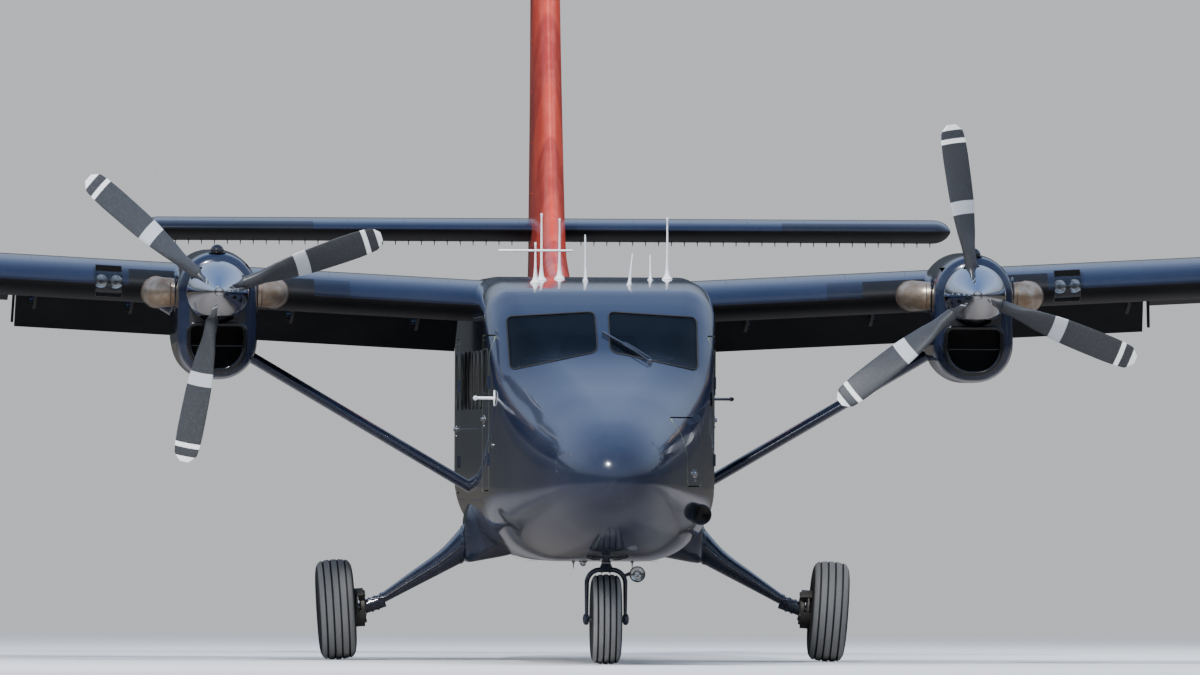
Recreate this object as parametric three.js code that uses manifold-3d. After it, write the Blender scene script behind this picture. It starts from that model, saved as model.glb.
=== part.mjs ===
// A high-wing commuter airliner with two turboprops and fixed gear, 19.81 m across and 15.77 m long.
// Millimetres, +X to the aircraft's left, nose towards -Y, +Z up, the floor at z = 0.
// Places along the fuselage are stations, counted backwards from the tip of the nose.

import * as THREE from 'three';
import { mergeVertices } from 'three/addons/utils/BufferGeometryUtils.js';
import Module from 'manifold-3d';

const wasm = await Module();
wasm.setup();

const fullLength = 15770;
const seatGap = 0.3;
const doorGap = 10;
const hingePinGap = 0.5;
const cornerSteps = 5;

const yAt = (station) => station - fullLength / 2;
const degrees = THREE.MathUtils.degToRad;

const paint = (color, roughness, metalness = 0) => new THREE.MeshStandardMaterial({ color, roughness, metalness });
const materials = {
  hull: paint(0x0b0f1c, 0.16, 0.3),
  fin: paint(0xb3201f, 0.25, 0.2),
  glass: paint(0x1d2a33, 0.05),
  dark: paint(0x1a1b1d, 0.6),
  lining: paint(0xb8b4aa, 0.8),
  seat: paint(0x2b2e38, 0.9),
  chrome: paint(0xd8dadd, 0.06, 1),
  blade: paint(0x2a2b2d, 0.45),
  exhaust: paint(0x8a6a48, 0.4, 0.9),
  gear: paint(0x9da1a6, 0.4, 0.5),
  rubber: paint(0x151515, 0.9),
};

const aircraft = new THREE.Group();

const solidOf = (geometry) => {
  const bare = geometry.clone();
  bare.deleteAttribute('normal');
  bare.deleteAttribute('uv');
  const merged = mergeVertices(bare, 1e-3);
  return new wasm.Manifold(new wasm.Mesh({
    numProp: 3,
    vertProperties: new Float32Array(merged.attributes.position.array),
    triVerts: new Uint32Array(merged.index.array),
  }));
};

const geometryOf = (solid) => {
  const mesh = solid.getMesh();
  const geometry = new THREE.BufferGeometry();
  geometry.setAttribute('position', new THREE.BufferAttribute(new Float32Array(mesh.vertProperties), 3));
  geometry.setIndex(new THREE.BufferAttribute(new Uint32Array(mesh.triVerts), 1));
  return geometry;
};

const cut = (body, ...tools) => {
  const start = solidOf(body);
  return geometryOf(tools.reduce((solid, tool) => solid.subtract(solidOf(tool)), start));
};
const join = (body, ...others) => {
  const start = solidOf(body);
  return geometryOf(others.reduce((solid, other) => solid.add(solidOf(other)), start));
};
const keep = (body, region) => geometryOf(solidOf(body).intersect(solidOf(region)));

const mirrored = (geometry) => {
  const twin = geometryOf(solidOf(geometry)).scale(-1, 1, 1);
  const index = twin.index.array;
  for (let i = 0; i < index.length; i += 3) [index[i], index[i + 1]] = [index[i + 1], index[i]];
  return twin;
};

const add = (name, geometry, material) => {
  const mesh = new THREE.Mesh(geometry, material);
  mesh.name = name;
  aircraft.add(mesh);
};

const addPair = (name, geometry, material) => {
  add(`${name}_left`, geometry, material);
  add(`${name}_right`, mirrored(geometry), material);
};

// A closed solid through rings of points. Each ring has the same count, and its ends are flat.
const loft = (rings, flat) => {
  const count = rings[0].length;
  const points = rings.flat();
  const index = [];
  for (let r = 0; r + 1 < rings.length; r += 1) {
    for (let i = 0; i < count; i += 1) {
      const a = r * count + i;
      const b = r * count + ((i + 1) % count);
      index.push(a, b, b + count, a, b + count, a + count);
    }
  }
  const across = ['x', 'y', 'z'].filter((axis) => axis !== flat);
  for (const [ring, base, first] of [[rings[0], 0, true], [rings.at(-1), points.length - count, false]]) {
    const outline = ring.map((point) => new THREE.Vector2(point[across[0]], point[across[1]]));
    const positive = !THREE.ShapeUtils.isClockWise(outline);
    for (const [a, b, c] of THREE.ShapeUtils.triangulateShape(outline, [])) {
      const forwards = positive === first;
      index.push(base + a, base + (forwards ? c : b), base + (forwards ? b : c));
    }
  }
  const geometry = new THREE.BufferGeometry();
  geometry.setAttribute('position', new THREE.Float32BufferAttribute(points.flatMap((p) => [p.x, p.y, p.z]), 3));
  geometry.setIndex(index);
  return turnedOutwards(geometry);
};

const volumeOf = (geometry) => {
  const place = geometry.attributes.position;
  const [a, b, c] = [new THREE.Vector3(), new THREE.Vector3(), new THREE.Vector3()];
  let sum = 0;
  for (let i = 0; i < geometry.index.count; i += 3) {
    a.fromBufferAttribute(place, geometry.index.getX(i));
    b.fromBufferAttribute(place, geometry.index.getX(i + 1));
    c.fromBufferAttribute(place, geometry.index.getX(i + 2));
    sum += a.dot(b.cross(c)) / 6;
  }
  return sum;
};

const turnedOutwards = (geometry) => {
  if (volumeOf(geometry) > 0) return geometry;
  const index = geometry.index.array;
  for (let i = 0; i < index.length; i += 3) [index[i], index[i + 1]] = [index[i + 1], index[i]];
  return geometry;
};

const block = ([x0, x1], [y0, y1], [z0, z1]) =>
  new THREE.BoxGeometry(x1 - x0, y1 - y0, z1 - z0).translate((x0 + x1) / 2, (y0 + y1) / 2, (z0 + z1) / 2);

const slab = ([from, to], [z0, z1] = [-1000, 9000], [x0, x1] = [-3000, 3000]) =>
  block([x0, x1], [yAt(from), yAt(to)], [z0, z1]);

const barrel = (radius, from, to, sides = 12) => {
  const along = new THREE.Vector3().subVectors(to, from);
  const turn = new THREE.Quaternion().setFromUnitVectors(new THREE.Vector3(0, 1, 0), along.clone().normalize());
  return new THREE.CylinderGeometry(radius, radius, along.length(), sides)
    .applyQuaternion(turn)
    .translate((from.x + to.x) / 2, (from.y + to.y) / 2, (from.z + to.z) / 2);
};

const point = (x, station, z) => new THREE.Vector3(x, yAt(station), z);

// A side view outline, given in stations and heights, drawn out from x0 to x1.
const sideView = (shape, x0, x1, curveSegments = 3) => {
  const basis = new THREE.Matrix4().makeBasis(
    new THREE.Vector3(0, 1, 0), new THREE.Vector3(0, 0, 1), new THREE.Vector3(1, 0, 0));
  return new THREE.ExtrudeGeometry(shape, { depth: x1 - x0, bevelEnabled: false, curveSegments })
    .applyMatrix4(basis).translate(x0, yAt(0), 0);
};

// A front view outline, given in x and height, drawn out between two stations.
const frontView = (shape, from, to, curveSegments = 6) =>
  new THREE.ExtrudeGeometry(shape, { depth: to - from, bevelEnabled: false, curveSegments })
    .rotateX(Math.PI / 2).translate(0, yAt(to), 0);

const roundedRectangle = ([a0, a1], [b0, b1], radius) => {
  const shape = new THREE.Shape();
  shape.absarc(a1 - radius, b0 + radius, radius, -Math.PI / 2, 0);
  shape.absarc(a1 - radius, b1 - radius, radius, 0, Math.PI / 2);
  shape.absarc(a0 + radius, b1 - radius, radius, Math.PI / 2, Math.PI);
  shape.absarc(a0 + radius, b0 + radius, radius, Math.PI, 1.5 * Math.PI);
  shape.closePath();
  return shape;
};

const outlineOf = (corners) => new THREE.Shape(corners.map(([a, b]) => new THREE.Vector2(a, b)));

// A value between two rows of a table, on a curve that never overshoots the rows.
const valueAt = (rows, key, at) => {
  const last = rows.length - 1;
  if (at <= rows[0].at) return rows[0][key];
  if (at >= rows[last].at) return rows[last][key];
  const slope = (i) => (rows[i + 1][key] - rows[i][key]) / (rows[i + 1].at - rows[i].at);
  const tangent = (i) => {
    if (i === 0) return slope(0);
    if (i === last) return slope(last - 1);
    const [before, after] = [slope(i - 1), slope(i)];
    return before * after <= 0 ? 0 : (2 * before * after) / (before + after);
  };
  const i = rows.findIndex((row) => row.at > at) - 1;
  const step = rows[i + 1].at - rows[i].at;
  const t = (at - rows[i].at) / step;
  return (2 * t ** 3 - 3 * t ** 2 + 1) * rows[i][key] + (t ** 3 - 2 * t ** 2 + t) * step * tangent(i)
    + (3 * t ** 2 - 2 * t ** 3) * rows[i + 1][key] + (t ** 3 - t ** 2) * step * tangent(i + 1);
};

const table = (columns, ...rows) =>
  rows.map((row) => Object.fromEntries(columns.map((column, i) => [column, row[i]])));

// A boxy section with round corners: crown is the radius of its upper corners, bilge that of its lower ones.
const boxyRing = ({ half, top, bottom, crown, bilge }, station, middleX = 0) => {
  const corners = [
    [half - crown, top - crown, crown, 90],
    [half - bilge, bottom + bilge, bilge, 0],
    [bilge - half, bottom + bilge, bilge, -90],
    [crown - half, top - crown, crown, -180],
  ];
  return corners.flatMap(([x, z, radius, start]) =>
    Array.from({ length: cornerSteps + 1 }, (_, i) => {
      const angle = degrees(start - (90 * i) / cornerSteps);
      return point(middleX + x + radius * Math.cos(angle), station, z + radius * Math.sin(angle));
    }));
};

const fuselageRows = table(['at', 'half', 'top', 'bottom', 'crown', 'bilge'],
  [0, 60, 1430, 1300, 55, 55],
  [60, 175, 1545, 1195, 160, 160],
  [250, 315, 1680, 1070, 285, 285],
  [600, 450, 1825, 945, 400, 400],
  [1100, 585, 1975, 845, 470, 480],
  [1600, 695, 2115, 795, 480, 520],
  [2150, 790, 2300, 772, 420, 540],
  [2500, 832, 2500, 765, 340, 550],
  [2850, 855, 2680, 762, 270, 550],
  [3200, 868, 2800, 760, 230, 550],
  [3900, 875, 2858, 760, 200, 550],
  [5000, 875, 2885, 760, 200, 550],
  [5400, 875, 2900, 760, 200, 550],
  [7400, 875, 2900, 772, 200, 550],
  [8840, 875, 2885, 810, 210, 550],
  [10500, 780, 2875, 1100, 240, 500],
  [12000, 585, 2840, 1520, 250, 400],
  [13500, 385, 2790, 1940, 240, 290],
  [14800, 205, 2730, 2290, 160, 160],
  [15300, 90, 2650, 2420, 80, 80]);
const fuselageStations = [0, 60, 250, 400, 600, 1100, 1600, 1900, 2150, 2330, 2500, 2680, 2850, 3200, 3900,
  5400, 7400, 8840, 9700, 10500, 12000, 13500, 14800, 15300];

const cabinFloor = 1200;
const wall = 70;
const roofDepth = 170;

const skinSection = (station, grow = 0) => {
  const read = (key) => valueAt(fuselageRows, key, station);
  return {
    half: read('half') + grow, top: read('top') + grow, bottom: read('bottom') - grow,
    crown: read('crown') + grow, bilge: read('bilge') + grow,
  };
};

const insideSection = (station, shrink = 0) => {
  const skin = skinSection(station);
  const overhead = THREE.MathUtils.clamp(wall + ((station - 3200) * (roofDepth - wall)) / 700, wall, roofDepth);
  return {
    half: skin.half - wall - shrink, top: skin.top - overhead - shrink,
    bottom: Math.max(cabinFloor, skin.bottom + wall + 20) + shrink,
    crown: skin.crown - wall / 2, bilge: 60,
  };
};

const thinInside = (depth) => (station) => {
  const skin = skinSection(station);
  return {
    half: skin.half - depth, top: skin.top - depth, bottom: skin.bottom + depth,
    crown: skin.crown - depth / 2, bilge: skin.bilge - depth / 2,
  };
};

const hullBetween = (from, to, section, extra = 0) => {
  const between = fuselageStations.filter((station) => station > from && station < to);
  return loft([from, ...between, to].map((station) => boxyRing(section(station, extra), station)), 'y');
};

const hullOutside = hullBetween(0, 15300, skinSection);
const hullClearance = hullBetween(0, 15300, skinSection, seatGap);

const glassThickness = 14;
const noseJoint = 600;
const noseBay = { from: 1010, to: 1890 };
const cockpit = { from: 1950, to: 3200 };
const cabin = { from: 3200, to: 8840 };
const rearBay = { from: 8875, to: 10470 };
const tailHollow = { from: 10500, to: 14700 };
const thinWall = 24;
const crewDoorWall = 40;
const roofLine = 2600;

const bayHollow = hullBetween(noseBay.from, noseBay.to, insideSection);
const roomHollow = hullBetween(cockpit.from, cabin.to + 20, insideSection);
const rearHollow = hullBetween(rearBay.from, rearBay.to, thinInside(thinWall));
const tailHollowShape = hullBetween(tailHollow.from - 20, tailHollow.to, thinInside(thinWall));
// The leaves of the nose and crew doors are thin, so that their free edges swing clear of the frame.
const noseLeafHollow = hullBetween(noseBay.from, noseBay.to, thinInside(thinWall));
const crewLeafHollow = hullBetween(cockpit.from, cockpit.to, thinInside(crewDoorWall));

const between = (from, to) => [from + seatGap / 2, to - seatGap / 2];

// Doors in side view: side is 1 on the left, -1 on the right. The hinge is the edge that it turns on.
const doors = {
  nose_bay_door: { side: 1, span: [1080, 1640], rise: [1330, 1830], corner: 60, hinge: 'top' },
  crew_door_left: { side: 1, span: [2630, 3185], rise: [1290, 2440], corner: 60, hinge: 'front' },
  crew_door_right: { side: -1, span: [2630, 3185], rise: [1290, 2440], corner: 60, hinge: 'front' },
  cargo_door_front: { side: 1, span: [7350, 8055], rise: [1250, 2520], corner: 30, hinge: 'front' },
  cargo_door_rear: { side: 1, span: [8065, 8770], rise: [1250, 2520], corner: 30, hinge: 'rear' },
  passenger_door: { side: -1, span: [8000, 8770], rise: [1270, 2430], corner: 90, hinge: 'front' },
  rear_bay_door: { side: 1, span: [9150, 9900], rise: [1500, 2350], corner: 60, hinge: 'front' },
};

const doorwayOf = ({ side, span, rise, corner }, gap = 0) => {
  const shape = roundedRectangle([span[0] - gap, span[1] + gap], [rise[0] - gap, rise[1] + gap], corner);
  return side > 0 ? sideView(shape, 120, 1500) : sideView(shape, -1500, -120);
};

const doorway = (name) => doorwayOf(doors[name], doorGap);

const hingeBarrel = { radius: 14, length: 45, clearance: 3, sides: 8, heights: [0.2, 0.7] };
const topHinge = { x: 664, station: 1595, radius: 32 };

// Where a door's hinge barrels start, and the way they run from there.
const hingeLine = (name) => {
  const { side, span, rise, hinge } = doors[name];
  if (hinge === 'top') {
    const { x, station, radius } = topHinge;
    return { starts: [point(side * x, station, rise[1])], along: new THREE.Vector3(0, 1, 0), radius };
  }
  const station = hinge === 'front' ? span[0] : span[1];
  const starts = hingeBarrel.heights.map((part) =>
    point(side * skinSection(station).half, station, rise[0] + part * (rise[1] - rise[0])));
  return { starts, along: new THREE.Vector3(0, 0, 1), radius: hingeBarrel.radius };
};

// The door's own barrel and the frame's lie end to end, each with a notch round it in the other piece.
const hingeSet = (name, way) => {
  const { length, clearance, sides } = hingeBarrel;
  const { starts, along, radius } = hingeLine(name);
  const reach = (start, by) => start.clone().addScaledVector(along, by);
  return {
    barrels: starts.map((start) =>
      barrel(radius, reach(start, way * hingePinGap / 2), reach(start, way * length), sides)),
    notches: starts.map((start) =>
      barrel(radius + clearance, reach(start, -way * hingePinGap / 2),
        reach(start, -way * (length + clearance)), sides)),
  };
};
const hung = (body, way, ...names) => {
  const sets = names.map((name) => hingeSet(name, way));
  return join(cut(body, ...sets.flatMap((set) => set.notches)), ...sets.flatMap((set) => set.barrels));
};

const crewWindow = { span: [2700, 3110], rise: [2010, 2340], corner: 60 };
const crewWindowHole = (side) => doorwayOf({ side, ...crewWindow });

const doorLeaf = (name, hollow) => hung(cut(keep(hullOutside, doorwayOf(doors[name])), hollow), 1, name);

// Each windscreen pane in front view, on the left side.
const paneOutline = [[45, 2325], [700, 2185], [712, 2585], [50, 2625]];
const grownPane = (grow) => outlineOf([
  [45 - grow, 2325 - grow], [700 + grow, 2185 - grow], [712 + grow, 2585 + grow], [50 - grow, 2625 + grow]]);

const buildNose = () => {
  add('nose_cone', keep(hullOutside, slab([-10, noseJoint - seatGap])), materials.hull);
  const bay = cut(keep(hullOutside, slab([noseJoint, cockpit.from - seatGap])), bayHollow, doorway('nose_bay_door'));
  const scoop = barrel(78, point(700, 1640, 1116), point(660, 1940, 1122), 16);
  const scoopBore = barrel(64, point(704, 1610, 1116), point(688, 1730, 1118), 16);
  add('nose_bay', cut(join(hung(bay, -1, 'nose_bay_door'), scoop), scoopBore), materials.hull);
  add('nose_bay_door', doorLeaf('nose_bay_door', noseLeafHollow), materials.hull);
};

// A short mast on the skin with a tube along the airflow.
const pitot = { station: 2300, height: 1975, root: 780, reach: 955, front: 2150, radius: 15 };
const pitotOn = (side) => [
  barrel(pitot.radius, point(side * pitot.root, pitot.station, pitot.height),
    point(side * pitot.reach, pitot.station, pitot.height), 8),
  barrel(pitot.radius + 2, point(side * pitot.reach, pitot.front, pitot.height),
    point(side * pitot.reach, pitot.station + 30, pitot.height), 8),
];

const buildCockpit = () => {
  const shell = keep(hullOutside, slab(between(cockpit.from, cockpit.to)));
  add('cockpit_floor', cut(keep(shell, slab([0, 4000], [0, cabinFloor - seatGap])), roomHollow), materials.hull);
  const paneHole = frontView(grownPane(seatGap), 2000, 3060);
  const frame = cut(keep(shell, slab([0, 4000], [cabinFloor, 4000])), roomHollow,
    paneHole, mirrored(paneHole), doorway('crew_door_left'), doorway('crew_door_right'));
  const pitots = [1, -1].flatMap((side) => pitotOn(side));
  add('cockpit_frame', join(hung(frame, -1, 'crew_door_left', 'crew_door_right'), ...pitots), materials.hull);
  const innerSkin = hullBetween(cockpit.from - 10, cockpit.to + 10, skinSection, -glassThickness);
  const pane = cut(keep(hullOutside, frontView(outlineOf(paneOutline), 2020, 3040)), innerSkin);
  addPair('windshield', pane, materials.glass);
  for (const name of ['crew_door_left', 'crew_door_right']) {
    add(name, cut(doorLeaf(name, crewLeafHollow), crewWindowHole(doors[name].side)), materials.hull);
  }
};

const buildCockpitFittings = () => {
  const room = hullBetween(cockpit.from, cabin.to + 20, insideSection, seatGap);
  const panel = join(slab([2330, 2390], [1780, 2130], [-690, 690]), slab([2330, 2560], [2090, 2130], [-690, 690]),
    slab([2330, 2520], [cabinFloor + seatGap, 1800], [-150, 150]));
  add('instrument_panel', keep(panel, room), materials.dark);
  const arch = roundedRectangle([-290, 290], [0, 2450], 60);
  const bulkhead = cut(keep(room, slab([cockpit.to, cockpit.to + 40])), frontView(arch, 3100, 3300));
  add('cockpit_bulkhead', bulkhead, materials.lining);
  const seatMiddle = 400;
  const seat = join(
    slab([2740, 3120], [1560, 1660], [seatMiddle - 230, seatMiddle + 230]),
    slab([2780, 3060], [cabinFloor + seatGap, 1580], [seatMiddle - 150, seatMiddle + 150]),
    slab([3050, 3150], [1600, 2290], [seatMiddle - 225, seatMiddle + 225]));
  addPair('crew_seat', seat, materials.seat);
  const stem = barrel(30, point(0, 2640, cabinFloor + 2), point(0, 2600, 1780), 10);
  const bar = barrel(22, point(-400, 2600, 1770), point(400, 2600, 1770), 10);
  const yokes = [-400, 400].map((x) => sideView(outlineOf([[2585, 1750], [2625, 1750], [2640, 1930], [2600, 1930]]),
    x - 120, x + 120));
  add('control_column', join(stem, bar, ...yokes), materials.dark);
};

const floorRecess = { from: 3260, to: 8800, half: 760, depth: 10 };

// Whips stand straight up from the roof, blades lean back, and one whip carries a cross bar.
const aerialFoot = 2780;
const whips = table(['x', 'station', 'top'],
  [-398, 4100, 3370],
  [-232, 4900, 3340],
  [580, 4900, 3350],
  [-462, 3600, 3090]);
const blades = table(['x', 'station', 'top'],
  [-76, 3900, 3210],
  [238, 3500, 3070],
  [432, 4400, 3065]);
const crossBar = { from: -740, to: -180, station: 3600, height: 3086 };
const aerialHalf = 9;

const antennas = () => [
  ...whips.map(({ x, station, top }) => barrel(aerialHalf, point(x, station, aerialFoot), point(x, station, top), 8)),
  ...blades.map(({ x, station, top }) => sideView(outlineOf([[station - 60, aerialFoot], [station + 60, aerialFoot],
    [station + 80, top], [station + 40, top]]), x - aerialHalf, x + aerialHalf)),
  barrel(aerialHalf, point(crossBar.from, crossBar.station, crossBar.height),
    point(crossBar.to, crossBar.station, crossBar.height), 8),
];

const buildCabin = () => {
  const shell = keep(hullOutside, slab(between(cabin.from, cabin.to)));
  const { from, to, half, depth } = floorRecess;
  const recess = slab([from, to], [cabinFloor - depth, cabinFloor + 50], [-half, half]);
  add('cabin_floor', cut(keep(shell, slab([0, 9000], [0, cabinFloor - seatGap])), recess), materials.hull);
  const roof = cut(keep(shell, slab([0, 9000], [roofLine + seatGap, 4000])), roomHollow);
  add('cabin_roof', join(roof, ...antennas()), materials.hull);
  const sides = cut(keep(shell, slab([0, 9000], [cabinFloor, roofLine])), roomHollow);
  const leftSide = keep(sides, slab([0, 9000], [0, 4000], [300, 2000]));
  const rightSide = keep(sides, slab([0, 9000], [0, 4000], [-2000, -300]));
  const cargoDoors = ['cargo_door_front', 'cargo_door_rear'];
  add('cabin_side_left', hung(cut(leftSide, ...cargoDoors.map(doorway)), -1, ...cargoDoors), materials.hull);
  add('cabin_side_right', hung(cut(rightSide, doorway('passenger_door')), -1, 'passenger_door'), materials.hull);
  for (const name of ['cargo_door_front', 'cargo_door_rear', 'passenger_door']) {
    add(name, doorLeaf(name, roomHollow), materials.hull);
  }
};

const buildTailCone = () => {
  const shell = keep(hullOutside, slab(between(cabin.to, tailHollow.from)));
  const bay = cut(shell, rearHollow, doorway('rear_bay_door'));
  add('rear_bay', hung(bay, -1, 'rear_bay_door'), materials.hull);
  add('rear_bay_door', doorLeaf('rear_bay_door', rearHollow), materials.hull);
  add('tail_cone', cut(keep(hullOutside, slab([tailHollow.from, 15400])), tailHollowShape), materials.hull);
};

// The wing is one section all along, with its chord line turned up by its setting angle.
const wing = {
  chord: 1980, leadStation: 5170, thickness: 0.16, camber: 0.03, setting: degrees(2.5),
  rise: Math.tan(degrees(3)), quarterHeight: 2630, rootX: 600, tipX: 9905,
};
const sectionSpacing = [0, 0.0125, 0.04, 0.1, 0.2, 0.34, 0.5, 0.66, 0.82, 1];

const thicknessAt = (t) => 5 * wing.thickness
  * (0.2969 * Math.sqrt(t) - 0.126 * t - 0.3516 * t ** 2 + 0.2843 * t ** 3 - 0.1036 * t ** 4);

const wingPoint = (x, t, face, grow = 0, chordScale = 1, thickScale = 1) => {
  const quarter = 0.25;
  const across = (t - quarter) * wing.chord * chordScale - (t < 0.001 ? grow : 0);
  const thick = (wing.camber * 4 * t * (1 - t) + face * Math.max(thicknessAt(t), 0.002) * thickScale) * wing.chord
    + face * grow;
  return new THREE.Vector3(
    x,
    yAt(wing.leadStation) + quarter * wing.chord + across * Math.cos(wing.setting) + thick * Math.sin(wing.setting),
    wing.quarterHeight + x * wing.rise - across * Math.sin(wing.setting) + thick * Math.cos(wing.setting));
};

const wingRing = (x, grow = 0, chordScale = 1, thickScale = 1) => [
  ...sectionSpacing.map((t) => wingPoint(x, t, 1, grow, chordScale, thickScale)),
  ...sectionSpacing.slice(1).reverse().map((t) => wingPoint(x, t, -1, grow, chordScale, thickScale)),
];

const wingShape = (grow = 0) => loft([
  wingRing(wing.rootX, grow), wingRing(wing.tipX - 180, grow), wingRing(wing.tipX - 60, grow, 0.985, 0.8),
  wingRing(wing.tipX, grow, 0.95, 0.35)], 'x');

const flap = { from: 930, to: 4280, cove: 0.705, nose: 0.735, shoulder: 0.83, axis: 0.79, drop: 70, rest: -37.5 };
const aileron = { from: 4340, to: 9500, cove: 0.765, nose: 0.79, shoulder: 0.85, axis: 0.82, drop: -12, rest: -12 };
const sideGap = 25;

const hingePlace = (surface, x) => {
  const below = wingPoint(x, surface.axis, -1);
  return below.add(new THREE.Vector3(0, 0, -surface.drop));
};

// A frame whose x lies along the hinge line of a wing surface, at the given place.
const hingeFrame = (surface, x) => {
  const turn = new THREE.Matrix4().makeRotationY(-Math.atan(wing.rise));
  return turn.setPosition(hingePlace(surface, x));
};

const surfaceRing = (surface, x) => [
  wingPoint(x, surface.nose, -0.2), wingPoint(x, surface.nose + 0.01, 0.35),
  wingPoint(x, (surface.nose + surface.shoulder) / 2, 0.75), wingPoint(x, surface.shoulder, 0.97),
  wingPoint(x, 0.92, 1), wingPoint(x, 1, 1), wingPoint(x, 1, -1), wingPoint(x, 0.9, -1),
  wingPoint(x, surface.nose + 0.02, -0.97), wingPoint(x, surface.nose + 0.005, -0.7)];

const coveOf = (surface) => {
  const front = yAt(wing.leadStation) + surface.cove * wing.chord;
  return block([surface.from - sideGap, surface.to + sideGap], [front, front + 2000], [1500, 4500]);
};

const plate = (outline, half) => {
  const basis = new THREE.Matrix4().makeBasis(
    new THREE.Vector3(0, 1, 0), new THREE.Vector3(0, 0, 1), new THREE.Vector3(1, 0, 0));
  return new THREE.ExtrudeGeometry(outline, { depth: 2 * half, bevelEnabled: false, curveSegments: 4 })
    .applyMatrix4(basis).translate(-half, 0, 0);
};

const bracketHalf = 12;
const flapBrackets = [1250, 2200, 3420, 4150];
const aileronBrackets = [5100, 6900, 8700];

// The fixed bracket under the wing ends round about the hinge line; the flap's own lug lies beside it.
const flapBracket = (x) => {
  const outline = new THREE.Shape();
  outline.moveTo(-620, 95);
  outline.lineTo(-380, 10);
  outline.absarc(0, -15, 38, -Math.PI * 0.55, Math.PI * 0.3);
  outline.lineTo(-140, 62);
  outline.lineTo(-230, 150);
  outline.lineTo(-600, 170);
  outline.closePath();
  return plate(outline, bracketHalf).applyMatrix4(hingeFrame(flap, x));
};
// An arm hangs from the wing in the gap between the flap and the aileron.
const gapArm = { x: 4310, half: 10 };
const gapArmShape = () => plate(outlineOf([[-240, 160], [-140, 40], [-30, -160], [15, -165], [20, -130], [-50, 60],
  [-120, 170]]), gapArm.half).applyMatrix4(hingeFrame(flap, gapArm.x));
const flapLug = (x) => {
  const outline = new THREE.Shape();
  outline.absarc(0, 0, 30, Math.PI * 0.9, Math.PI * 1.9);
  outline.lineTo(150, 110);
  outline.lineTo(-30, 120);
  outline.closePath();
  return plate(outline, bracketHalf).translate(2 * bracketHalf + hingePinGap, 0, 0)
    .applyMatrix4(hingeFrame(flap, x));
};

// Inside a moving surface a fixed knuckle reaches to the hinge line through a notch in its nose.
const knuckle = { radius: 20, half: 10, reach: 140, notch: 28 };
const knuckleShape = () => {
  const outline = new THREE.Shape();
  outline.absarc(0, 0, knuckle.radius, -Math.PI / 2, Math.PI / 2);
  outline.lineTo(-knuckle.reach, knuckle.radius);
  outline.lineTo(-knuckle.reach, -knuckle.radius);
  outline.closePath();
  return plate(outline, knuckle.half);
};
const notchShape = () => {
  const half = knuckle.half + hingePinGap;
  return block([-half, half], [-400, knuckle.notch], [-200, 200]);
};

const droop = (geometry, surface) => {
  const frame = hingeFrame(surface, 0);
  const back = frame.clone().invert();
  return geometry.clone().applyMatrix4(back)
    .rotateX(degrees(surface.rest)).applyMatrix4(frame);
};

// The glass over each landing lamp is a slice of the wing's leading edge.
const lampSlice = { from: 3520, to: 3720, rear: 5240 };
const lampRegion = (grow) => slab([5000, lampSlice.rear + grow], [2000, 4000],
  [lampSlice.from - grow, lampSlice.to + grow]);

const buildWings = () => {
  const aileronNeat = cut(
    loft([surfaceRing(aileron, aileron.from), surfaceRing(aileron, aileron.to)], 'x'),
    ...aileronBrackets.map((x) => notchShape().applyMatrix4(hingeFrame(aileron, x))));
  const flapNeat = join(
    loft([surfaceRing(flap, flap.from), surfaceRing(flap, flap.to)], 'x'), ...flapBrackets.map(flapLug));
  const body = cut(wingShape(), hullClearance, coveOf(flap), coveOf(aileron), lampRegion(seatGap));
  addPair('landing_lamp', keep(wingShape(), lampRegion(0)), materials.glass);
  const panel = join(body, gapArmShape(), ...flapBrackets.map(flapBracket),
    ...aileronBrackets.map((x) => knuckleShape().applyMatrix4(hingeFrame(aileron, x))));
  addPair('wing', panel, materials.hull);
  addPair('flap', droop(flapNeat, flap), materials.hull);
  addPair('aileron', droop(aileronNeat, aileron), materials.hull);
};

const strut = { foot: point(800, 5900, 1273), top: point(3300, 5920, 2740), chord: 250, thickness: 85 };
const strutShape = (grow = 0) => {
  const along = new THREE.Vector3().subVectors(strut.top, strut.foot).normalize();
  const upwards = new THREE.Vector3().crossVectors(along, new THREE.Vector3(0, 1, 0)).normalize();
  const ring = (place) => Array.from({ length: 12 }, (_, i) => {
    const angle = (i / 12) * 2 * Math.PI;
    return place.clone()
      .addScaledVector(new THREE.Vector3(0, 1, 0), (strut.chord / 2 + grow) * Math.cos(angle))
      .addScaledVector(upwards, (strut.thickness / 2 + grow) * Math.sin(angle));
  });
  return loft([ring(strut.foot), ring(strut.top)], 'x');
};

const buildStruts = () => {
  addPair('wing_strut', cut(strutShape(), hullClearance, wingShape(seatGap)), materials.hull);
};

const finRows = table(['at', 'lead', 'trail', 'half'],
  [2550, 10700, 14715, 135],
  [2880, 11000, 14715, 135],
  [3120, 12050, 14715, 130],
  [3500, 12560, 14715, 128],
  [4400, 13130, 14715, 118],
  [5750, 13960, 14715, 105],
  [5880, 14060, 14715, 90],
  [5940, 14180, 14715, 50]);
const finHeights = finRows.map((row) => row.at);
const rudderRows = table(['at', 'lead', 'trail', 'half'],
  [2830, 14740, 15770, 85],
  [5750, 14740, 15440, 80],
  [5880, 14745, 15410, 70],
  [5940, 14770, 15370, 35]);
const rudderHinge = { station: 14830, low: 2830, high: 5800 };
const rudderKnuckles = [3050, 4300, 5500];

const fixedSections = [[0, 0], [0.03, 0.36], [0.12, 0.68], [0.3, 0.95], [0.6, 1], [1, 0.8]];
const movingSections = [[0, 0.45], [0.06, 0.9], [0.15, 1], [0.55, 0.6], [1, 0.08]];

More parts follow.
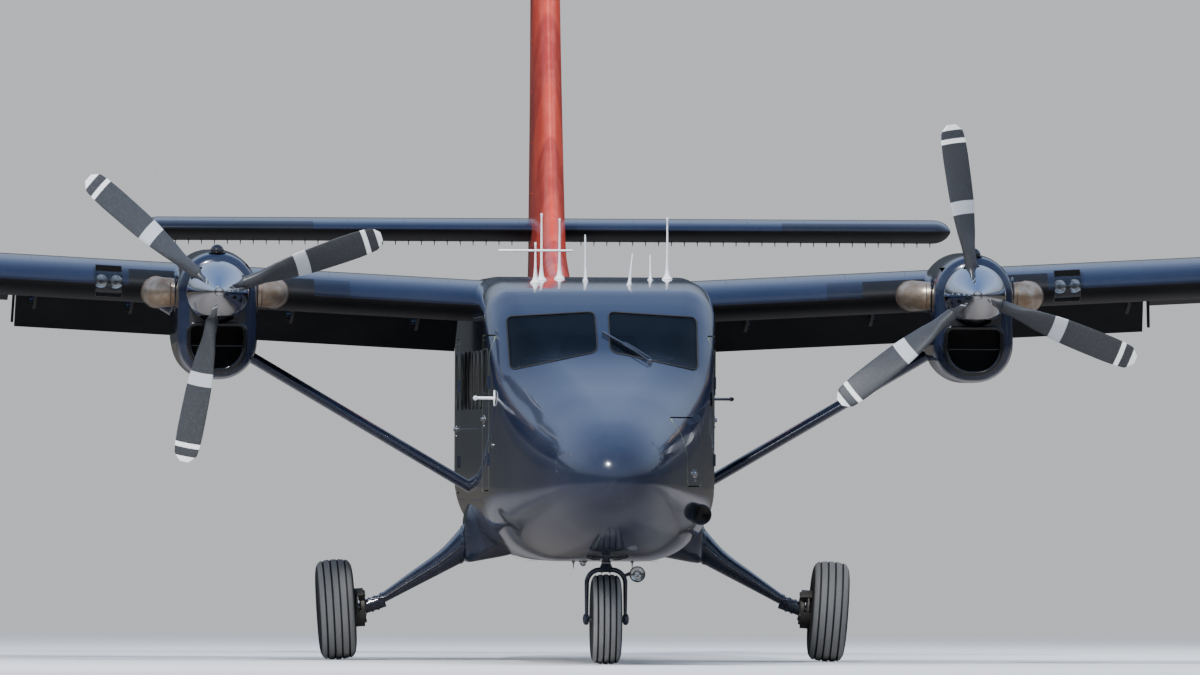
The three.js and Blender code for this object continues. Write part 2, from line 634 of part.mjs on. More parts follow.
// An upright section, whose half thickness follows the rows of a shape, and whose place follows a table row.
const uprightRing = (sections) => (row) => {
  const at = ([t, wide], side) => point(side * wide * row.half, row.lead + t * (row.trail - row.lead), row.at);
  const lone = sections[0][1] === 0 ? 1 : 0;
  return [...sections.map((place) => at(place, 1)), ...sections.slice(lone).reverse().map((place) => at(place, -1))];
};
const finRing = uprightRing(fixedSections);
const rudderRing = uprightRing(movingSections);

const tailSkin = 26;
const hollowRow = (row, front, rear) => ({
  at: row.at, lead: row.lead + front, trail: row.trail - rear, half: row.half - tailSkin,
});

const tailplane = { lead: 13350, trail: 14360, half: 92, height: 3320, span: 3150 };
const elevator = { from: 205, to: 3120, lead: 14385, trail: 14900, hinge: 14430, half: 68 };
const elevatorKnuckles = [700, 1700, 2700];
const elevatorReliefs = [1200, 2200];

const levelRing = (sections, x, lead, trail, half) => {
  const at = ([t, thick], face) => point(x, lead + t * (trail - lead), tailplane.height + face * thick * half);
  const lone = sections[0][1] === 0 ? 1 : 0;
  return [...sections.map((place) => at(place, 1)), ...sections.slice(lone).reverse().map((place) => at(place, -1))];
};
const elevatorRing = (x, skin = 0) => levelRing(movingSections, x, elevator.lead + skin,
  elevator.trail - 5 * skin, elevator.half - skin);
const tailplaneShape = () => {
  const { span, lead, trail, half } = tailplane;
  const tips = [[span - 120, 0, 1], [span - 30, 30, 0.75], [span, 100, 0.3]];
  const rings = [...tips.map(([x, inset, thick]) => [-x, inset, thick]).reverse(), ...tips];
  const outer = loft(rings.map(([x, inset, thick]) =>
    levelRing(fixedSections, x, lead + inset, trail, half * thick)), 'x');
  const inner = loft([180, span - 160].map((x) =>
    levelRing(fixedSections, x, lead + 70, trail - 35, half - tailSkin + 6)), 'x');
  const relief = elevatorReliefs.map((x) => block([x - 60, x + 60], [yAt(trail - 60), yAt(trail + 10)],
    [tailplane.height - 35, tailplane.height + 35]));
  return cut(outer, inner, mirrored(inner), ...relief, ...relief.map(mirrored));
};

const buildTail = () => {
  const stabiliser = tailplaneShape();
  const slot = block([-400, 400], [yAt(tailplane.lead) - seatGap, yAt(tailplane.trail) + 20],
    [tailplane.height - tailplane.half - seatGap, tailplane.height + tailplane.half + seatGap]);
  const upright = new THREE.Matrix4().makeRotationY(-Math.PI / 2);
  const rudderFrame = (height) => new THREE.Matrix4()
    .makeTranslation(0, yAt(rudderHinge.station), height).multiply(upright);
  const finHollow = loft(finRows.slice(2, 6).map((row) => finRing(hollowRow(row, 160, 35))), 'z');
  const reliefs = [3700, 4900].map((height) => block([-45, 45], [yAt(14650), yAt(14730)], [height - 90, height + 90]));
  const fin = join(cut(loft(finRows.map(finRing), 'z'), hullClearance, slot, finHollow, ...reliefs),
    ...rudderKnuckles.map((height) => knuckleShape().applyMatrix4(rudderFrame(height))));
  add('fin', fin, materials.fin);
  const rudderHollow = loft([{ ...rudderRows[0], at: 2870 }, { ...rudderRows[1], at: 5700 }]
    .map((row) => rudderRing(hollowRow(row, 20, 150))), 'z');
  add('rudder', cut(loft(rudderRows.map(rudderRing), 'z'), rudderHollow,
    ...rudderKnuckles.map((height) => notchShape().applyMatrix4(rudderFrame(height)))), materials.fin);
  const elevatorFrame = (x) => new THREE.Matrix4()
    .makeTranslation(x, yAt(elevator.hinge), tailplane.height);
  const places = elevatorKnuckles.flatMap((x) => [x, -x]);
  add('tailplane', join(stabiliser,
    ...places.map((x) => knuckleShape().applyMatrix4(elevatorFrame(x)))), materials.hull);
  addPair('elevator', cut(loft([elevatorRing(elevator.from), elevatorRing(elevator.to)], 'x'),
    loft([elevatorRing(elevator.from + 40, 22), elevatorRing(elevator.to - 40, 22)], 'x'),
    ...elevatorKnuckles.map((x) => notchShape().applyMatrix4(elevatorFrame(x)))), materials.hull);
};

const engineX = 2840;
const hubBack = 3741;
const shaftHeight = 2763;
const nacelleRows = table(['at', 'half', 'top', 'bottom', 'crown', 'bilge'],
  [3790, 262, 3025, 2165, 255, 250],
  [3860, 290, 3055, 2130, 285, 275],
  [4100, 308, 3073, 2112, 300, 285],
  [4700, 318, 3085, 2112, 300, 280],
  [5250, 318, 3095, 2180, 290, 270],
  [5800, 275, 3060, 2430, 230, 180],
  [6300, 190, 2990, 2590, 150, 120],
  [6600, 110, 2900, 2660, 90, 80]);
const nacelleStations = [3790, 3860, 4100, 4700, 5250, 5800, 6300, 6600];
const engineBay = { half: 240, from: 3900, to: 5080, low: 2520, high: 2975 };
const exhaustStation = 4180;

const nacelleSection = (station) => {
  const read = (key) => valueAt(nacelleRows, key, station);
  return { half: read('half'), top: read('top'), bottom: read('bottom'), crown: read('crown'), bilge: read('bilge') };
};

const buildNacelles = () => {
  const cowl = loft(nacelleStations.map((station) =>
    boxyRing(nacelleSection(station), station, engineX)), 'y');
  const { half, from, to, low, high } = engineBay;
  const mouth = new THREE.Shape();
  mouth.moveTo(engineX + 200, 2490);
  mouth.lineTo(engineX - 200, 2490);
  mouth.lineTo(engineX - 200, 2370);
  mouth.absarc(engineX - 20, 2370, 180, Math.PI, Math.PI * 1.5);
  mouth.absarc(engineX + 20, 2370, 180, Math.PI * 1.5, Math.PI * 2);
  mouth.closePath();
  const intakeMouth = frontView(mouth, 3700, 4320, 3);
  const dome = new THREE.SphereGeometry(52, 12, 8).translate(engineX, yAt(3890), 3072);
  addPair('nacelle', cut(join(cowl, dome), wingShape(seatGap), strutShape(seatGap),
    slab([from, to], [low, high], [engineX - half, engineX + half]), intakeMouth,
    slab([4000, 4300], [2300, low + 40], [engineX - 150, engineX + 150]),
    barrel(70, point(engineX, 3700, shaftHeight), point(engineX, from + 20, shaftHeight)),
    barrel(125, point(engineX - 500, exhaustStation, shaftHeight),
      point(engineX + 500, exhaustStation, shaftHeight))), materials.hull);
};

const exhaustStub = (side) => {
  const bend = new THREE.CatmullRomCurve3([
    point(engineX + side * 150, exhaustStation, shaftHeight), point(engineX + side * 330, exhaustStation, shaftHeight),
    point(engineX + side * 405, exhaustStation + 60, shaftHeight),
    point(engineX + side * 430, exhaustStation + 260, shaftHeight)]);
  const ringShape = new THREE.Shape().absarc(0, 0, 105, 0, 2 * Math.PI);
  ringShape.holes.push(new THREE.Path().absarc(0, 0, 95, 0, 2 * Math.PI, true));
  return new THREE.ExtrudeGeometry(ringShape,
    { extrudePath: bend, steps: 6, curveSegments: 5, bevelEnabled: false });
};

const buildEngines = () => {
  const { half, from, to, low, high } = engineBay;
  const core = slab([from + 60, to - seatGap], [low + seatGap, high - seatGap],
    [engineX - half + seatGap, engineX + half - seatGap]);
  const shaft = barrel(45, point(engineX, hubBack + hingePinGap, shaftHeight), point(engineX, from + 100, shaftHeight));
  addPair('engine', join(core, shaft, exhaustStub(1), exhaustStub(-1)), materials.exhaust);
};

// A ring of profile points turned about the line along Y through the hub.
const turnedAlongY = (profile, sides = 20) =>
  turnedOutwards(new THREE.LatheGeometry(profile.map(([radius, along]) => new THREE.Vector2(radius, along)), sides));

const propeller = { station: 3600, backStation: 3745 };
const spinner = { tip: 3270, radius: 233, thickness: 12 };
const bladeSides = 8;
const bladeRows = table(['at', 'chord', 'thick', 'twist'],
  [60, 96, 96, 50],
  [300, 110, 84, 48],
  [480, 178, 44, 40],
  [760, 222, 28, 32],
  [1050, 216, 19, 25],
  [1230, 186, 14, 22],
  [1295, 70, 8, 21]);

const bladeAt = (angle) => {
  const rings = bladeRows.map(({ at, chord, thick, twist }) => Array.from({ length: bladeSides }, (_, i) => {
    const around = (i / bladeSides) * 2 * Math.PI;
    const [u, v] = [(chord / 2) * Math.cos(around), (thick / 2) * Math.sin(around)];
    const turn = degrees(twist);
    return new THREE.Vector3(u * Math.cos(turn) - v * Math.sin(turn), u * Math.sin(turn) + v * Math.cos(turn), at);
  }));
  return loft(rings, 'z').rotateY(degrees(90 - angle));
};

const buildPropellers = () => {
  const sides = [['left', engineX, 98.4], ['right', -engineX, 139]];
  for (const [name, x, firstAngle] of sides) {
    const { station, backStation } = propeller;
    const back = backStation - station;
    const hub = turnedAlongY([[0, -90], [110, -90], [125, -60], [125, back - 20],
      [spinner.radius - spinner.thickness - seatGap, back - 20],
      [spinner.radius - spinner.thickness - seatGap, hubBack - station], [0, hubBack - station]]);
    const angles = [0, 120, 240].map((step) => firstAngle + step);
    const blades = angles.map(bladeAt);
    const turned = join(hub, ...blades).translate(x, yAt(station), shaftHeight);
    add(`propeller_${name}`, turned, materials.blade);
    const tip = spinner.tip - station;
    const { radius, thickness } = spinner;
    const shell = turnedAlongY([[0, tip], [50, tip + 15], [125, tip + 110], [195, tip + 240], [radius, tip + 380],
      [radius, back], [radius - thickness, back], [radius - thickness, tip + 385], [110, tip + 125], [0, tip + 30]]);
    const shankHoles = angles.map((angle) =>
      barrel(62, new THREE.Vector3(0, 0, 130), new THREE.Vector3(0, 0, 320), 12).rotateY(degrees(90 - angle)));
    add(`spinner_${name}`, cut(shell, ...shankHoles).translate(x, yAt(station), shaftHeight), materials.chrome);
  }
};

const wheelSides = 20;
const mainWheel = { x: 1866, station: 6150, radius: 380, half: 138, camber: degrees(3.75), bore: 37 };
const noseWheel = { x: 0, station: 1620, radius: 335, half: 112, camber: 0, bore: 22 };

const tyreProfile = ({ radius, half }) => {
  const bead = radius * 0.5;
  const outer = [[bead, 0.7 * half], [0.65 * radius, half], [0.82 * radius, 0.97 * half],
    [0.96 * radius, 0.66 * half], [radius, 0.15 * half]];
  return [...outer, ...outer.map(([r, along]) => [r, -along]).reverse(), outer[0]];
};
const rimProfile = ({ radius, half, bore }) => {
  const seat = radius * 0.5 - seatGap;
  const outer = [[bore, 0.45 * half], [bore + 30, 0.3 * half], [seat - 26, 0.15 * half], [seat - 18, 0.72 * half],
    [seat, 0.72 * half]];
  return [...outer, ...outer.map(([r, along]) => [r, -along]).reverse(), outer[0]];
};

// Wheel shapes turn about X, stand at their camber and rest on the floor.
const wheelPlace = (wheel) => {
  const contact = wheel.radius * Math.cos(wheel.camber) + 0.15 * wheel.half * Math.sin(wheel.camber);
  return new THREE.Matrix4().makeTranslation(wheel.x, yAt(wheel.station), contact)
    .multiply(new THREE.Matrix4().makeRotationY(wheel.camber));
};
const wheelPart = (profile, wheel, sides) =>
  turnedAlongY(profile, sides).rotateZ(-Math.PI / 2).applyMatrix4(wheelPlace(wheel));

const buildWheels = () => {
  addPair('main_tyre', wheelPart(tyreProfile(mainWheel), mainWheel, wheelSides), materials.rubber);
  addPair('main_rim', wheelPart(rimProfile(mainWheel), mainWheel, wheelSides), materials.gear);
  add('nose_tyre', wheelPart(tyreProfile(noseWheel), noseWheel, wheelSides), materials.rubber);
  add('nose_rim', wheelPart(rimProfile(noseWheel), noseWheel, wheelSides), materials.gear);
};

const fairingRows = table(['at', 'size', 'shift'],
  [5560, 0.5, -60],
  [5850, 1, 0],
  [6480, 1, 0],
  [6980, 0.45, -70]);

const buildMainGear = () => {
  const outline = [[650, 1300], [800, 1262], [866, 1180], [898, 1080], [898, 735], [600, 790], [376, 850], [376, 1000]];
  const middle = { x: 600, z: 1010 };
  const rings = fairingRows.map(({ at, size, shift }) => outline.map(([x, z]) =>
    point(middle.x + (x - middle.x) * size + shift, at, middle.z + (z - middle.z) * size)));
  addPair('gear_fairing', cut(loft(rings, 'y'), hullClearance, strutShape(seatGap)), materials.hull);
  const legRows = table(['x', 'low', 'high', 'half'],
    [898 + seatGap, 745, 1032, 180],
    [1076, 652, 836, 150],
    [1300, 536, 668, 112],
    [1552, 404, 484, 78]);
  const leg = loft(legRows.map(({ x, low, high, half }) => [[-half * 0.6, low], [half * 0.6, low], [half, (low + high) / 2],
    [half * 0.6, high], [-half * 0.6, high], [-half, (low + high) / 2]]
    .map(([y, z]) => point(x, mainWheel.station + y, z))), 'x');
  const place = wheelPlace(mainWheel);
  const onAxle = (along) => new THREE.Vector3(along, 0, 0).applyMatrix4(place);
  const cylinder = barrel(52, point(1500, mainWheel.station, 452), onAxle(-200), 14);
  const axle = barrel(mainWheel.bore - 1, onAxle(-215), onAxle(mainWheel.half * 0.45 + 12), 14);
  const brake = barrel(125, onAxle(-225), onAxle(-150), 18);
  const hubCap = barrel(58, onAxle(mainWheel.half * 0.45 + hingePinGap), onAxle(mainWheel.half * 0.45 + 22), 14);
  addPair('main_gear_leg', join(leg, cylinder, axle, brake, hubCap), materials.gear);
};

const buildNoseGear = () => {
  const { station, radius } = noseWheel;
  const crown = 722;
  const stemTop = 752;
  const legTop = 900;
  const stem = barrel(80, point(0, station, stemTop + 0.5), point(0, station, legTop), 16);
  const collar = barrel(105, point(0, station, 775), point(0, station, legTop), 16);
  add('nose_leg', cut(join(stem, collar), hullClearance), materials.gear);
  const arch = new THREE.Shape();
  arch.moveTo(-162, radius - 30);
  arch.lineTo(-125, radius - 30);
  arch.lineTo(-125, 610);
  arch.absarc(-45, 612, 80, Math.PI, Math.PI / 2, true);
  arch.absarc(45, 612, 80, Math.PI / 2, 0, true);
  arch.lineTo(125, radius - 30);
  arch.lineTo(162, radius - 30);
  arch.lineTo(162, 600);
  arch.absarc(62, 622, 100, 0, Math.PI / 2);
  arch.absarc(-62, 622, 100, Math.PI / 2, Math.PI);
  arch.closePath();
  const bow = frontView(arch, station - 38, station + 38, 2);
  const boss = barrel(60, point(0, station, crown - 20), point(0, station, stemTop), 16);
  const axle = barrel(noseWheel.bore - 1, point(-172, station, radius), point(172, station, radius), 14);
  const knobs = [-1, 1].map((side) =>
    barrel(48, point(side * 126, station, radius), point(side * 168, station, radius), 14));
  const lampArm = slab([station - 30, station], [655, 690], [120, 230]);
  const lamp = barrel(60, point(230, station - 70, 670), point(230, station + 30, 670), 16);
  add('nose_fork', join(bow, boss, axle, ...knobs, lampArm, lamp), materials.gear);
};

buildNose();
buildCockpit();
buildCockpitFittings();
buildCabin();
buildTailCone();
buildWings();
buildStruts();
buildTail();
buildNacelles();
buildEngines();
buildPropellers();
buildWheels();
buildMainGear();
buildNoseGear();

export default aircraft;
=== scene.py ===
import math

import bmesh
import bpy
import numpy as np
from mathutils import Matrix, Vector
from mathutils.bvhtree import BVHTree


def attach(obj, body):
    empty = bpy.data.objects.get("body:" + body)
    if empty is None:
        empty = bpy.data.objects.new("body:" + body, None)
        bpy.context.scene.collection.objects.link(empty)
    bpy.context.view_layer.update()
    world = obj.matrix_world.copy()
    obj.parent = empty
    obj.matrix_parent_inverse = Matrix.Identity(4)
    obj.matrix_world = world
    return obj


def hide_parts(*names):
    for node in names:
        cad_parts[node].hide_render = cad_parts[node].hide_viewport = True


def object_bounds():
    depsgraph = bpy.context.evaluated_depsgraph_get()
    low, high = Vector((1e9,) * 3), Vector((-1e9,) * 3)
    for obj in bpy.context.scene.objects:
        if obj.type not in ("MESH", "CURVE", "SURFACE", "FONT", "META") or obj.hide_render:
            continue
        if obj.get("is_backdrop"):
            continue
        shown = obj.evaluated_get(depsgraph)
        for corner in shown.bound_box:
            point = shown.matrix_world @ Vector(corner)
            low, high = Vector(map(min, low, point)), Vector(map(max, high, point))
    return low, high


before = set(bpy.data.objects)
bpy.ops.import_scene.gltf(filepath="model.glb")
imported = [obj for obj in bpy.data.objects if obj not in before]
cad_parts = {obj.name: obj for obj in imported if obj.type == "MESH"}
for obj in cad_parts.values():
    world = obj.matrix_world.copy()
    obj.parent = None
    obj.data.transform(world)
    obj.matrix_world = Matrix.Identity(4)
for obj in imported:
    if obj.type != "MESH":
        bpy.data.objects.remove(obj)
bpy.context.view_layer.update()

fullLength = 15.77


def yAt(station):
    return station - fullLength / 2


# Meshes are made from points and faces, in metres.

def objectOf(name, mesh):
    obj = bpy.data.objects.new(name, mesh)
    bpy.context.scene.collection.objects.link(obj)
    return obj


def meshOf(points, faces):
    mesh = bpy.data.meshes.new("part")
    mesh.from_pydata([tuple(map(float, p)) for p in points], [], faces)
    mesh.update()
    return mesh


def turnOutwards(mesh):
    work = bmesh.new()
    work.from_mesh(mesh)
    bmesh.ops.recalc_face_normals(work, faces=work.faces)
    work.to_mesh(mesh)
    work.free()
    mesh.update()
    return mesh


# A closed mesh through rings of points of one count, with flat ends.
def loft(rings):
    count = len(rings[0])
    faces = []
    for r in range(len(rings) - 1):
        for i in range(count):
            a, b = r * count + i, r * count + (i + 1) % count
            faces.append((a, b, b + count, a + count))
    faces.append(tuple(range(count)))
    faces.append(tuple(range((len(rings) - 1) * count, len(rings) * count)))
    return turnOutwards(meshOf([p for ring in rings for p in ring], faces))


# A closed ring of profile points turned about an axis. Each profile point is (radius, along).
def lathe(profile, sides=64):
    points, faces = [], []
    count = len(profile)
    for s in range(sides):
        turn = 2 * math.pi * s / sides
        points += [(r * math.cos(turn), along, r * math.sin(turn)) for r, along in profile]
    for s in range(sides):
        for i in range(count):
            a, b = s * count + i, s * count + (i + 1) % count
            c, d = (s + 1) % sides * count + (i + 1) % count, (s + 1) % sides * count + i
            faces.append((a, b, c, d))
    mesh = meshOf(points, faces)
    work = bmesh.new()
    work.from_mesh(mesh)
    bmesh.ops.remove_doubles(work, verts=work.verts, dist=1e-6)
    bmesh.ops.dissolve_degenerate(work, dist=1e-7, edges=work.edges)
    work.to_mesh(mesh)
    work.free()
    return turnOutwards(mesh)


def moved(mesh, matrix):
    mesh = mesh.copy()
    mesh.transform(matrix)
    if matrix.determinant() < 0:
        mesh.flip_normals()
    return mesh


def mirrored(mesh):
    return moved(mesh, Matrix.Scale(-1, 4, (1, 0, 0)))


def joined(*meshes):
    work = bmesh.new()
    for mesh in meshes:
        work.from_mesh(mesh)
    mesh = bpy.data.meshes.new("part")
    work.to_mesh(mesh)
    work.free()
    return mesh


def solidWith(mesh, tools, operation):
    obj = objectOf("work", mesh)
    others = [objectOf("tool", tool) for tool in tools]
    for other in others:
        step = obj.modifiers.new("step", "BOOLEAN")
        step.operation, step.solver, step.object = operation, "MANIFOLD", other
    evaluated = obj.evaluated_get(bpy.context.evaluated_depsgraph_get())
    made = bpy.data.meshes.new_from_object(evaluated)
    for old in [obj, *others]:
        bpy.data.objects.remove(old)
    return made


def cut(mesh, *tools):
    return solidWith(mesh, tools, "DIFFERENCE") if tools else mesh


def keep(mesh, *tools):
    return solidWith(mesh, tools, "INTERSECT")


def block(x, y, z):
    corners = [(x[i], y[j], z[k]) for i in (0, 1) for j in (0, 1) for k in (0, 1)]
    faces = [(0, 1, 3, 2), (4, 6, 7, 5), (0, 4, 5, 1), (2, 3, 7, 6), (0, 2, 6, 4), (1, 5, 7, 3)]
    return turnOutwards(meshOf(corners, faces))


def slab(stations, z=(-1, 9), x=(-3, 3)):
    return block(x, (yAt(stations[0]), yAt(stations[1])), z)


# An outline with each corner rounded.
def rounded(corners, radius, steps=6):
    made = []
    count = len(corners)
    for i in range(count):
        here = Vector(corners[i])
        before, after = Vector(corners[i - 1]) - here, Vector(corners[(i + 1) % count]) - here
        reach = min(radius, before.length / 2, after.length / 2)
        start, end = here + before.normalized() * reach, here + after.normalized() * reach
        for s in range(steps + 1):
            t = s / steps
            made.append(start * (1 - t) ** 2 + here * 2 * t * (1 - t) + end * t ** 2)
    return made


def rectangle(a, b, radius=0.0, steps=6):
    corners = [(a[0], b[0]), (a[1], b[0]), (a[1], b[1]), (a[0], b[1])]
    return rounded(corners, radius, steps) if radius else [Vector(c) for c in corners]


# Side view outlines hold (station, z) and are drawn out along x, front view ones (x, z) along the stations.
def sidePrism(outline, x0, x1):
    return loft([[(x, yAt(p[0]), p[1]) for p in outline] for x in (x0, x1)])


def frontPrism(outline, from_, to):
    return loft([[(p[0], yAt(s), p[1]) for p in outline] for s in (from_, to)])


def barrel(radius, start, end, sides=24, endRadius=None):
    start, end = Vector(start), Vector(end)
    along = (end - start).normalized()
    turn = along.to_track_quat("Z", "Y").to_matrix()
    rings = []
    for place, size in ((start, radius), (end, endRadius or radius)):
        rings.append([place + turn @ Vector((size * math.cos(a), size * math.sin(a), 0))
                      for a in np.linspace(0, 2 * math.pi, sides, endpoint=False)])
    return loft(rings)


# A round bar along a path, with a radius at each point.
def tube(path, radii, sides=16):
    path = [Vector(p) for p in path]
    radii = radii if isinstance(radii, (list, tuple)) else [radii] * len(path)
    rings = []
    side = None
    for i, place in enumerate(path):
        along = (path[min(i + 1, len(path) - 1)] - path[max(i - 1, 0)]).normalized()
        if side is None:
            side = along.orthogonal().normalized()
        side = (side - along * side.dot(along)).normalized()
        other = along.cross(side)
        rings.append([place + radii[i] * (side * math.cos(a) + other * math.sin(a))
                      for a in np.linspace(0, 2 * math.pi, sides, endpoint=False)])
    return loft(rings)


def smoothPath(points, steps=8):
    points = [Vector(p) for p in points]
    made = []
    for i in range(len(points) - 1):
        a, b = points[max(i - 1, 0)], points[i]
        c, d = points[i + 1], points[min(i + 2, len(points) - 1)]
        for s in range(steps):
            t = s / steps
            made.append(0.5 * (2 * b + (c - a) * t + (2 * a - 5 * b + 4 * c - d) * t ** 2
                               + (3 * b - a - 3 * c + d) * t ** 3))
    made.append(points[-1])
    return made


# A bar that closes on itself.
def ringTube(path, radius, sides=8, flat=1.0, facing=None):
    path = [Vector(p) for p in path]
    count = len(path)
    rings = []
    side = None
    for i, place in enumerate(path):
        along = (path[(i + 1) % count] - path[i - 1]).normalized()
        if facing:
            side = Vector(facing)
        elif side is None:
            side = along.orthogonal().normalized()
        side = (side - along * side.dot(along)).normalized()
        other = along.cross(side)
        rings.append([place + radius * (flat * side * math.cos(a) + other * math.sin(a))
                      for a in np.linspace(0, 2 * math.pi, sides, endpoint=False)])
    points = [p for ring in rings for p in ring]
    faces = []
    for r in range(count):
        for i in range(sides):
            a, b = r * sides + i, r * sides + (i + 1) % sides
            c, d = (r + 1) % count * sides + (i + 1) % sides, (r + 1) % count * sides + i
            faces.append((a, b, c, d))
    return turnOutwards(meshOf(points, faces))


# A profile of (radius, along) turned about the line from one place towards another.
def turned(profile, start, towards, sides=32):
    start = Vector(start)
    turn = (Vector(towards) - start).to_track_quat("Y", "Z").to_matrix().to_4x4()
    return moved(lathe(profile, sides), Matrix.Translation(start) @ turn)


# A bar with an oval section along a path, its depth kept along one fixed direction.
def sweep(path, widths, depths, facing, sides=20, square=2.6):
    path = [Vector(p) for p in path]
    rings = []
    for i, place in enumerate(path):
        along = (path[min(i + 1, len(path) - 1)] - path[max(i - 1, 0)]).normalized()
        deep = (Vector(facing) - along * along.dot(Vector(facing))).normalized()
        wide = along.cross(deep)
        ring = []
        for a in np.linspace(0, 2 * math.pi, sides, endpoint=False):
            c, n = math.cos(a), math.sin(a)
            ring.append(place + wide * (widths[i] * math.copysign(abs(c) ** (2 / square), c))
                        + deep * (depths[i] * math.copysign(abs(n) ** (2 / square), n)))
        rings.append(ring)
    return loft(rings)


# A hexagon head on a washer, standing on a place and facing along a direction.
def bolt(place, out, size=0.008):
    profile = [(0, -size), (1.5 * size, -size), (1.5 * size, 0.2 * size), (0, 0.2 * size)]
    head = barrel(size, Vector(place) + Vector(out).normalized() * 0.2 * size,
                  Vector(place) + Vector(out).normalized() * 1.1 * size, 6, size * 0.92)
    return joined(turned(profile, place, Vector(place) + Vector(out), 12), head)


# A block bent round an axis along Y, from one angle to another.
def arcBlock(inner, outer, start, end, low, high, steps=10):
    rings = []
    for a in np.linspace(start, end, steps):
        c, n = math.cos(a), math.sin(a)
        corners = rounded([(inner, low), (outer, low), (outer, high), (inner, high)], 0.008, 3)
        rings.append([(r * c, along, r * n) for r, along in corners])
    return loft(rings)


def spread(low, high, count):
    return [low + (high - low) * i / (count - 1) for i in range(count)]


# Materials are built from nodes through a small helper.

class Graph:
    def __init__(self, tree):
        self.tree = tree

    def node(self, kind, inputs=None, **settings):
        made = self.tree.nodes.new(kind)
        for key, value in settings.items():
            setattr(made, key, value)
        for name, value in (inputs or {}).items():
            self.feed(value, made.inputs[name])
        return made

    def feed(self, value, socket):
        if isinstance(value, bpy.types.NodeSocket):
            self.tree.links.new(value, socket)
        else:
            socket.default_value = value

    def math(self, operation, a, b=0.0, clamp=False):
        return self.node("ShaderNodeMath", {0: a, 1: b}, operation=operation, use_clamp=clamp).outputs[0]

    def mix(self, factor, a, b, blend="MIX"):
        made = self.node("ShaderNodeMix", data_type="RGBA", blend_type=blend)
        for name, value in (("Factor_Float", factor), ("A_Color", a), ("B_Color", b)):
            self.feed(value, next(s for s in made.inputs if s.identifier == name))
        return next(s for s in made.outputs if s.identifier == "Result_Color")

    def band(self, value, low, high, soft=0.002):
        up = self.node("ShaderNodeMapRange", {"Value": value, "From Min": low - soft, "From Max": low + soft})
        down = self.node("ShaderNodeMapRange", {"Value": value, "From Min": high - soft,
            "From Max": high + soft, "To Min": 1.0, "To Max": 0.0})
        return self.math("MULTIPLY", up.outputs[0], down.outputs[0])

    def noise(self, vector, scale, detail=4.0, rough=0.5):
        return self.node("ShaderNodeTexNoise", {"Vector": vector, "Scale": scale, "Detail": detail,
                                                "Roughness": rough}).outputs[0]

    def spread(self, value, low, high, toLow=0.0, toHigh=1.0):
        return self.node("ShaderNodeMapRange", {"Value": value, "From Min": low, "From Max": high,
            "To Min": toLow, "To Max": toHigh}).outputs[0]


def groupOf(name, inputs, outputs, build):
    tree = bpy.data.node_groups.new(name, "ShaderNodeTree")
    for label, kind, value in inputs:
        socket = tree.interface.new_socket(label, in_out="INPUT", socket_type=kind)
        if value is not None:
            socket.default_value = value
    for label, kind in outputs:
        tree.interface.new_socket(label, in_out="OUTPUT", socket_type=kind)
    graph = Graph(tree)
    start, end = graph.node("NodeGroupInput"), graph.node("NodeGroupOutput")
    for label, value in build(graph, start.outputs).items():
        graph.feed(value, end.inputs[label])
    return tree


# Settled dust and fine scuffs, with more dust low down where the wheels throw dirt.
def buildGrime(graph, given):
    place = given["Place"]
    split = graph.node("ShaderNodeSeparateXYZ", {"Vector": place})
    low = graph.spread(split.outputs["Z"], 2.2, 0.6)
    clouds = graph.noise(place, 1.7, 6.0, 0.6)
    fine = graph.noise(place, 38.0, 3.0, 0.7)
    dust = graph.math("MULTIPLY", graph.spread(clouds, 0.35, 0.75), graph.spread(fine, 0.25, 0.8))
    dust = graph.math("MULTIPLY", dust, graph.math("ADD", graph.math("MULTIPLY", low, 1.0), 0.22))
    streaks = graph.node("ShaderNodeMapping", {"Vector": place, "Scale": (30.0, 0.7, 30.0)}).outputs[0]
    scuff = graph.spread(graph.noise(streaks, 1.0, 2.0, 0.6), 0.62, 0.8)
    return {"Dust": graph.math("MULTIPLY", dust, given["Amount"]), "Scuff": scuff}


grime = groupOf("grime", [("Place", "NodeSocketVector", None), ("Amount", "NodeSocketFloat", 1.0)],
                [("Dust", "NodeSocketFloat"), ("Scuff", "NodeSocketFloat")], buildGrime)


# The faint waviness of sheet metal over its frames, and the fine orange peel of sprayed paint.
def buildSkinWave(graph, given):
    place = given["Place"]
    wave = graph.noise(place, 1.4, 1.0, 0.4)
    peel = graph.noise(place, 420.0, 1.0, 0.5)
    first = graph.node("ShaderNodeBump", {"Strength": given["Wave"], "Distance": 0.02, "Height": wave})
    second = graph.node("ShaderNodeBump", {"Strength": given["Peel"], "Distance": 0.0004, "Height": peel,
                                           "Normal": first.outputs[0]})
    return {"Normal": second.outputs[0]}


skinWave = groupOf("skin_wave", [("Place", "NodeSocketVector", None), ("Wave", "NodeSocketFloat", 0.1),
                                 ("Peel", "NodeSocketFloat", 0.2)],
                   [("Normal", "NodeSocketVector")], buildSkinWave)


# Fine dents, pores or grain for moulded, cast and leather surfaces.
def buildGrain(graph, given):
    cells = graph.node("ShaderNodeTexVoronoi", {"Vector": given["Place"], "Scale": given["Scale"]},
                       feature="SMOOTH_F1")
    cells.inputs["Smoothness"].default_value = 0.6
    fine = graph.noise(given["Place"], 900.0, 2.0, 0.6)
    height = graph.math("ADD", cells.outputs["Distance"], graph.math("MULTIPLY", fine, 0.3))
    bump = graph.node("ShaderNodeBump", {"Strength": given["Depth"], "Distance": 0.001, "Height": height})
    return {"Normal": bump.outputs[0], "Height": height}


grain = groupOf("grain", [("Place", "NodeSocketVector", None), ("Scale", "NodeSocketFloat", 300.0),
                          ("Depth", "NodeSocketFloat", 0.3)],
                [("Normal", "NodeSocketVector"), ("Height", "NodeSocketFloat")], buildGrain)


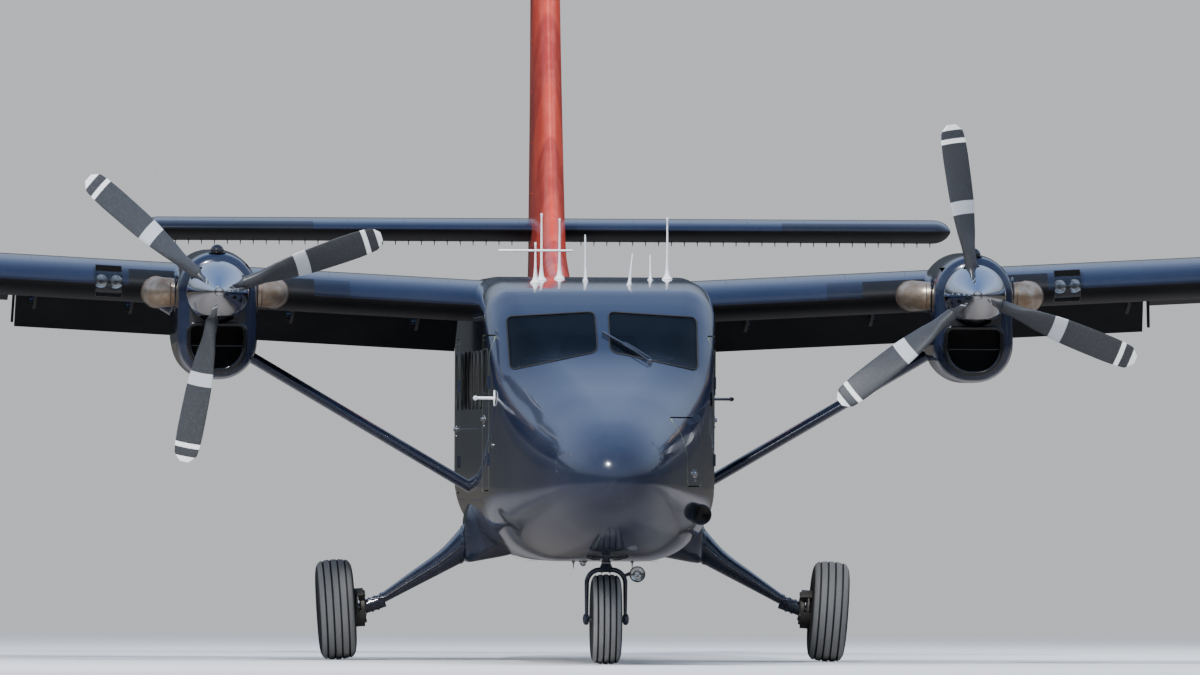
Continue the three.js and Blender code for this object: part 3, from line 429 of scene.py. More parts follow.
def newMaterial(name):
    material = bpy.data.materials.new(name)
    material.use_nodes = True
    graph = Graph(material.node_tree)
    shader = material.node_tree.nodes["Principled BSDF"]
    place = graph.node("ShaderNodeTexCoord").outputs["Object"]
    return material, graph, shader, place


dustColour = (0.30, 0.275, 0.23, 1.0)


def addGrime(graph, shader, place, colour, roughness, amount=1.0, dustRough=0.75):
    worn = graph.node("ShaderNodeGroup", node_tree=grime)
    graph.feed(place, worn.inputs["Place"])
    worn.inputs["Amount"].default_value = amount
    mixed = graph.mix(worn.outputs["Dust"], colour, dustColour)
    graph.feed(mixed, shader.inputs["Base Color"])
    rough = graph.spread(worn.outputs["Dust"], 0.0, 1.0, roughness, dustRough)
    rough = graph.math("ADD", rough, graph.math("MULTIPLY", worn.outputs["Scuff"], 0.04))
    graph.feed(rough, shader.inputs["Roughness"])
    return worn, rough


# Glossy paint over riveted sheet. Where the down-shade amount is 1, faces that look down are matt and painted
# near-black as shade.
paint = {"navy": (0.0075, 0.0115, 0.027, 1.0), "under": (0.004, 0.004, 0.005, 1.0), "gloss": 0.2,
    "coatRoughness": 0.03, "seamSpacing": 0.508, "seamWidth": 0.0016, "wave": 0.05, "peel": 0.1}


def paintMaterial(name, colour, dust=0.16, roughness=paint["gloss"], coat=1.0, under=0.0, lead=None,
        seams=1.0):
    material, graph, shader, place = newMaterial(name)
    shade = graph.mix(graph.spread(graph.noise(place, 0.9, 3.0), 0.3, 0.7), colour,
                      tuple(c * 1.25 for c in colour[:3]) + (1.0,))
    split = graph.node("ShaderNodeSeparateXYZ", {"Vector": place})
    matt = 0.0
    if lead:
        matt = lead(graph, split)
        shade = graph.mix(matt, shade, (0.006, 0.0065, 0.008, 1.0))
    # Painted shade: faces that look down are darkened to near-black, and made matt.
    if under:
        facing = graph.node("ShaderNodeTexCoord").outputs["Normal"]
        down = graph.node("ShaderNodeSeparateXYZ", {"Vector": facing}).outputs["Z"]
        downShadeMask = graph.math("MULTIPLY", graph.spread(down, -0.06, -0.3), under)
        shade = graph.mix(downShadeMask, shade, paint["under"])
        matt = graph.math("MAXIMUM", matt, downShadeMask)
    along = graph.math("PINGPONG", split.outputs["Y"], paint["seamSpacing"] / 2)
    seam = graph.math("MULTIPLY", graph.spread(along, paint["seamWidth"], paint["seamWidth"] * 0.3), seams)
    shade = graph.mix(graph.math("MULTIPLY", seam, 0.6), shade, (0.003, 0.003, 0.004, 1.0))
    worn, rough = addGrime(graph, shader, place, shade, roughness, dust)
    if lead or under:
        shader.inputs["Specular IOR Level"].default_value = 0.22
        graph.feed(graph.spread(matt, 0.0, 1.0, coat, 0.0), shader.inputs["Coat Weight"])
        graph.feed(graph.math("MAXIMUM", rough, graph.math("MULTIPLY", matt, 0.5)),
            shader.inputs["Roughness"])
    else:
        shader.inputs["Coat Weight"].default_value = coat
    shader.inputs["Coat Roughness"].default_value = paint["coatRoughness"]
    bumpy = graph.node("ShaderNodeGroup", node_tree=skinWave)
    graph.feed(place, bumpy.inputs["Place"])
    bumpy.inputs["Wave"].default_value = paint["wave"]
    bumpy.inputs["Peel"].default_value = paint["peel"]
    graph.feed(bumpy.outputs["Normal"], shader.inputs["Normal"])
    graph.feed(bumpy.outputs["Normal"], shader.inputs["Coat Normal"])
    return material


# Matt black strips along the front of the wing beside the engines.
def wingFront(graph, split):
    across = graph.math("ABSOLUTE", split.outputs["X"])
    near = graph.spread(split.outputs["Y"], yAt(5.31), yAt(5.3))
    wide = graph.math("MULTIPLY", graph.band(across, 1.8, 3.74), 0.45)
    close = graph.math("MULTIPLY", graph.band(across, 2.07, 3.47), 0.55)
    return graph.math("MULTIPLY", near, graph.math("ADD", wide, close))


def tailplaneFront(graph, split):
    across = graph.math("ABSOLUTE", split.outputs["X"])
    near = graph.spread(split.outputs["Y"], yAt(13.46), yAt(13.45))
    return graph.math("MULTIPLY", near, graph.math("MULTIPLY", graph.band(across, 1.83, 4.0), 0.6))


navyPaint = paintMaterial("navy_paint", paint["navy"])
# Wing and tailplane paint darken the faces that look down as painted shade.
wingPaint = paintMaterial("wing_paint", paint["navy"], under=1.0, lead=wingFront, seams=0.0)
tailplanePaint = paintMaterial("tailplane_paint", paint["navy"], under=1.0, lead=tailplaneFront, seams=0.0)
gearPaint = paintMaterial("gear_paint", (0.009, 0.013, 0.028, 1.0), dust=0.14, roughness=0.24, coat=0.8,
    seams=0.0)


def grainyMaterial(name, colour, scale, depth, roughness, metallic=0.0, dust=0.3, variation=1.3):
    material, graph, shader, place = newMaterial(name)
    rough = graph.node("ShaderNodeGroup", node_tree=grain)
    graph.feed(place, rough.inputs["Place"])
    rough.inputs["Scale"].default_value = scale
    rough.inputs["Depth"].default_value = depth
    shade = graph.mix(graph.spread(graph.noise(place, 6.0, 4.0), 0.3, 0.7), colour,
                      tuple(min(1.0, c * variation) for c in colour[:3]) + (1.0,))
    addGrime(graph, shader, place, shade, roughness, dust)
    graph.feed(rough.outputs["Normal"], shader.inputs["Normal"])
    shader.inputs["Metallic"].default_value = metallic
    return material


# Rubber: the tread is pale, partly scrubbed rubber and dust and partly painted sunlight; the walls and the
# grooves keep the dark rubber tone.
def tyreMaterial():
    material, graph, shader, place = newMaterial("tyre_rubber")
    worn = graph.node("ShaderNodeAttribute", attribute_name="tread", attribute_type="GEOMETRY").outputs["Fac"]
    speckle = graph.spread(graph.noise(place, 160.0, 3.0, 0.7), 0.35, 0.7)
    # The pale tread tones are partly painted sunlight, partly scrubbed and dusty rubber.
    tread = graph.mix(speckle, (0.15, 0.148, 0.145, 1.0), (0.21, 0.206, 0.2, 1.0))
    shade = graph.mix(worn, (0.009, 0.009, 0.0095, 1.0), tread)
    addGrime(graph, shader, place, shade, 0.72, 0.1)
    fine = graph.node("ShaderNodeGroup", node_tree=grain)
    graph.feed(place, fine.inputs["Place"])
    fine.inputs["Scale"].default_value = 420.0
    fine.inputs["Depth"].default_value = 0.3
    graph.feed(fine.outputs["Normal"], shader.inputs["Normal"])
    return material


lining = grainyMaterial("cabin_lining", (0.2, 0.19, 0.175, 1.0), 500.0, 0.15, 0.75, dust=0.1)
darkPlastic = grainyMaterial("dark_plastic", (0.018, 0.018, 0.02, 1.0), 900.0, 0.25, 0.5, dust=0.1)
sealRubber = grainyMaterial("seal_rubber", (0.012, 0.012, 0.013, 1.0), 600.0, 0.2, 0.6, dust=0.2)
bareMetal = grainyMaterial("bare_metal", (0.5, 0.5, 0.51, 1.0), 350.0, 0.08, 0.32, metallic=1.0, dust=0.2)
structure = grainyMaterial("structure_primer", (0.12, 0.15, 0.1, 1.0), 300.0, 0.1, 0.55, dust=0.3)
leather = grainyMaterial("seat_leather", (0.022, 0.024, 0.032, 1.0), 260.0, 0.35, 0.45, dust=0.06)
tyreRubber = tyreMaterial()
steel = grainyMaterial("forged_steel", (0.3, 0.3, 0.32, 1.0), 500.0, 0.06, 0.3, metallic=1.0, dust=0.3)
wheelAlloy = grainyMaterial("wheel_alloy", (0.42, 0.43, 0.44, 1.0), 420.0, 0.1, 0.38, metallic=0.6, dust=0.45)
antennaWhite = grainyMaterial("antenna_white", (0.78, 0.79, 0.8, 1.0), 800.0, 0.05, 0.35, dust=0.12,
    variation=1.05)
webbing = grainyMaterial("belt_webbing", (0.05, 0.052, 0.056, 1.0), 1500.0, 0.5, 0.8, dust=0.05)
brakeIron = grainyMaterial("brake_iron", (0.07, 0.066, 0.062, 1.0), 260.0, 0.3, 0.55, metallic=0.7, dust=0.5)


def glassMaterial(name, tint, coat=1.0, roughHigh=0.12):
    material, graph, shader, place = newMaterial(name)
    shader.inputs["Base Color"].default_value = tint
    shader.inputs["Transmission Weight"].default_value = 1.0
    shader.inputs["IOR"].default_value = 1.05
    shader.inputs["Coat Weight"].default_value = coat
    shader.inputs["Coat Roughness"].default_value = 0.0
    worn = graph.node("ShaderNodeGroup", node_tree=grime)
    graph.feed(place, worn.inputs["Place"])
    graph.feed(graph.spread(worn.outputs["Dust"], 0.0, 1.0, 0.0, roughHigh), shader.inputs["Roughness"])
    return material


glass = glassMaterial("windscreen_glass", (0.36, 0.4, 0.44, 1.0), 0.45)
cabinGlass = glassMaterial("cabin_window_glass", (0.1, 0.12, 0.14, 1.0))
lampGlass = glassMaterial("lamp_glass", (0.93, 0.95, 0.96, 1.0), 1.0, 0.05)
redGlass = glassMaterial("red_lamp_glass", (0.8, 0.03, 0.02, 1.0), 1.0, 0.05)
greenGlass = glassMaterial("green_lamp_glass", (0.02, 0.6, 0.2, 1.0), 1.0, 0.05)


# Fin and rudder have broad slanted bands of two close reds with soft edges, and tones that drift a little.
finTones = {"base": (0.5, 0.042, 0.02, 1.0), "deep": (0.3, 0.02, 0.014, 1.0), "pale": (0.62, 0.1, 0.055, 1.0),
            "bandLength": 1.15, "slant": 0.62}


def finRed():
    material = paintMaterial("fin_paint", finTones["base"], dust=0.06, roughness=0.3, coat=0.35, seams=0.4)
    graph = Graph(material.node_tree)
    nodes = material.node_tree.nodes
    shader = nodes["Principled BSDF"]
    place = graph.node("ShaderNodeTexCoord").outputs["Object"]
    split = graph.node("ShaderNodeSeparateXYZ", {"Vector": place})
    drift = graph.math("MULTIPLY", graph.noise(place, 1.1, 2.0), 0.5)
    along = graph.math("ADD", graph.math("ADD", split.outputs["Y"], drift),
                       graph.math("MULTIPLY", split.outputs["Z"], finTones["slant"]))
    wave = graph.math("PINGPONG", along, finTones["bandLength"] / 2)
    deep = graph.spread(wave, finTones["bandLength"] * 0.2, finTones["bandLength"] * 0.24)
    mottle = graph.spread(graph.noise(place, 7.0, 3.0, 0.6), 0.45, 0.62)
    shade = graph.mix(graph.math("MULTIPLY", deep, 0.75), finTones["base"], finTones["deep"])
    shade = graph.mix(graph.math("MULTIPLY", mottle, 0.35), shade, finTones["pale"])
    worn = graph.node("ShaderNodeGroup", node_tree=grime)
    graph.feed(place, worn.inputs["Place"])
    worn.inputs["Amount"].default_value = 0.1
    graph.feed(graph.mix(worn.outputs["Dust"], shade, dustColour), shader.inputs["Base Color"])
    return material


finPaint = finRed()


def chromeMaterial(name, tint, low, high, stretch=(9.0, 300.0, 9.0)):
    material, graph, shader, place = newMaterial(name)
    swirl = graph.noise(graph.node("ShaderNodeMapping", {"Vector": place, "Scale": stretch}).outputs[0], 1.0)
    shader.inputs["Base Color"].default_value = tint
    shader.inputs["Metallic"].default_value = 1.0
    graph.feed(graph.spread(swirl, 0.3, 0.7, low, high), shader.inputs["Roughness"])
    return material


chrome = chromeMaterial("polished_spinner", (0.86, 0.86, 0.87, 1.0), 0.03, 0.1)
reflector = chromeMaterial("lamp_reflector", (0.92, 0.92, 0.9, 1.0), 0.02, 0.05, (40.0, 40.0, 40.0))

# Blades are satin grey with a pale ring part way out and two white rings at the tip.
bladeTones = {"grey": (0.035, 0.037, 0.041, 1.0), "pale": (0.42, 0.43, 0.45, 1.0),
    "white": (0.82, 0.82, 0.8, 1.0), "middle": (0.62, 0.72), "tips": ((1.155, 1.19), (1.255, 1.3))}


def bladeMaterial():
    material, graph, shader, place = newMaterial("blade_paint")
    split = graph.node("ShaderNodeSeparateXYZ", {"Vector": place})
    across = graph.math("SUBTRACT", graph.math("ABSOLUTE", split.outputs["X"]), 2.84)
    rise = graph.math("SUBTRACT", split.outputs["Z"], 2.763)
    reach = graph.math("SQRT", graph.math("ADD", graph.math("MULTIPLY", across, across),
                                          graph.math("MULTIPLY", rise, rise)))
    scratch = graph.spread(graph.noise(place, 60.0, 4.0, 0.7), 0.5, 0.75)
    shade = graph.mix(graph.math("MULTIPLY", scratch, 0.35), bladeTones["grey"], (0.11, 0.11, 0.115, 1.0))
    shade = graph.mix(graph.band(reach, *bladeTones["middle"]), shade, bladeTones["pale"])
    for low, high in bladeTones["tips"]:
        shade = graph.mix(graph.band(reach, low, high), shade, bladeTones["white"])
    addGrime(graph, shader, place, shade, 0.36, 0.08)
    fine = graph.node("ShaderNodeGroup", node_tree=grain)
    graph.feed(place, fine.inputs["Place"])
    fine.inputs["Scale"].default_value = 420.0
    fine.inputs["Depth"].default_value = 0.06
    graph.feed(fine.outputs["Normal"], shader.inputs["Normal"])
    return material


bladePaint = bladeMaterial()
glossBlack = paintMaterial("gloss_black", (0.004, 0.004, 0.0045, 1.0), dust=0.08, seams=0.0)


# Steel that heat has turned straw, tan and bluish, sootier towards the mouth.
def exhaustMaterial():
    material, graph, shader, place = newMaterial("heated_steel")
    tone = graph.noise(place, 9.0, 5.0, 0.6)
    ramp = graph.node("ShaderNodeValToRGB", {"Fac": graph.spread(tone, 0.3, 0.7)})
    stops = ramp.color_ramp.elements
    stops[0].color, stops[1].color = (0.34, 0.22, 0.13, 1.0), (0.62, 0.55, 0.46, 1.0)
    middle = stops.new(0.55)
    middle.color = (0.46, 0.35, 0.25, 1.0)
    split = graph.node("ShaderNodeSeparateXYZ", {"Vector": place})
    soot = graph.math("MULTIPLY", graph.spread(split.outputs["Y"], yAt(4.3), yAt(4.45)),
                      graph.spread(graph.noise(place, 22.0, 3.0), 0.3, 0.6, 0.4, 1.0))
    graph.feed(graph.mix(soot, ramp.outputs[0], (0.03, 0.027, 0.025, 1.0)), shader.inputs["Base Color"])
    graph.feed(graph.spread(soot, 0.0, 1.0, 0.35, 0.7), shader.inputs["Roughness"])
    shader.inputs["Metallic"].default_value = 0.85
    return material


heatedSteel = exhaustMaterial()


def dress(name, mesh, body, slot, materials, *replaced):
    materials = materials if isinstance(materials, (list, tuple)) else [materials]
    while len(mesh.materials) < len(materials):
        mesh.materials.append(None)
    for i, material in enumerate(materials):
        mesh.materials[i] = material
    obj = objectOf(name, mesh)
    mesh.name = name
    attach(obj, body)
    if replaced:
        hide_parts(*replaced)
    return obj


def softened(mesh, angle=30):
    mesh.shade_smooth()
    mesh.set_sharp_from_angle(angle=math.radians(angle))
    return mesh


# Smooth curves through the rows of a table. Near the tip of the nose the places are stretched out, so that it
# rounds off.
class Curves:
    def __init__(self, columns, rows, stretch=None):
        data = np.array(rows, float) / 1000
        self.stretch = stretch or (lambda at: at)
        self.at = self.stretch(data[:, 0])
        self.rows = {}
        for name, values in zip(columns, data[:, 1:].T):
            slopes = np.diff(values) / np.diff(self.at)
            inner = np.where(slopes[:-1] * slopes[1:] > 0,
                             2 * slopes[:-1] * slopes[1:] / np.where(slopes[:-1] + slopes[1:] == 0, 1,
                                                                     slopes[:-1] + slopes[1:]), 0)
            self.rows[name] = (values, np.concatenate([slopes[:1], inner, slopes[-1:]]))

    def read(self, name, at):
        at = np.clip(self.stretch(np.asarray(at, float)), self.at[0], self.at[-1])
        i = np.clip(np.searchsorted(self.at, at, side="right") - 1, 0, len(self.at) - 2)
        values, tangents = self.rows[name]
        step = self.at[i + 1] - self.at[i]
        t = (at - self.at[i]) / step
        return ((2 * t ** 3 - 3 * t ** 2 + 1) * values[i] + (t ** 3 - 2 * t ** 2 + t) * step * tangents[i]
                + (3 * t ** 2 - 2 * t ** 3) * values[i + 1] + (t ** 3 - t ** 2) * step * tangents[i + 1])

    def section(self, at):
        return tuple(self.read(name, at) for name in ("half", "top", "bottom", "crown", "bilge"))


def noseStretch(at):
    at = np.asarray(at, float)
    return np.where(at < 0.6, 2 * np.sqrt(0.6 * np.maximum(at, 0)) - 0.6, at)


sectionNames = ("half", "top", "bottom", "crown", "bilge")
skin = Curves(sectionNames, [(0, 8, 1373, 1357, 8, 8), (60, 175, 1545, 1195, 160, 160),
    (250, 315, 1680, 1070, 285, 285), (600, 450, 1825, 945, 400, 400), (1100, 585, 1975, 845, 470, 480),
    (1600, 695, 2115, 795, 480, 520), (2150, 790, 2300, 772, 420, 540), (2500, 832, 2500, 765, 340, 550),
    (2850, 855, 2680, 762, 270, 550), (3200, 868, 2800, 760, 230, 550), (3900, 875, 2858, 760, 200, 550),
    (5000, 875, 2885, 760, 200, 550), (5400, 875, 2900, 760, 200, 550), (7400, 875, 2900, 772, 200, 550),
    (8840, 875, 2885, 810, 210, 550), (10500, 780, 2875, 1100, 240, 500), (12000, 585, 2840, 1520, 250, 400),
    (13500, 385, 2790, 1940, 240, 290), (14800, 205, 2730, 2290, 160, 160), (15300, 90, 2650, 2420, 80, 80)],
    noseStretch)

roomFloor = 1.2
wall = 0.07


def skinSection(at):
    return skin.section(at)


def insideSection(at):
    half, top, bottom, crown, bilge = skin.section(at)
    overhead = np.clip(wall + (at - 3.2) * 0.1 / 0.7, wall, 0.17)
    return half - wall, top - overhead, np.maximum(roomFloor,
        bottom + 0.09), crown - wall / 2, 0.06 + 0 * half


def shrunk(section, by):
    def made(at):
        half, top, bottom, crown, bilge = section(at)
        return half - by, top - by, bottom + by, crown - by / 2, bilge - by / 2
    return made


# A boxy ring with round corners, its straight runs broken up so that the faces stay small.
def boxyRing(section, station, middleX=0.0, steps=14, runs=5):
    half, top, bottom, crown, bilge = section(station)
    corners = [(half - crown, top - crown, crown, 90), (half - bilge, bottom + bilge, bilge, 0),
               (bilge - half, bottom + bilge, bilge, -90), (crown - half, top - crown, crown, -180)]
    points = []
    for x, z, radius, start in corners:
        for i in range(steps + 1):
            angle = math.radians(start - 90 * i / steps)
            here = (x + radius * math.cos(angle), z + radius * math.sin(angle))
            if points and i == 0:
                points += [tuple(np.array(points[-1]) * (1 - k / runs) + np.array(here) * k / runs)
                           for k in range(1, runs)]
            points.append(here)
    first = points[0]
    points += [tuple(np.array(points[-1]) * (1 - k / runs) + np.array(first) * k / runs)
        for k in range(1, runs)]
    return [(middleX + x, yAt(station), z) for x, z in points]


def hull(section, from_, to, spacing=0.1, middleX=0.0):
    count = max(2, int(round((to - from_) / spacing)) + 1)
    stations = list(np.linspace(from_, to, count))
    if from_ < 0.3:
        stations = [from_ + (to - from_) * (i / 40) ** 2 for i in range(41)]
    return loft([boxyRing(section, float(s), middleX) for s in stations])


# How far a point lies outside a boxy section.
def boxyDistance(section, points, middleX=0.0):
    half, top, bottom, crown, bilge = section(points[:, 1] + fullLength / 2)
    x, z = np.abs(points[:, 0] - middleX), points[:, 2]
    distance = np.maximum(np.maximum(x - half, z - top), bottom - z)
    for radius, height, above in ((crown, z - (top - crown), True), (bilge, (bottom + bilge) - z, False)):
        inCorner = (x > half - radius) & (height > 0)
        distance = np.where(inCorner, np.hypot(x - (half - radius), height) - radius, distance)
    return distance


def boxyNormals(section, points, middleX=0.0):
    step = 5e-4
    normals = np.zeros_like(points)
    for axis in range(3):
        shift = np.zeros(3)
        shift[axis] = step
        normals[:, axis] = (boxyDistance(section, points + shift, middleX)
                            - boxyDistance(section, points - shift, middleX))
    return normals / np.linalg.norm(normals, axis=1, keepdims=True)


# Gives each face that lies on one of the sections its true normals and that section's material, and leaves
# the others flat. The order is (section, side), where side is 1 for the outside and -1 for the inside of a
# hollow.
def trueNormals(mesh, surfaces, middleX=0.0, edgeMaterial=0, reach=0.004):
    count = len(mesh.vertices)
    points = np.zeros(count * 3)
    mesh.vertices.foreach_get("co", points)
    points = points.reshape(-1, 3)
    loops = np.zeros(len(mesh.loops), int)
    mesh.loops.foreach_get("vertex_index", loops)
    centres = np.zeros(len(mesh.polygons) * 3)
    mesh.polygons.foreach_get("center", centres)
    facings = np.zeros(len(mesh.polygons) * 3)
    mesh.polygons.foreach_get("normal", facings)
    centres, facings = centres.reshape(-1, 3), facings.reshape(-1, 3)
    starts = np.zeros(len(mesh.polygons), int)
    mesh.polygons.foreach_get("loop_start", starts)
    totals = np.zeros(len(mesh.polygons), int)
    mesh.polygons.foreach_get("loop_total", totals)
    owner = np.repeat(np.arange(len(starts)), totals)
    normals = facings[owner].copy()
    kinds = np.full(len(starts), edgeMaterial)
    for section, side, material in surfaces:
        near = np.abs(boxyDistance(section, points, middleX)) < reach
        allNear = np.ones(len(starts), bool)
        np.logical_and.at(allNear, owner, near[loops])
        along = boxyNormals(section, centres, middleX) * side
        on = allNear & ((along * facings).sum(axis=1) > 0.6)
        chosen = on[owner]
        normals[chosen] = boxyNormals(section, points[loops[chosen]], middleX) * side
        kinds[on] = material
    mesh.shade_smooth()
    mesh.polygons.foreach_set("material_index", kinds.astype(np.int32))
    mesh.normals_split_custom_set([tuple(n) for n in normals])
    mesh.update()
    return mesh


doorGap = 0.01
doorway = {
    "nose_bay_door": (1, (1.08, 1.64), (1.33, 1.83), 0.06),
    "crew_door_left": (1, (2.63, 3.185), (1.29, 2.44), 0.06),
    "crew_door_right": (-1, (2.63, 3.185), (1.29, 2.44), 0.06),
    "cargo_door_front": (1, (7.35, 8.055), (1.25, 2.52), 0.03),
    "cargo_door_rear": (1, (8.065, 8.77), (1.25, 2.52), 0.03),
    "passenger_door": (-1, (8.0, 8.77), (1.27, 2.43), 0.09),
    "rear_bay_door": (1, (9.15, 9.9), (1.5, 2.35), 0.06),
}


doorHinges = {"nose_bay_door": "top", "crew_door_left": "front", "crew_door_right": "front",
              "cargo_door_front": "front", "cargo_door_rear": "rear", "passenger_door": "front",
              "rear_bay_door": "front"}
hingeBarrel = {"radius": 0.014, "length": 0.045, "clearance": 0.003, "gap": 0.00025, "heights": (0.2, 0.7)}
topHinge = {"x": 0.664, "station": 1.595, "radius": 0.032}


# The door's own barrel and the frame's lie end to end, each with a notch round it in the other piece.
def hingeSet(name, way):
    side, span, rise, corner = doorway[name]
    radius, length, clearance, gap = (hingeBarrel[k] for k in ("radius", "length", "clearance", "gap"))
    along = Vector((0, 0, 1))
    if doorHinges[name] == "top":
        starts, along = [Vector((side * topHinge["x"], yAt(topHinge["station"]), rise[1]))], Vector((0, 1, 0))
        radius = topHinge["radius"]
    else:
        station = span[0] if doorHinges[name] == "front" else span[1]
        half = float(skinSection(station)[0])
        starts = [Vector((side * half, yAt(station), rise[0] + part * (rise[1] - rise[0])))
                  for part in hingeBarrel["heights"]]
    barrels = [barrel(radius, p + along * way * gap, p + along * way * length, 24) for p in starts]
    notches = [barrel(radius + clearance, p - along * way * gap, p - along * way * (length + clearance), 24)
               for p in starts]
    return barrels, notches


def openingOf(side, span, rise, corner, gap=0.0):
    outline = rectangle((span[0] - gap, span[1] + gap), (rise[0] - gap, rise[1] + gap), corner)
    return sidePrism(outline, side * 0.12, side * 1.5)


def holeFor(name):
    return openingOf(*doorway[name], doorGap)


cabinWindow = {"width": 0.37, "rise": (1.9, 2.33), "corner": 0.13}


def windowAt(side, station, grow=0.0):
    half = cabinWindow["width"] / 2
    low, high = cabinWindow["rise"]
    return openingOf(side, (station - half, station + half), (low, high), cabinWindow["corner"], grow)


windowStations = {
    "cabin_side_left": (1, [3.52, 4.28, 5.04, 5.80, 6.56]),
    "cabin_side_right": (-1, [3.52, 4.28, 5.04, 5.80, 6.56, 7.32]),
    "cargo_door_front": (1, [7.70]),
    "cargo_door_rear": (1, [8.42]),
    "passenger_door": (-1, [8.385]),
}


def windowHoles(name):
    side, stations = windowStations[name]
    return [windowAt(side, station) for station in stations]


def panel(name, body, slot, span, rise=None, across=None, hollow=None, holes=(), doors=()):
    mesh = hull(skinSection, *span)
    if rise or across:
        mesh = keep(mesh, slab((-1, 20), rise or (-1, 9), across or (-3, 3)))
    tools = [hull(*hollow[0:3])] if hollow else []
    mesh = cut(mesh, *tools, *holes, *[holeFor(door) for door in doors],
               *[notch for door in doors for notch in hingeSet(door, -1)[1]])
    surfaces = [(skinSection, 1, 1)]
    if hollow:
        surfaces.append((hollow[0], -1, 2))
    mesh = trueNormals(mesh, surfaces)
    return dress(name + "_skin", mesh, body, slot, [structure, navyPaint, lining], name)


room = (insideSection, 1.95, 8.86)
bay = (insideSection, 1.01, 1.89)
rear = (shrunk(skinSection, 0.024), 8.875, 10.47)
noseLeafHollow = (shrunk(skinSection, 0.024), 1.0, 1.75)
crewLeafHollow = (shrunk(skinSection, 0.04), 2.5, 3.3)
seam = 0.0008

paneOutline = [(0.045, 2.325), (0.7, 2.185), (0.712, 2.585), (0.05, 2.625)]
paneCorner = 0.05
paneGlass = 0.014


def paneHole(side, grow=0.0, span=(2.0, 3.06)):
    (x0, z0), (x1, z1), (x2, z2), (x3, z3) = paneOutline
    corners = [(x0 - grow, z0 - grow), (x1 + grow, z1 - grow), (x2 + grow, z2 + grow), (x3 - grow, z3 + grow)]
    outline = rounded([(side * x, z) for x, z in corners], paneCorner)
    return frontPrism(outline, *span)


crewWindow = ((2.7, 3.11), (2.01, 2.34), 0.06)

panel("nose_cone", "airframe", "nose_paint", (0, 0.6 - seam))
panel("nose_bay", "airframe", "navy_paint", (0.6, 1.95 - seam), hollow=bay, doors=["nose_bay_door"])
panel("cockpit_floor", "airframe", "navy_paint", (1.95, 3.2 - seam), (-1, roomFloor - seam), hollow=room)
panel("cockpit_frame", "airframe", "navy_paint", (1.95, 3.2 - seam), (roomFloor, 9), hollow=room,
      holes=[paneHole(1), paneHole(-1)], doors=["crew_door_left", "crew_door_right"])
panel("cabin_floor", "airframe", "navy_paint", (3.2, 8.84 - seam), (-1, roomFloor - seam), hollow=room)
panel("cabin_roof", "airframe", "navy_paint", (3.2, 8.84 - seam), (2.6 + seam, 9), hollow=room)
panel("cabin_side_left", "airframe", "navy_paint", (3.2, 8.84 - seam), (roomFloor, 2.6), (0.3, 3),
    hollow=room, holes=windowHoles("cabin_side_left"), doors=["cargo_door_front", "cargo_door_rear"])
panel("cabin_side_right", "airframe", "navy_paint", (3.2, 8.84 - seam), (roomFloor, 2.6), (-3, -0.3),
    hollow=room, holes=windowHoles("cabin_side_right"), doors=["passenger_door"])
panel("rear_bay", "airframe", "navy_paint", (8.84, 10.5 - seam), hollow=rear, doors=["rear_bay_door"])
panel("tail_cone", "airframe", "navy_paint", (10.5, 15.3))


def leaf(name, hollow, holes=()):
    side, span, rise, corner = doorway[name]
    mesh = hull(skinSection, span[0] - 0.05, span[1] + 0.05)
    mesh = keep(mesh, openingOf(side, span, rise, corner))
    barrels, notches = hingeSet(name, 1)
    mesh = cut(mesh, hull(*hollow), *holes, *notches)
    mesh = trueNormals(mesh, [(skinSection, 1, 1), (hollow[0], -1, 2)])
    dress(name + "_hinges", softened(joined(*barrels), 35), name, "navy_paint", gearPaint)
    return dress(name + "_skin", mesh, name, "navy_paint", [structure, navyPaint, lining], name)


leaf("nose_bay_door", noseLeafHollow)
for side, name in ((1, "crew_door_left"), (-1, "crew_door_right")):
    leaf(name, crewLeafHollow, [openingOf(side, *crewWindow)])
for name in ("cargo_door_front", "cargo_door_rear", "passenger_door"):
    leaf(name, room, windowHoles(name))
leaf("rear_bay_door", rear)
frameHinges = joined(*[mesh for name in doorway for mesh in hingeSet(name, -1)[0]])
dress("frame_hinges", softened(frameHinges, 35), "airframe", "navy_paint", gearPaint)
print("fuselage skins")


# Panes are thin shells of the skin itself, set a little inwards.
def pane(name, body, shape, span, depth=0.004, thickness=0.008, *replaced):
    outer, inner = shrunk(skinSection, depth), shrunk(skinSection, depth + thickness)
    mesh = cut(keep(hull(outer, *span), shape), hull(inner, span[0] - 0.05, span[1] + 0.05))
    mesh = trueNormals(mesh, [(outer, 1, 0), (inner, -1, 0)], reach=0.003)
    return dress(name, mesh, body, "windscreen_glass", glass, *replaced)


for side, name in ((1, "windshield_left"), (-1, "windshield_right")):
    pane(name + "_glass", "airframe", paneHole(side), (1.95, 3.1), 0.0, paneGlass, name)
for side, name in ((1, "crew_door_left"), (-1, "crew_door_right")):
    pane(name + "_glass", name, openingOf(side, *crewWindow), (2.6, 3.2))
for name, (side, stations) in windowStations.items():
    body = name if "door" in name else "airframe"
    shapes = [(side, station) for station in stations]
    panes = []
    outer, inner = shrunk(skinSection, 0.006), shrunk(skinSection, 0.014)
    for side, station in shapes:
        span = (station - 0.3, station + 0.3)
        panes.append(cut(keep(hull(outer, *span), windowAt(side, station)),
            hull(inner, span[0] - 0.05, span[1] + 0.05)))
    mesh = trueNormals(joined(*panes), [(outer, 1, 0), (inner, -1, 0)], reach=0.003)
    dress(name + "_window_glass", mesh, body, "windscreen_glass", cabinGlass)
print("windows")

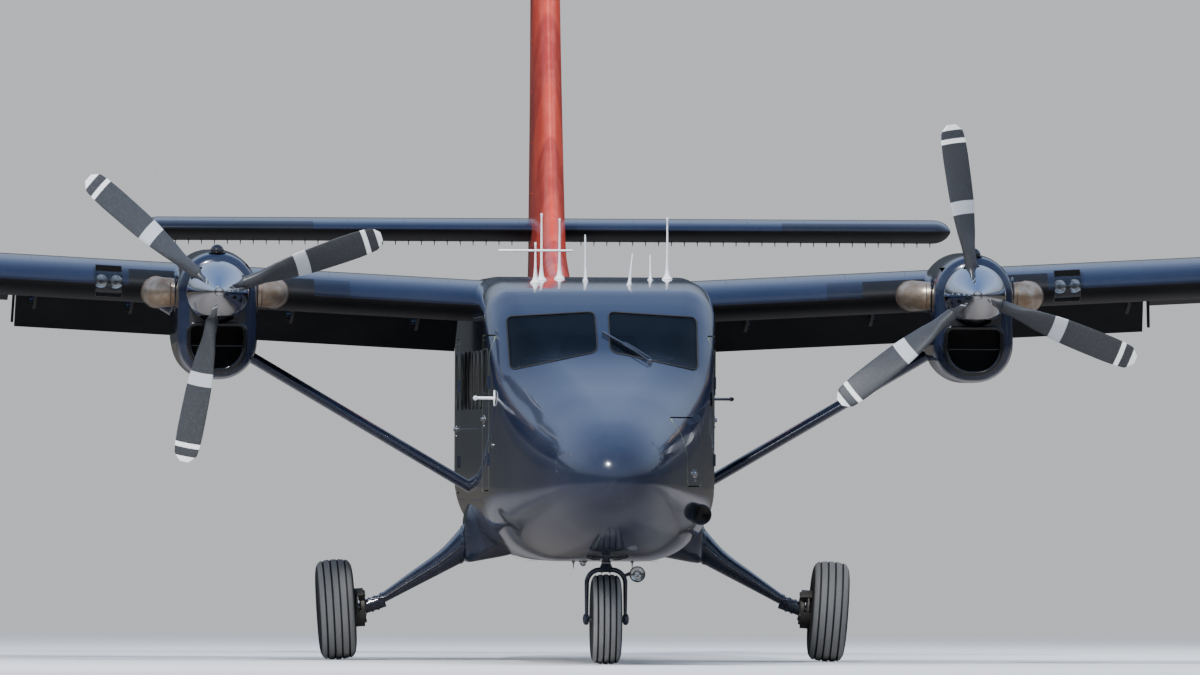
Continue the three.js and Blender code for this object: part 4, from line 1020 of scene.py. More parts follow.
wing = {"chord": 1.98, "lead": 5.17, "thickness": 0.16, "camber": 0.03, "setting": math.radians(2.5),
        "rise": math.tan(math.radians(3)), "height": 2.63, "root": 0.6, "tip": 9.905}
flap = {"from": 0.93, "to": 4.28, "cove": 0.705, "nose": 0.735, "shoulder": 0.83, "axis": 0.79, "drop": 0.07,
        "rest": -37.5}
aileron = {"from": 4.34, "to": 9.5, "cove": 0.765, "nose": 0.79, "shoulder": 0.85, "axis": 0.82,
    "drop": -0.012, "rest": -12}
sideGap = 0.025


def thicknessAt(t):
    return 5 * wing["thickness"] * (0.2969 * math.sqrt(t) - 0.126 * t - 0.3516 * t ** 2 + 0.2843 * t ** 3
                                    - 0.1036 * t ** 4)


def wingPoint(x, t, face, grow=0.0, chordScale=1.0, thickScale=1.0):
    sin, cos = math.sin(wing["setting"]), math.cos(wing["setting"])
    across = (t - 0.25) * wing["chord"] * chordScale - (grow if t < 0.001 else 0)
    least = 0.002 if t > 0.5 else 0
    thick = (wing["camber"] * 4 * t * (1 - t) + face * max(thicknessAt(t), least)
        * thickScale) * wing["chord"]
    thick += face * grow if t > 0.001 else 0
    return Vector((x, yAt(wing["lead"]) + 0.25 * wing["chord"] + across * cos + thick * sin,
                   wing["height"] + x * wing["rise"] - across * sin + thick * cos))


chordSteps = [1 - math.cos(u * math.pi / 2) for u in np.linspace(0, 1, 37)]


def wingRing(x, grow=0.0, chordScale=1.0, thickScale=1.0):
    return ([wingPoint(x, t, 1, grow, chordScale, thickScale) for t in chordSteps]
            + [wingPoint(x, t, -1, grow, chordScale, thickScale) for t in chordSteps[:0:-1]])


def wingShape(grow=0.0):
    rings = [wingRing(x, grow) for x in np.linspace(wing["root"], wing["tip"] - 0.18, 28)]
    for u in np.linspace(0, 1, 9)[1:]:
        rings.append(wingRing(wing["tip"] - 0.18 + 0.18 * u, grow, 1 - 0.05 * u ** 2,
                              math.sqrt(1 - (0.94 * u) ** 2)))
    return loft(rings)


def hingeFrame(surface, x):
    place = wingPoint(x, surface["axis"], -1) + Vector((0, 0, -surface["drop"]))
    return Matrix.Translation(place) @ Matrix.Rotation(-math.atan(wing["rise"]), 4, "Y")


def droop(mesh, surface):
    base = hingeFrame(surface, 0)
    return moved(mesh, base @ Matrix.Rotation(math.radians(surface["rest"]), 4, "X") @ base.inverted())


def surfaceRing(surface, x):
    nose, shoulder = surface["nose"], surface["shoulder"]
    front = [(0.9, -1), (nose + 0.02, -0.97), (nose + 0.005, -0.7), (nose, -0.2), (nose + 0.01, 0.35),
             ((nose + shoulder) / 2, 0.75), (shoulder, 0.97), (0.92, 1)]
    return smoothPath([wingPoint(x, t, face) for t, face in front], 6) + [wingPoint(x, 1, 1),
        wingPoint(x, 1, -1)]


def surfaceShape(surface):
    return loft([surfaceRing(surface, x) for x in np.linspace(surface["from"], surface["to"], 12)])


def coveOf(surface):
    front = yAt(wing["lead"]) + surface["cove"] * wing["chord"]
    return block((surface["from"] - sideGap, surface["to"] + sideGap), (front, front + 2), (1.5, 4.5))


# A plate across the x axis. The outline holds places along the airflow and heights.
def plate(outline, half, middle=0.0):
    return loft([[(x, p[0], p[1]) for p in outline] for x in (middle - half, middle + half)])


def arc(centre, radius, start, end, steps=8):
    return [(centre[0] + radius * math.cos(a), centre[1] + radius * math.sin(a))
            for a in np.linspace(math.pi * start, math.pi * end, steps)]


flapBrackets = [1.25, 2.2, 3.42, 4.15]
aileronBrackets = [5.1, 6.9, 8.7]
bracketHalf = 0.012
bracketOutline = [(-0.62, 0.095), (-0.38, 0.01), *arc((0, -0.015), 0.038, -0.55, 0.3), (-0.14, 0.062),
    (-0.23, 0.15), (-0.6, 0.17)]
lugOutline = [*arc((0, 0), 0.03, 0.9, 1.9), (0.15, 0.11), (-0.03, 0.12)]
knuckleOutline = [*arc((0, 0), 0.02, -0.5, 0.5), (-0.14, 0.02), (-0.14, -0.02)]
gapArm = {"x": 4.31, "half": 0.01, "outline": [(-0.24, 0.16), (-0.14, 0.04), (-0.03, -0.16), (0.015, -0.165),
                                              (0.02, -0.13), (-0.05, 0.06), (-0.12, 0.17)]}
lampSlice = {"x": (3.52, 3.72), "rear": 5.24}


def lampRegion(grow=0.0, rear=lampSlice["rear"]):
    x0, x1 = lampSlice["x"]
    return slab((5.0, rear + grow), (2, 4), (x0 - grow, x1 + grow))


def notch():
    return block((-0.0105, 0.0105), (-0.4, 0.028), (-0.2, 0.2))


wingNeat = cut(wingShape(), hull(skinSection, 4.9, 7.5), coveOf(flap), coveOf(aileron),
    lampRegion(0.0003, 5.36))
armMesh = moved(plate(rounded(gapArm["outline"], 0.02), gapArm["half"]), hingeFrame(flap, gapArm["x"]))
wingMesh = joined(wingNeat, armMesh, *[moved(plate(bracketOutline, bracketHalf), hingeFrame(flap, x))
    for x in flapBrackets], *[moved(plate(knuckleOutline, 0.01), hingeFrame(aileron, x))
    for x in aileronBrackets])
flapMesh = droop(joined(surfaceShape(flap), *[moved(plate(lugOutline, bracketHalf, 2 * bracketHalf + 0.0005),
                                                     hingeFrame(flap, x)) for x in flapBrackets]), flap)
aileronMesh = droop(cut(surfaceShape(aileron), *[moved(notch(), hingeFrame(aileron, x))
    for x in aileronBrackets]), aileron)


def bothSides(name, mesh, body, slot, materials, angle=30, node=None):
    for side, shape in (("left", mesh), ("right", mirrored(mesh))):
        replaced = [f"{node or name}_{side}"] if node != "" else []
        dress(f"{name}_{side}_skin", softened(shape, angle), body.format(side), slot, materials, *replaced)


bothSides("wing", wingMesh, "airframe", "navy_paint", wingPaint)
bothSides("flap", flapMesh, "flap_{}", "navy_paint", wingPaint)
bothSides("aileron", aileronMesh, "aileron_{}", "navy_paint", wingPaint)

strut = {"foot": (0.8, 5.9, 1.273), "top": (3.3, 5.92, 2.74), "chord": 0.25, "thickness": 0.085}


def strutShape(grow=0.0):
    foot, top = [Vector((x, yAt(s), z)) for x, s, z in (strut["foot"], strut["top"])]
    along = (top - foot).normalized()
    upwards = along.cross(Vector((0, 1, 0))).normalized()
    rings = []
    for t in np.linspace(0, 1, 9):
        place = foot + (top - foot) * t
        rings.append([place + Vector((0, 1, 0)) * (strut["chord"] / 2 + grow) * math.cos(a)
                      + upwards * (strut["thickness"] / 2 + grow) * math.sin(a)
                      for a in np.linspace(0, 2 * math.pi, 40, endpoint=False)])
    return loft(rings)


bothSides("wing_strut", cut(strutShape(), hull(skinSection, 5.5, 6.3), wingShape()), "airframe", "navy_paint",
    navyPaint)
print("wings")

fin = Curves(("lead", "trail", "half"), [(2550, 10700, 14715, 135), (2880, 11000, 14715, 135),
    (3120, 12050, 14715, 130), (3500, 12560, 14715, 128), (4400, 13130, 14715, 118),
    (5750, 13960, 14715, 105), (5880, 14060, 14715, 90), (5940, 14180, 14715, 50)])
rudder = Curves(("lead", "trail", "half"), [
    (2830, 14740, 15770, 85), (5750, 14740, 15440, 80), (5880, 14745, 15410, 70), (5940, 14770, 15370, 35)])
fixedWidth = Curves(("wide",), [(0, 0), (173, 360), (346, 680), (548, 950), (775, 1000), (1000, 800)])
movingWidth = Curves(("wide",), [(0, 450), (60, 900), (150, 1000), (550, 600), (1000, 80)])
fixedSteps = [(t, float(fixedWidth.read("wide", math.sqrt(t)))) for t in [u ** 2
    for u in np.linspace(0, 1, 26)]]
movingSteps = [(t, float(movingWidth.read("wide", t))) for t in [0, 0.01, 0.03, 0.06, 0.1, 0.15, 0.22, 0.3,
    0.4, 0.5, 0.6, 0.7, 0.8, 0.9, 1]]


def uprightRing(steps, table, z):
    lead, trail, half = (float(table.read(name, z)) for name in ("lead", "trail", "half"))
    ways = [(t, wide) for t, wide in steps]
    back = ways[:0:-1] if ways[0][1] == 0 else ways[::-1]
    return ([(wide * half, yAt(lead + t * (trail - lead)), z) for t, wide in ways]
            + [(-wide * half, yAt(lead + t * (trail - lead)), z) for t, wide in back])


finHeights = [2.55, 2.65, 2.75, 2.85, *np.linspace(2.9, 3.6, 15), *np.linspace(3.75, 5.65, 14),
              *np.linspace(5.75, 5.94, 9)]
rudderHeights = [*np.linspace(2.83, 5.7, 20), *np.linspace(5.75, 5.94, 9)]
tailplane = {"lead": 13.35, "trail": 14.36, "half": 0.092, "height": 3.32, "span": 3.15}
elevator = {"from": 0.205, "to": 3.12, "lead": 14.385, "trail": 14.9, "hinge": 14.43, "half": 0.068}


def uprightFrame(z):
    return Matrix.Translation((0, yAt(14.83), z)) @ Matrix.Rotation(-math.pi / 2, 4, "Y")


def levelRing(steps, x, lead, trail, half):
    back = steps[:0:-1] if steps[0][1] == 0 else steps[::-1]
    height = tailplane["height"]
    return ([(x, yAt(lead + t * (trail - lead)), height + wide * half) for t, wide in steps]
            + [(x, yAt(lead + t * (trail - lead)), height - wide * half) for t, wide in back])


def tailplaneShape():
    span, lead, trail, half = (tailplane[k] for k in ("span", "lead", "trail", "half"))
    tips = [(span - 0.12 + 0.12 * u, 0.1 * u ** 2, math.sqrt(1 - (0.95 * u) ** 2))
        for u in np.linspace(0, 1, 9)]
    rings = [(-x, inset, thick) for x, inset, thick in tips[::-1]]
    rings += [(x, 0, 1) for x in np.linspace(-(span - 0.12), span - 0.12, 16)[1:-1]] + tips
    return loft([levelRing(fixedSteps, x, lead + inset, trail, half * thick) for x, inset, thick in rings])


finMesh = joined(cut(loft([uprightRing(fixedSteps, fin, z) for z in finHeights]),
    hull(skinSection, 10.4, 15.3)), *[moved(plate(knuckleOutline, 0.01), uprightFrame(z))
    for z in (3.05, 4.3, 5.5)])
rudderMesh = cut(loft([uprightRing(movingSteps, rudder, z) for z in rudderHeights]),
                 *[moved(notch(), uprightFrame(z)) for z in (3.05, 4.3, 5.5)])
dress("fin_skin", softened(finMesh), "airframe", "fin_paint", finPaint, "fin")
dress("rudder_skin", softened(rudderMesh), "rudder", "fin_paint", finPaint, "rudder")


def elevatorFrame(x):
    return Matrix.Translation((x, yAt(elevator["hinge"]), tailplane["height"]))


elevatorKnuckles = [0.7, 1.7, 2.7]
tailMesh = joined(tailplaneShape(), *[moved(plate(knuckleOutline, 0.01), elevatorFrame(side * x))
                                      for x in elevatorKnuckles for side in (1, -1)])
dress("tailplane_skin", softened(tailMesh), "airframe", "navy_paint", tailplanePaint, "tailplane")
elevatorMesh = cut(loft([levelRing(movingSteps, x, elevator["lead"], elevator["trail"], elevator["half"])
                         for x in np.linspace(elevator["from"], elevator["to"], 10)]),
                   *[moved(notch(), elevatorFrame(x)) for x in elevatorKnuckles])
bothSides("elevator", elevatorMesh, "elevator_{}", "navy_paint", wingPaint)
print("tail")

engineX, shaftHeight, hubBack, exhaustStation = 2.84, 2.763, 3.741, 4.18
cowl = Curves(sectionNames, [
    (3790, 262, 3025, 2165, 255, 250), (3860, 290, 3055, 2130, 285, 275), (4100, 308, 3073, 2112, 300, 285),
    (4700, 318, 3085, 2112, 300, 280), (5250, 318, 3095, 2180, 290, 270), (5800, 275, 3060, 2430, 230, 180),
    (6300, 190, 2990, 2590, 150, 120), (6600, 110, 2900, 2660, 90, 80)])
engineBay = {"half": 0.24, "from": 3.9, "to": 5.08, "low": 2.52, "high": 2.975}

nacelle = {"front": 3.79, "back": 6.6, "edge": 0.055, "mouthHalf": 0.2, "mouthTop": 2.515, "mouthSide": 2.37,
           "mouthLow": 2.19, "mouthBack": 4.32, "bead": 0.021, "exhaustHole": 0.125, "domeStation": 3.89,
           "domeRadius": 0.052}
stub = {"path": [(0.12, 4.18), (0.25, 4.18), (0.34, 4.192), (0.405, 4.25), (0.43, 4.35), (0.436, 4.44)],
        "radii": [0.094, 0.098, 0.107, 0.113, 0.116, 0.119], "wall": 0.006}


# The cowl's front edge is rounded off.
def cowlSection(at):
    half, top, bottom, crown, bilge = cowl.section(at)
    ahead = np.clip(nacelle["edge"] - (at - nacelle["front"]), 0, nacelle["edge"])
    inset = nacelle["edge"] - np.sqrt(nacelle["edge"] ** 2 - ahead ** 2)
    return half - inset, top - inset, bottom + inset, crown - inset, bilge - inset


def mouthOutline(middle, grow=0.0):
    half, corner = nacelle["mouthHalf"] + grow, 0.18 + grow
    low, side, top = nacelle["mouthLow"] - grow, nacelle["mouthSide"], nacelle["mouthTop"] + grow
    centre = half - corner
    outline = [(middle + centre + corner * math.cos(a), side + (side - low) * math.sin(a))
               for a in spread(0, -math.pi / 2, 10)]
    outline += [(middle - centre + corner * math.cos(a), side + (side - low) * math.sin(a))
                for a in spread(-math.pi / 2, -math.pi, 10)]
    return outline + [(middle - half + 0.05 * (1 - math.cos(a)), top - 0.05 + 0.05 * math.sin(a))
                      for a in spread(0, math.pi / 2, 6)] + [
        (middle + half - 0.05 * (1 - math.cos(a)), top - 0.05 + 0.05 * math.sin(a))
        for a in spread(math.pi / 2, 0, 6)]


def stubMesh(side, middle):
    path = [(middle + side * x, yAt(station), shaftHeight) for x, station in stub["path"]]
    smooth = smoothPath(path, 7)
    radii = np.interp(np.linspace(0, 1, len(smooth)), np.linspace(0, 1, len(path)), stub["radii"]).tolist()
    outer = tube(smooth, radii, 40)
    hollow = smooth[14:] + [smooth[-1] + (smooth[-1] - smooth[-2]).normalized() * 0.03]
    inner = tube(hollow, [r - stub["wall"] for r in radii[14:]] + [radii[-1] - stub["wall"]], 40)
    along = (smooth[-1] - smooth[-2]).normalized()
    across = along.cross(Vector((0, 0, 1))).normalized()
    rolled = ringTube([smooth[-1] + (radii[-1] - 0.002) * (across * math.cos(a) + Vector((0, 0, 1))
        * math.sin(a)) for a in np.linspace(0, 2 * math.pi, 48, endpoint=False)], 0.006)
    weld = ringTube([Vector((middle + side * 0.345, yAt(4.18), shaftHeight))
                     + 0.108 * (Vector((0, 1, 0)) * math.cos(a) + Vector((0, 0, 1)) * math.sin(a))
                     for a in np.linspace(0, 2 * math.pi, 48, endpoint=False)], 0.004)
    return joined(cut(outer, inner), rolled, weld)


def engineMesh(middle):
    core = [(0, 3.96), (0.11, 3.96), (0.13, 4.0), (0.19, 4.02), (0.205, 4.04), (0.205, 4.33), (0.18, 4.36),
            (0.18, 4.56), (0.206, 4.6), (0.206, 4.95), (0.15, 5.03), (0, 5.05)]
    body = turned([(r, yAt(s)) for r, s in core], (middle, 0, 2.745), (middle, 1, 2.745), 48)
    flanges = [turned([(0.17, yAt(s)), (0.219, yAt(s)), (0.219, yAt(s) + 0.012), (0.17, yAt(s) + 0.012)],
                      (middle, 0, 2.745), (middle, 1, 2.745), 48) for s in (4.1, 4.46, 4.75)]
    shaft = turned([(0, yAt(3.742)), (0.045, yAt(3.742)), (0.045, yAt(4.0)), (0, yAt(4.0))],
                   (middle, 0, shaftHeight), (middle, 1, shaftHeight), 32)
    return joined(body, *flanges, shaft)


for side, label in ((1, "left"), (-1, "right")):
    middle = side * engineX
    front, back = nacelle["front"], nacelle["back"]
    mouth = frontPrism(mouthOutline(middle), 3.7, nacelle["mouthBack"])
    low, high, half = engineBay["low"], engineBay["high"], engineBay["half"]
    wingTool, strutTool = wingShape(), strutShape()
    tools = [wingTool if side > 0 else mirrored(wingTool), strutTool if side > 0 else mirrored(strutTool),
             slab((engineBay["from"], engineBay["to"]), (low, high), (middle - half, middle + half)), mouth,
             slab((4.0, 4.3), (2.3, low + 0.04), (middle - 0.15, middle + 0.15)),
             barrel(0.07, (middle, yAt(3.7), shaftHeight), (middle, yAt(3.92), shaftHeight)),
             barrel(nacelle["exhaustHole"], (middle - 0.5, yAt(exhaustStation), shaftHeight),
                    (middle + 0.5, yAt(exhaustStation), shaftHeight), 48)]
    edge = [front + nacelle["edge"] * (1 - math.cos(a)) for a in spread(0, math.pi / 2, 9)]
    stations = edge + spread(front + nacelle["edge"], back, 36)[1:]
    mesh = cut(loft([boxyRing(cowlSection, station, middle) for station in stations]), *tools)
    mesh = trueNormals(mesh, [(cowlSection, 1, 1)], middle)
    dress(f"nacelle_{label}_skin", mesh, "airframe", "navy_paint", [darkPlastic, navyPaint],
        f"nacelle_{label}")
    lip = ringTube([(x, yAt(front + 0.014), z) for x, z in mouthOutline(middle, 0.01)], nacelle["bead"], 14)
    collars = []
    for out in (1, -1):
        collars.append(turned([(0.112, -0.006), (0.142, -0.006), (0.146, 0.0), (0.142, 0.006),
            (0.112, 0.009)], (middle + out * 0.306, yAt(exhaustStation), shaftHeight),
            (middle + out * 2, yAt(exhaustStation), shaftHeight), 48))
    station, radius = nacelle["domeStation"], nacelle["domeRadius"]
    top = 3.055
    dome = turned([(0, 0), (radius + 0.012, 0), (radius + 0.012, 0.008), (radius, 0.012)]
        + [(radius * math.cos(a), 0.016 + 0.052 * math.sin(a)) for a in spread(0.1, math.pi / 2, 9)],
        (middle, yAt(station), top), (middle, yAt(station), 9), 40)
    bar = tube([(middle - nacelle["mouthHalf"], yAt(3.83), 2.361), (middle + nacelle["mouthHalf"], yAt(3.83),
        2.361)], 0.006, 10)
    dress(f"cowl_trim_{label}", softened(joined(lip, dome, bar, *collars), 40), "airframe", "navy_paint",
        glossBlack)
    dress(f"exhaust_{label}_stubs", softened(joined(stubMesh(1, middle), stubMesh(-1, middle)), 40),
        "airframe", "engine_metal", heatedSteel)
    dress(f"engine_{label}_core", softened(engineMesh(middle), 30), "airframe", "engine_metal", bareMetal,
          f"engine_{label}")
print("nacelles")

propeller = {"station": 3.6, "back": 3.745, "angles": {"left": 98.4, "right": 139.0}}
blade = Curves(("chord", "thick", "twist"), [
    (60, 96, 96, 50), (300, 110, 84, 48), (480, 178, 44, 40), (760, 222, 28, 32), (1050, 216, 19, 25),
    (1230, 186, 14, 22), (1295, 70, 8, 21)])
spinner = {"tip": 3.27, "radius": 0.233, "thickness": 0.012}


def bladeShape(angle):
    rings = []
    for at in [*np.linspace(0.06, 1.2, 34), *np.linspace(1.22, 1.295, 8)]:
        chord, thick = float(blade.read("chord", at)), float(blade.read("thick", at))
        turn = math.radians(1000 * float(blade.read("twist", at)))
        flat = min(max((at - 0.3) / 0.25, 0), 1)
        ring = []
        for a in np.linspace(0, 2 * math.pi, 28, endpoint=False):
            u = chord / 2 * math.cos(a)
            v = thick / 2 * math.sin(a) * (1 - 0.35 * flat * math.cos(a))
            ring.append((u * math.cos(turn) - v * math.sin(turn), u * math.sin(turn) + v * math.cos(turn),
                at))
        rings.append(ring)
    return moved(loft(rings), Matrix.Rotation(math.radians(90 - angle), 4, "Y"))


def hubProfile():
    back = propeller["back"] - propeller["station"]
    rim = spinner["radius"] - spinner["thickness"] - 0.0005
    return [(0, -0.09), (0.11, -0.09), (0.125, -0.06), (0.125, back - 0.02), (rim, back - 0.02),
            (rim, hubBack - propeller["station"]), (0, hubBack - propeller["station"])]


def spinnerProfile():
    tip, back = spinner["tip"] - propeller["station"], propeller["back"] - propeller["station"]
    radius, thickness = spinner["radius"], spinner["thickness"]
    outer = [(0, tip, 0), (0.028, tip + 0.004, 0), (0.05, tip + 0.015, 0), (0.125, tip + 0.11, 0),
             (0.195, tip + 0.24, 0), (radius - 0.003, tip + 0.36, 0), (radius, tip + 0.4, 0)]
    outer = [(p[0], p[1]) for p in smoothPath(outer, 6)]
    return outer + [(radius, back), (radius - thickness, back), (radius - thickness, tip + 0.39),
        (0.18, tip + 0.26), (0.11, tip + 0.13), (0, tip + 0.03)]


for side, label in ((1, "left"), (-1, "right")):
    place = Matrix.Translation((side * engineX, yAt(propeller["station"]), shaftHeight))
    angles = [propeller["angles"][label] + step for step in (0, 120, 240)]
    mesh = moved(joined(lathe(hubProfile(), 48), *[bladeShape(angle) for angle in angles]), place)
    dress(f"propeller_{label}_blades", softened(mesh), f"propeller_{label}", "blade_paint", bladePaint,
          f"propeller_{label}")
    holes = [moved(barrel(0.062, (0, 0, 0.13), (0, 0, 0.32), 40), Matrix.Rotation(math.radians(90 - a), 4,
        "Y")) for a in angles]
    dress(f"spinner_{label}_shell", softened(moved(cut(lathe(spinnerProfile(), 96), *holes), place)),
          f"propeller_{label}", "spinner_chrome", chrome, f"spinner_{label}")
print("propellers")

mainWheel = {"x": 1.866, "station": 6.15, "radius": 0.38, "half": 0.138, "camber": math.radians(3.75),
    "bore": 0.037}
noseWheel = {"x": 0, "station": 1.62, "radius": 0.335, "half": 0.112, "camber": 0, "bore": 0.022}


def wheelPlace(wheel):
    contact = wheel["radius"] * math.cos(wheel["camber"]) + 0.15 * wheel["half"] * math.sin(wheel["camber"])
    return (Matrix.Translation((wheel["x"], yAt(wheel["station"]), contact))
            @ Matrix.Rotation(wheel["camber"], 4, "Y") @ Matrix.Rotation(-math.pi / 2, 4, "Z"))


def tyreProfile(wheel):
    radius, half = wheel["radius"], wheel["half"]
    bead = radius * 0.5
    side = smoothPath([(bead, 0.7 * half, 0), (0.65 * radius, half, 0), (0.83 * radius, 0.98 * half, 0),
                       (0.925 * radius, 0.87 * half, 0), (0.966 * radius, 0.75 * half, 0)], 6)
    side = [(p[0], p[1]) for p in side]
    depth, gap = 0.007, 0.008
    tread = []
    for centre in (0.6, 0.2):
        crown = radius - 0.05 * radius * (centre ** 2.4) - 0.0007
        tread += [(crown, centre * half + gap), (crown - depth, centre * half + 0.6 * gap),
                  (crown - depth, centre * half - 0.6 * gap), (crown, centre * half - gap)]
    outer = side + tread
    inner = [(r, -along) for r, along in outer[::-1]]
    return outer + inner


# Marks how much of the pale tread tone, scrubbed rubber and dust with painted sunlight, each point of a tyre
# has.
def markTreadDustAndSun(mesh, wheel):
    radius, half = wheel["radius"], wheel["half"]
    data = np.zeros(len(mesh.vertices) * 3)
    mesh.vertices.foreach_get("co", data)
    x, along, z = data.reshape(-1, 3).T
    reach, across = np.hypot(x, z), np.abs(along) / half
    crown = radius * (1 - 0.05 * np.minimum(across, 0.62) ** 2.4)
    # The pale tone stands for scrubbed, dusty rubber and, in part, for painted sunlight on the tread.
    worn = np.clip((reach - 0.88 * radius) / (0.04 * radius), 0, 1) * ((across > 0.68) | (reach > crown
        - 0.0035))
    mesh.attributes.new("tread", "FLOAT", "POINT").data.foreach_set("value", worn.astype(np.float32))
    return mesh


def rimProfile(wheel):
    seat, half, bore = wheel["radius"] * 0.5 - 0.0005, wheel["half"], wheel["bore"]
    outer = [(bore, 0.45 * half), (bore + 0.02, 0.45 * half), (bore + 0.024, 0.42 * half),
        (bore + 0.03, 0.3 * half), (bore + 0.038, 0.25 * half), (seat - 0.04, 0.16 * half),
        (seat - 0.03, 0.2 * half), (seat - 0.024, 0.34 * half), (seat - 0.021, 0.64 * half),
        (seat - 0.017, 0.69 * half), (seat - 0.006, 0.69 * half), (seat, 0.66 * half)]
    return outer + [(r, -along) for r, along in outer[::-1]]


wheelParts = {"holes": 10, "holeSize": 0.2, "bolts": 10}


def rimMesh(wheel):
    bore, seat, half = wheel["bore"], wheel["radius"] * 0.5, wheel["half"]
    middle = (bore + 0.038 + seat - 0.04) / 2
    size = (seat - 0.04 - bore - 0.038) * wheelParts["holeSize"] * 1.6
    holes = []
    for k in range(wheelParts["holes"]):
        a = 2 * math.pi * k / wheelParts["holes"]
        holes.append(barrel(size, (middle * math.cos(a), -0.2, middle * math.sin(a)),
                            (middle * math.cos(a), 0.2, middle * math.sin(a)), 20))
    rim = cut(lathe(rimProfile(wheel), 96), *holes)
    bolts = []
    for k in range(wheelParts["bolts"]):
        a = 2 * math.pi * (k + 0.5) / wheelParts["bolts"]
        for face in (1, -1):
            bolts.append(bolt((middle * math.cos(a), face * (0.2 * half), middle * math.sin(a)), (0, face, 0),
                0.0065))
    valve = barrel(0.0035, ((seat - 0.02) * 0.97, 0.3 * half, 0), ((seat - 0.03) * 0.97, 0.62 * half, 0), 10)
    return joined(rim, valve, *bolts)


for name, wheel, body in (("main", mainWheel, "main_wheel"), ("nose", noseWheel, "nose_wheel")):
    for side, label in ((1, "_left"), (-1, "_right")) if name == "main" else ((1, ""),):
        tyre, rim = (moved(mesh, wheelPlace(wheel)) for mesh in (markTreadDustAndSun(lathe(tyreProfile(wheel), 96),
            wheel), rimMesh(wheel)))
        if side < 0:
            tyre, rim = mirrored(tyre), mirrored(rim)
        dress(f"{name}_tyre{label}_rubber", softened(tyre, 35), body + label, "tyre_rubber", tyreRubber,
              f"{name}_tyre{label}")
        dress(f"{name}_rim{label}_metal", softened(rim, 35), body + label, "rim_metal", wheelAlloy,
              f"{name}_rim{label}")
print("wheels")

fairing = {"outline": [(0.65, 1.3), (0.8, 1.262), (0.866, 1.18), (0.898, 1.08), (0.898, 0.735), (0.6, 0.79),
    (0.376, 0.85), (0.376, 1.0)], "middle": (0.6, 1.01), "corner": 0.05}
fairingRows = Curves(("size", "shift"), [(5560, 500, -60), (5700, 800, -24), (5850, 1000, 0), (6480, 1000, 0),
                                         (6720, 780, -30), (6980, 450, -70)])
legRows = Curves(("low", "high", "half"), [(898.3, 745, 1032, 180), (1076, 652, 836, 150),
    (1300, 536, 668, 112), (1552, 404, 484, 78)])
mainLeg = {"cuffs": (0.915, 1.53), "cuffWidth": 0.03, "cuffGrow": 0.004, "cylinder": 0.052,
           "brake": {"disc": 0.142, "calipers": (70, 200, 320), "spread": 30}}


def fairingMesh():
    rings = []
    mx, mz = fairing["middle"]
    for station in spread(5.56, 6.98, 30):
        size, shift = float(fairingRows.read("size", station)), float(fairingRows.read("shift", station))
        outline = rounded(fairing["outline"], fairing["corner"], 5)
        rings.append([(mx + (p[0] - mx) * size + shift, yAt(station), mz + (p[1] - mz) * size)
            for p in outline])
    return cut(loft(rings), hull(skinSection, 5.3, 7.3), strutShape())


def legRing(x, grow=0.0, sides=40):
    low, high, half = (float(legRows.read(name, x)) for name in ("low", "high", "half"))
    middle, tall, deep = (low + high) / 2, (high - low) / 2 + grow, half + grow
    ring = []
    for a in np.linspace(0, 2 * math.pi, sides, endpoint=False):
        c, n = math.cos(a), math.sin(a)
        ring.append((x, yAt(mainWheel["station"]) + deep * math.copysign(abs(c) ** 0.85, c),
                     middle + tall * math.copysign(abs(n) ** 0.75, n)))
    return ring


def cuffMesh(x):
    width, grow = mainLeg["cuffWidth"], mainLeg["cuffGrow"]
    low = max(x - width / 2, 0.8985)
    band = loft([legRing(low, 0.001), legRing(low + 0.002, grow), legRing(x + width / 2 - 0.002, grow),
                 legRing(min(x + width / 2, 1.55), 0.001)])
    bolts = []
    ring = legRing(x, grow - 0.001, 14)
    centre = sum((Vector(p) for p in ring), Vector()) / len(ring)
    for place in ring:
        bolts.append(bolt(place, Vector(place) - centre, 0.004))
    return joined(band, *bolts)


def mainLegMesh():
    leg = loft([legRing(x) for x in spread(0.8985, 1.552, 30)])
    place = wheelPlace(mainWheel)
    onAxle = [place @ Vector((0, along, 0)) for along in (-0.2, -0.215)]
    start = Vector((1.5, yAt(mainWheel["station"]), 0.452))
    cylinder = barrel(mainLeg["cylinder"], start, onAxle[0], 40)
    way = (onAxle[0] - start).normalized()
    collars = [turned([(0.05, 0), (0.058, 0), (0.058, 0.016), (0.05, 0.016)], start + way * t, onAxle[0], 40)
               for t in (0.055, 0.1)]
    return joined(leg, cylinder, *collars, *[cuffMesh(x) for x in mainLeg["cuffs"]])


def brakeMesh():
    disc = mainLeg["brake"]["disc"]
    made = [lathe([(0.05, -0.167), (disc - 0.004, -0.167), (disc, -0.164), (disc, -0.153),
        (disc - 0.004, -0.15), (0.05, -0.15)], 64), lathe([(0.03, -0.225), (0.085, -0.225), (0.095, -0.215),
        (0.095, -0.19), (0.08, -0.182), (0.03, -0.182)], 48)]
    for turn in mainLeg["brake"]["calipers"]:
        half = mainLeg["brake"]["spread"]
        start, end = math.radians(turn - half), math.radians(turn + half)
        made.append(arcBlock(0.085, 0.147, start, end, -0.212, -0.171))
        made.append(arcBlock(0.085, 0.147, start, end, -0.1465, -0.13))
        made.append(arcBlock(0.1455, 0.15, start, end, -0.212, -0.13))
        for off in (-0.55, 0.55):
            a = math.radians(turn + off * half)
            made.append(turned([(0, 0), (0.016, 0), (0.016, 0.012), (0.011, 0.017), (0, 0.017)],
                               (0.118 * math.cos(a), -0.21, 0.118 * math.sin(a)),
                               (0.118 * math.cos(a), -1, 0.118 * math.sin(a)), 20))
    return moved(joined(*made), wheelPlace(mainWheel))


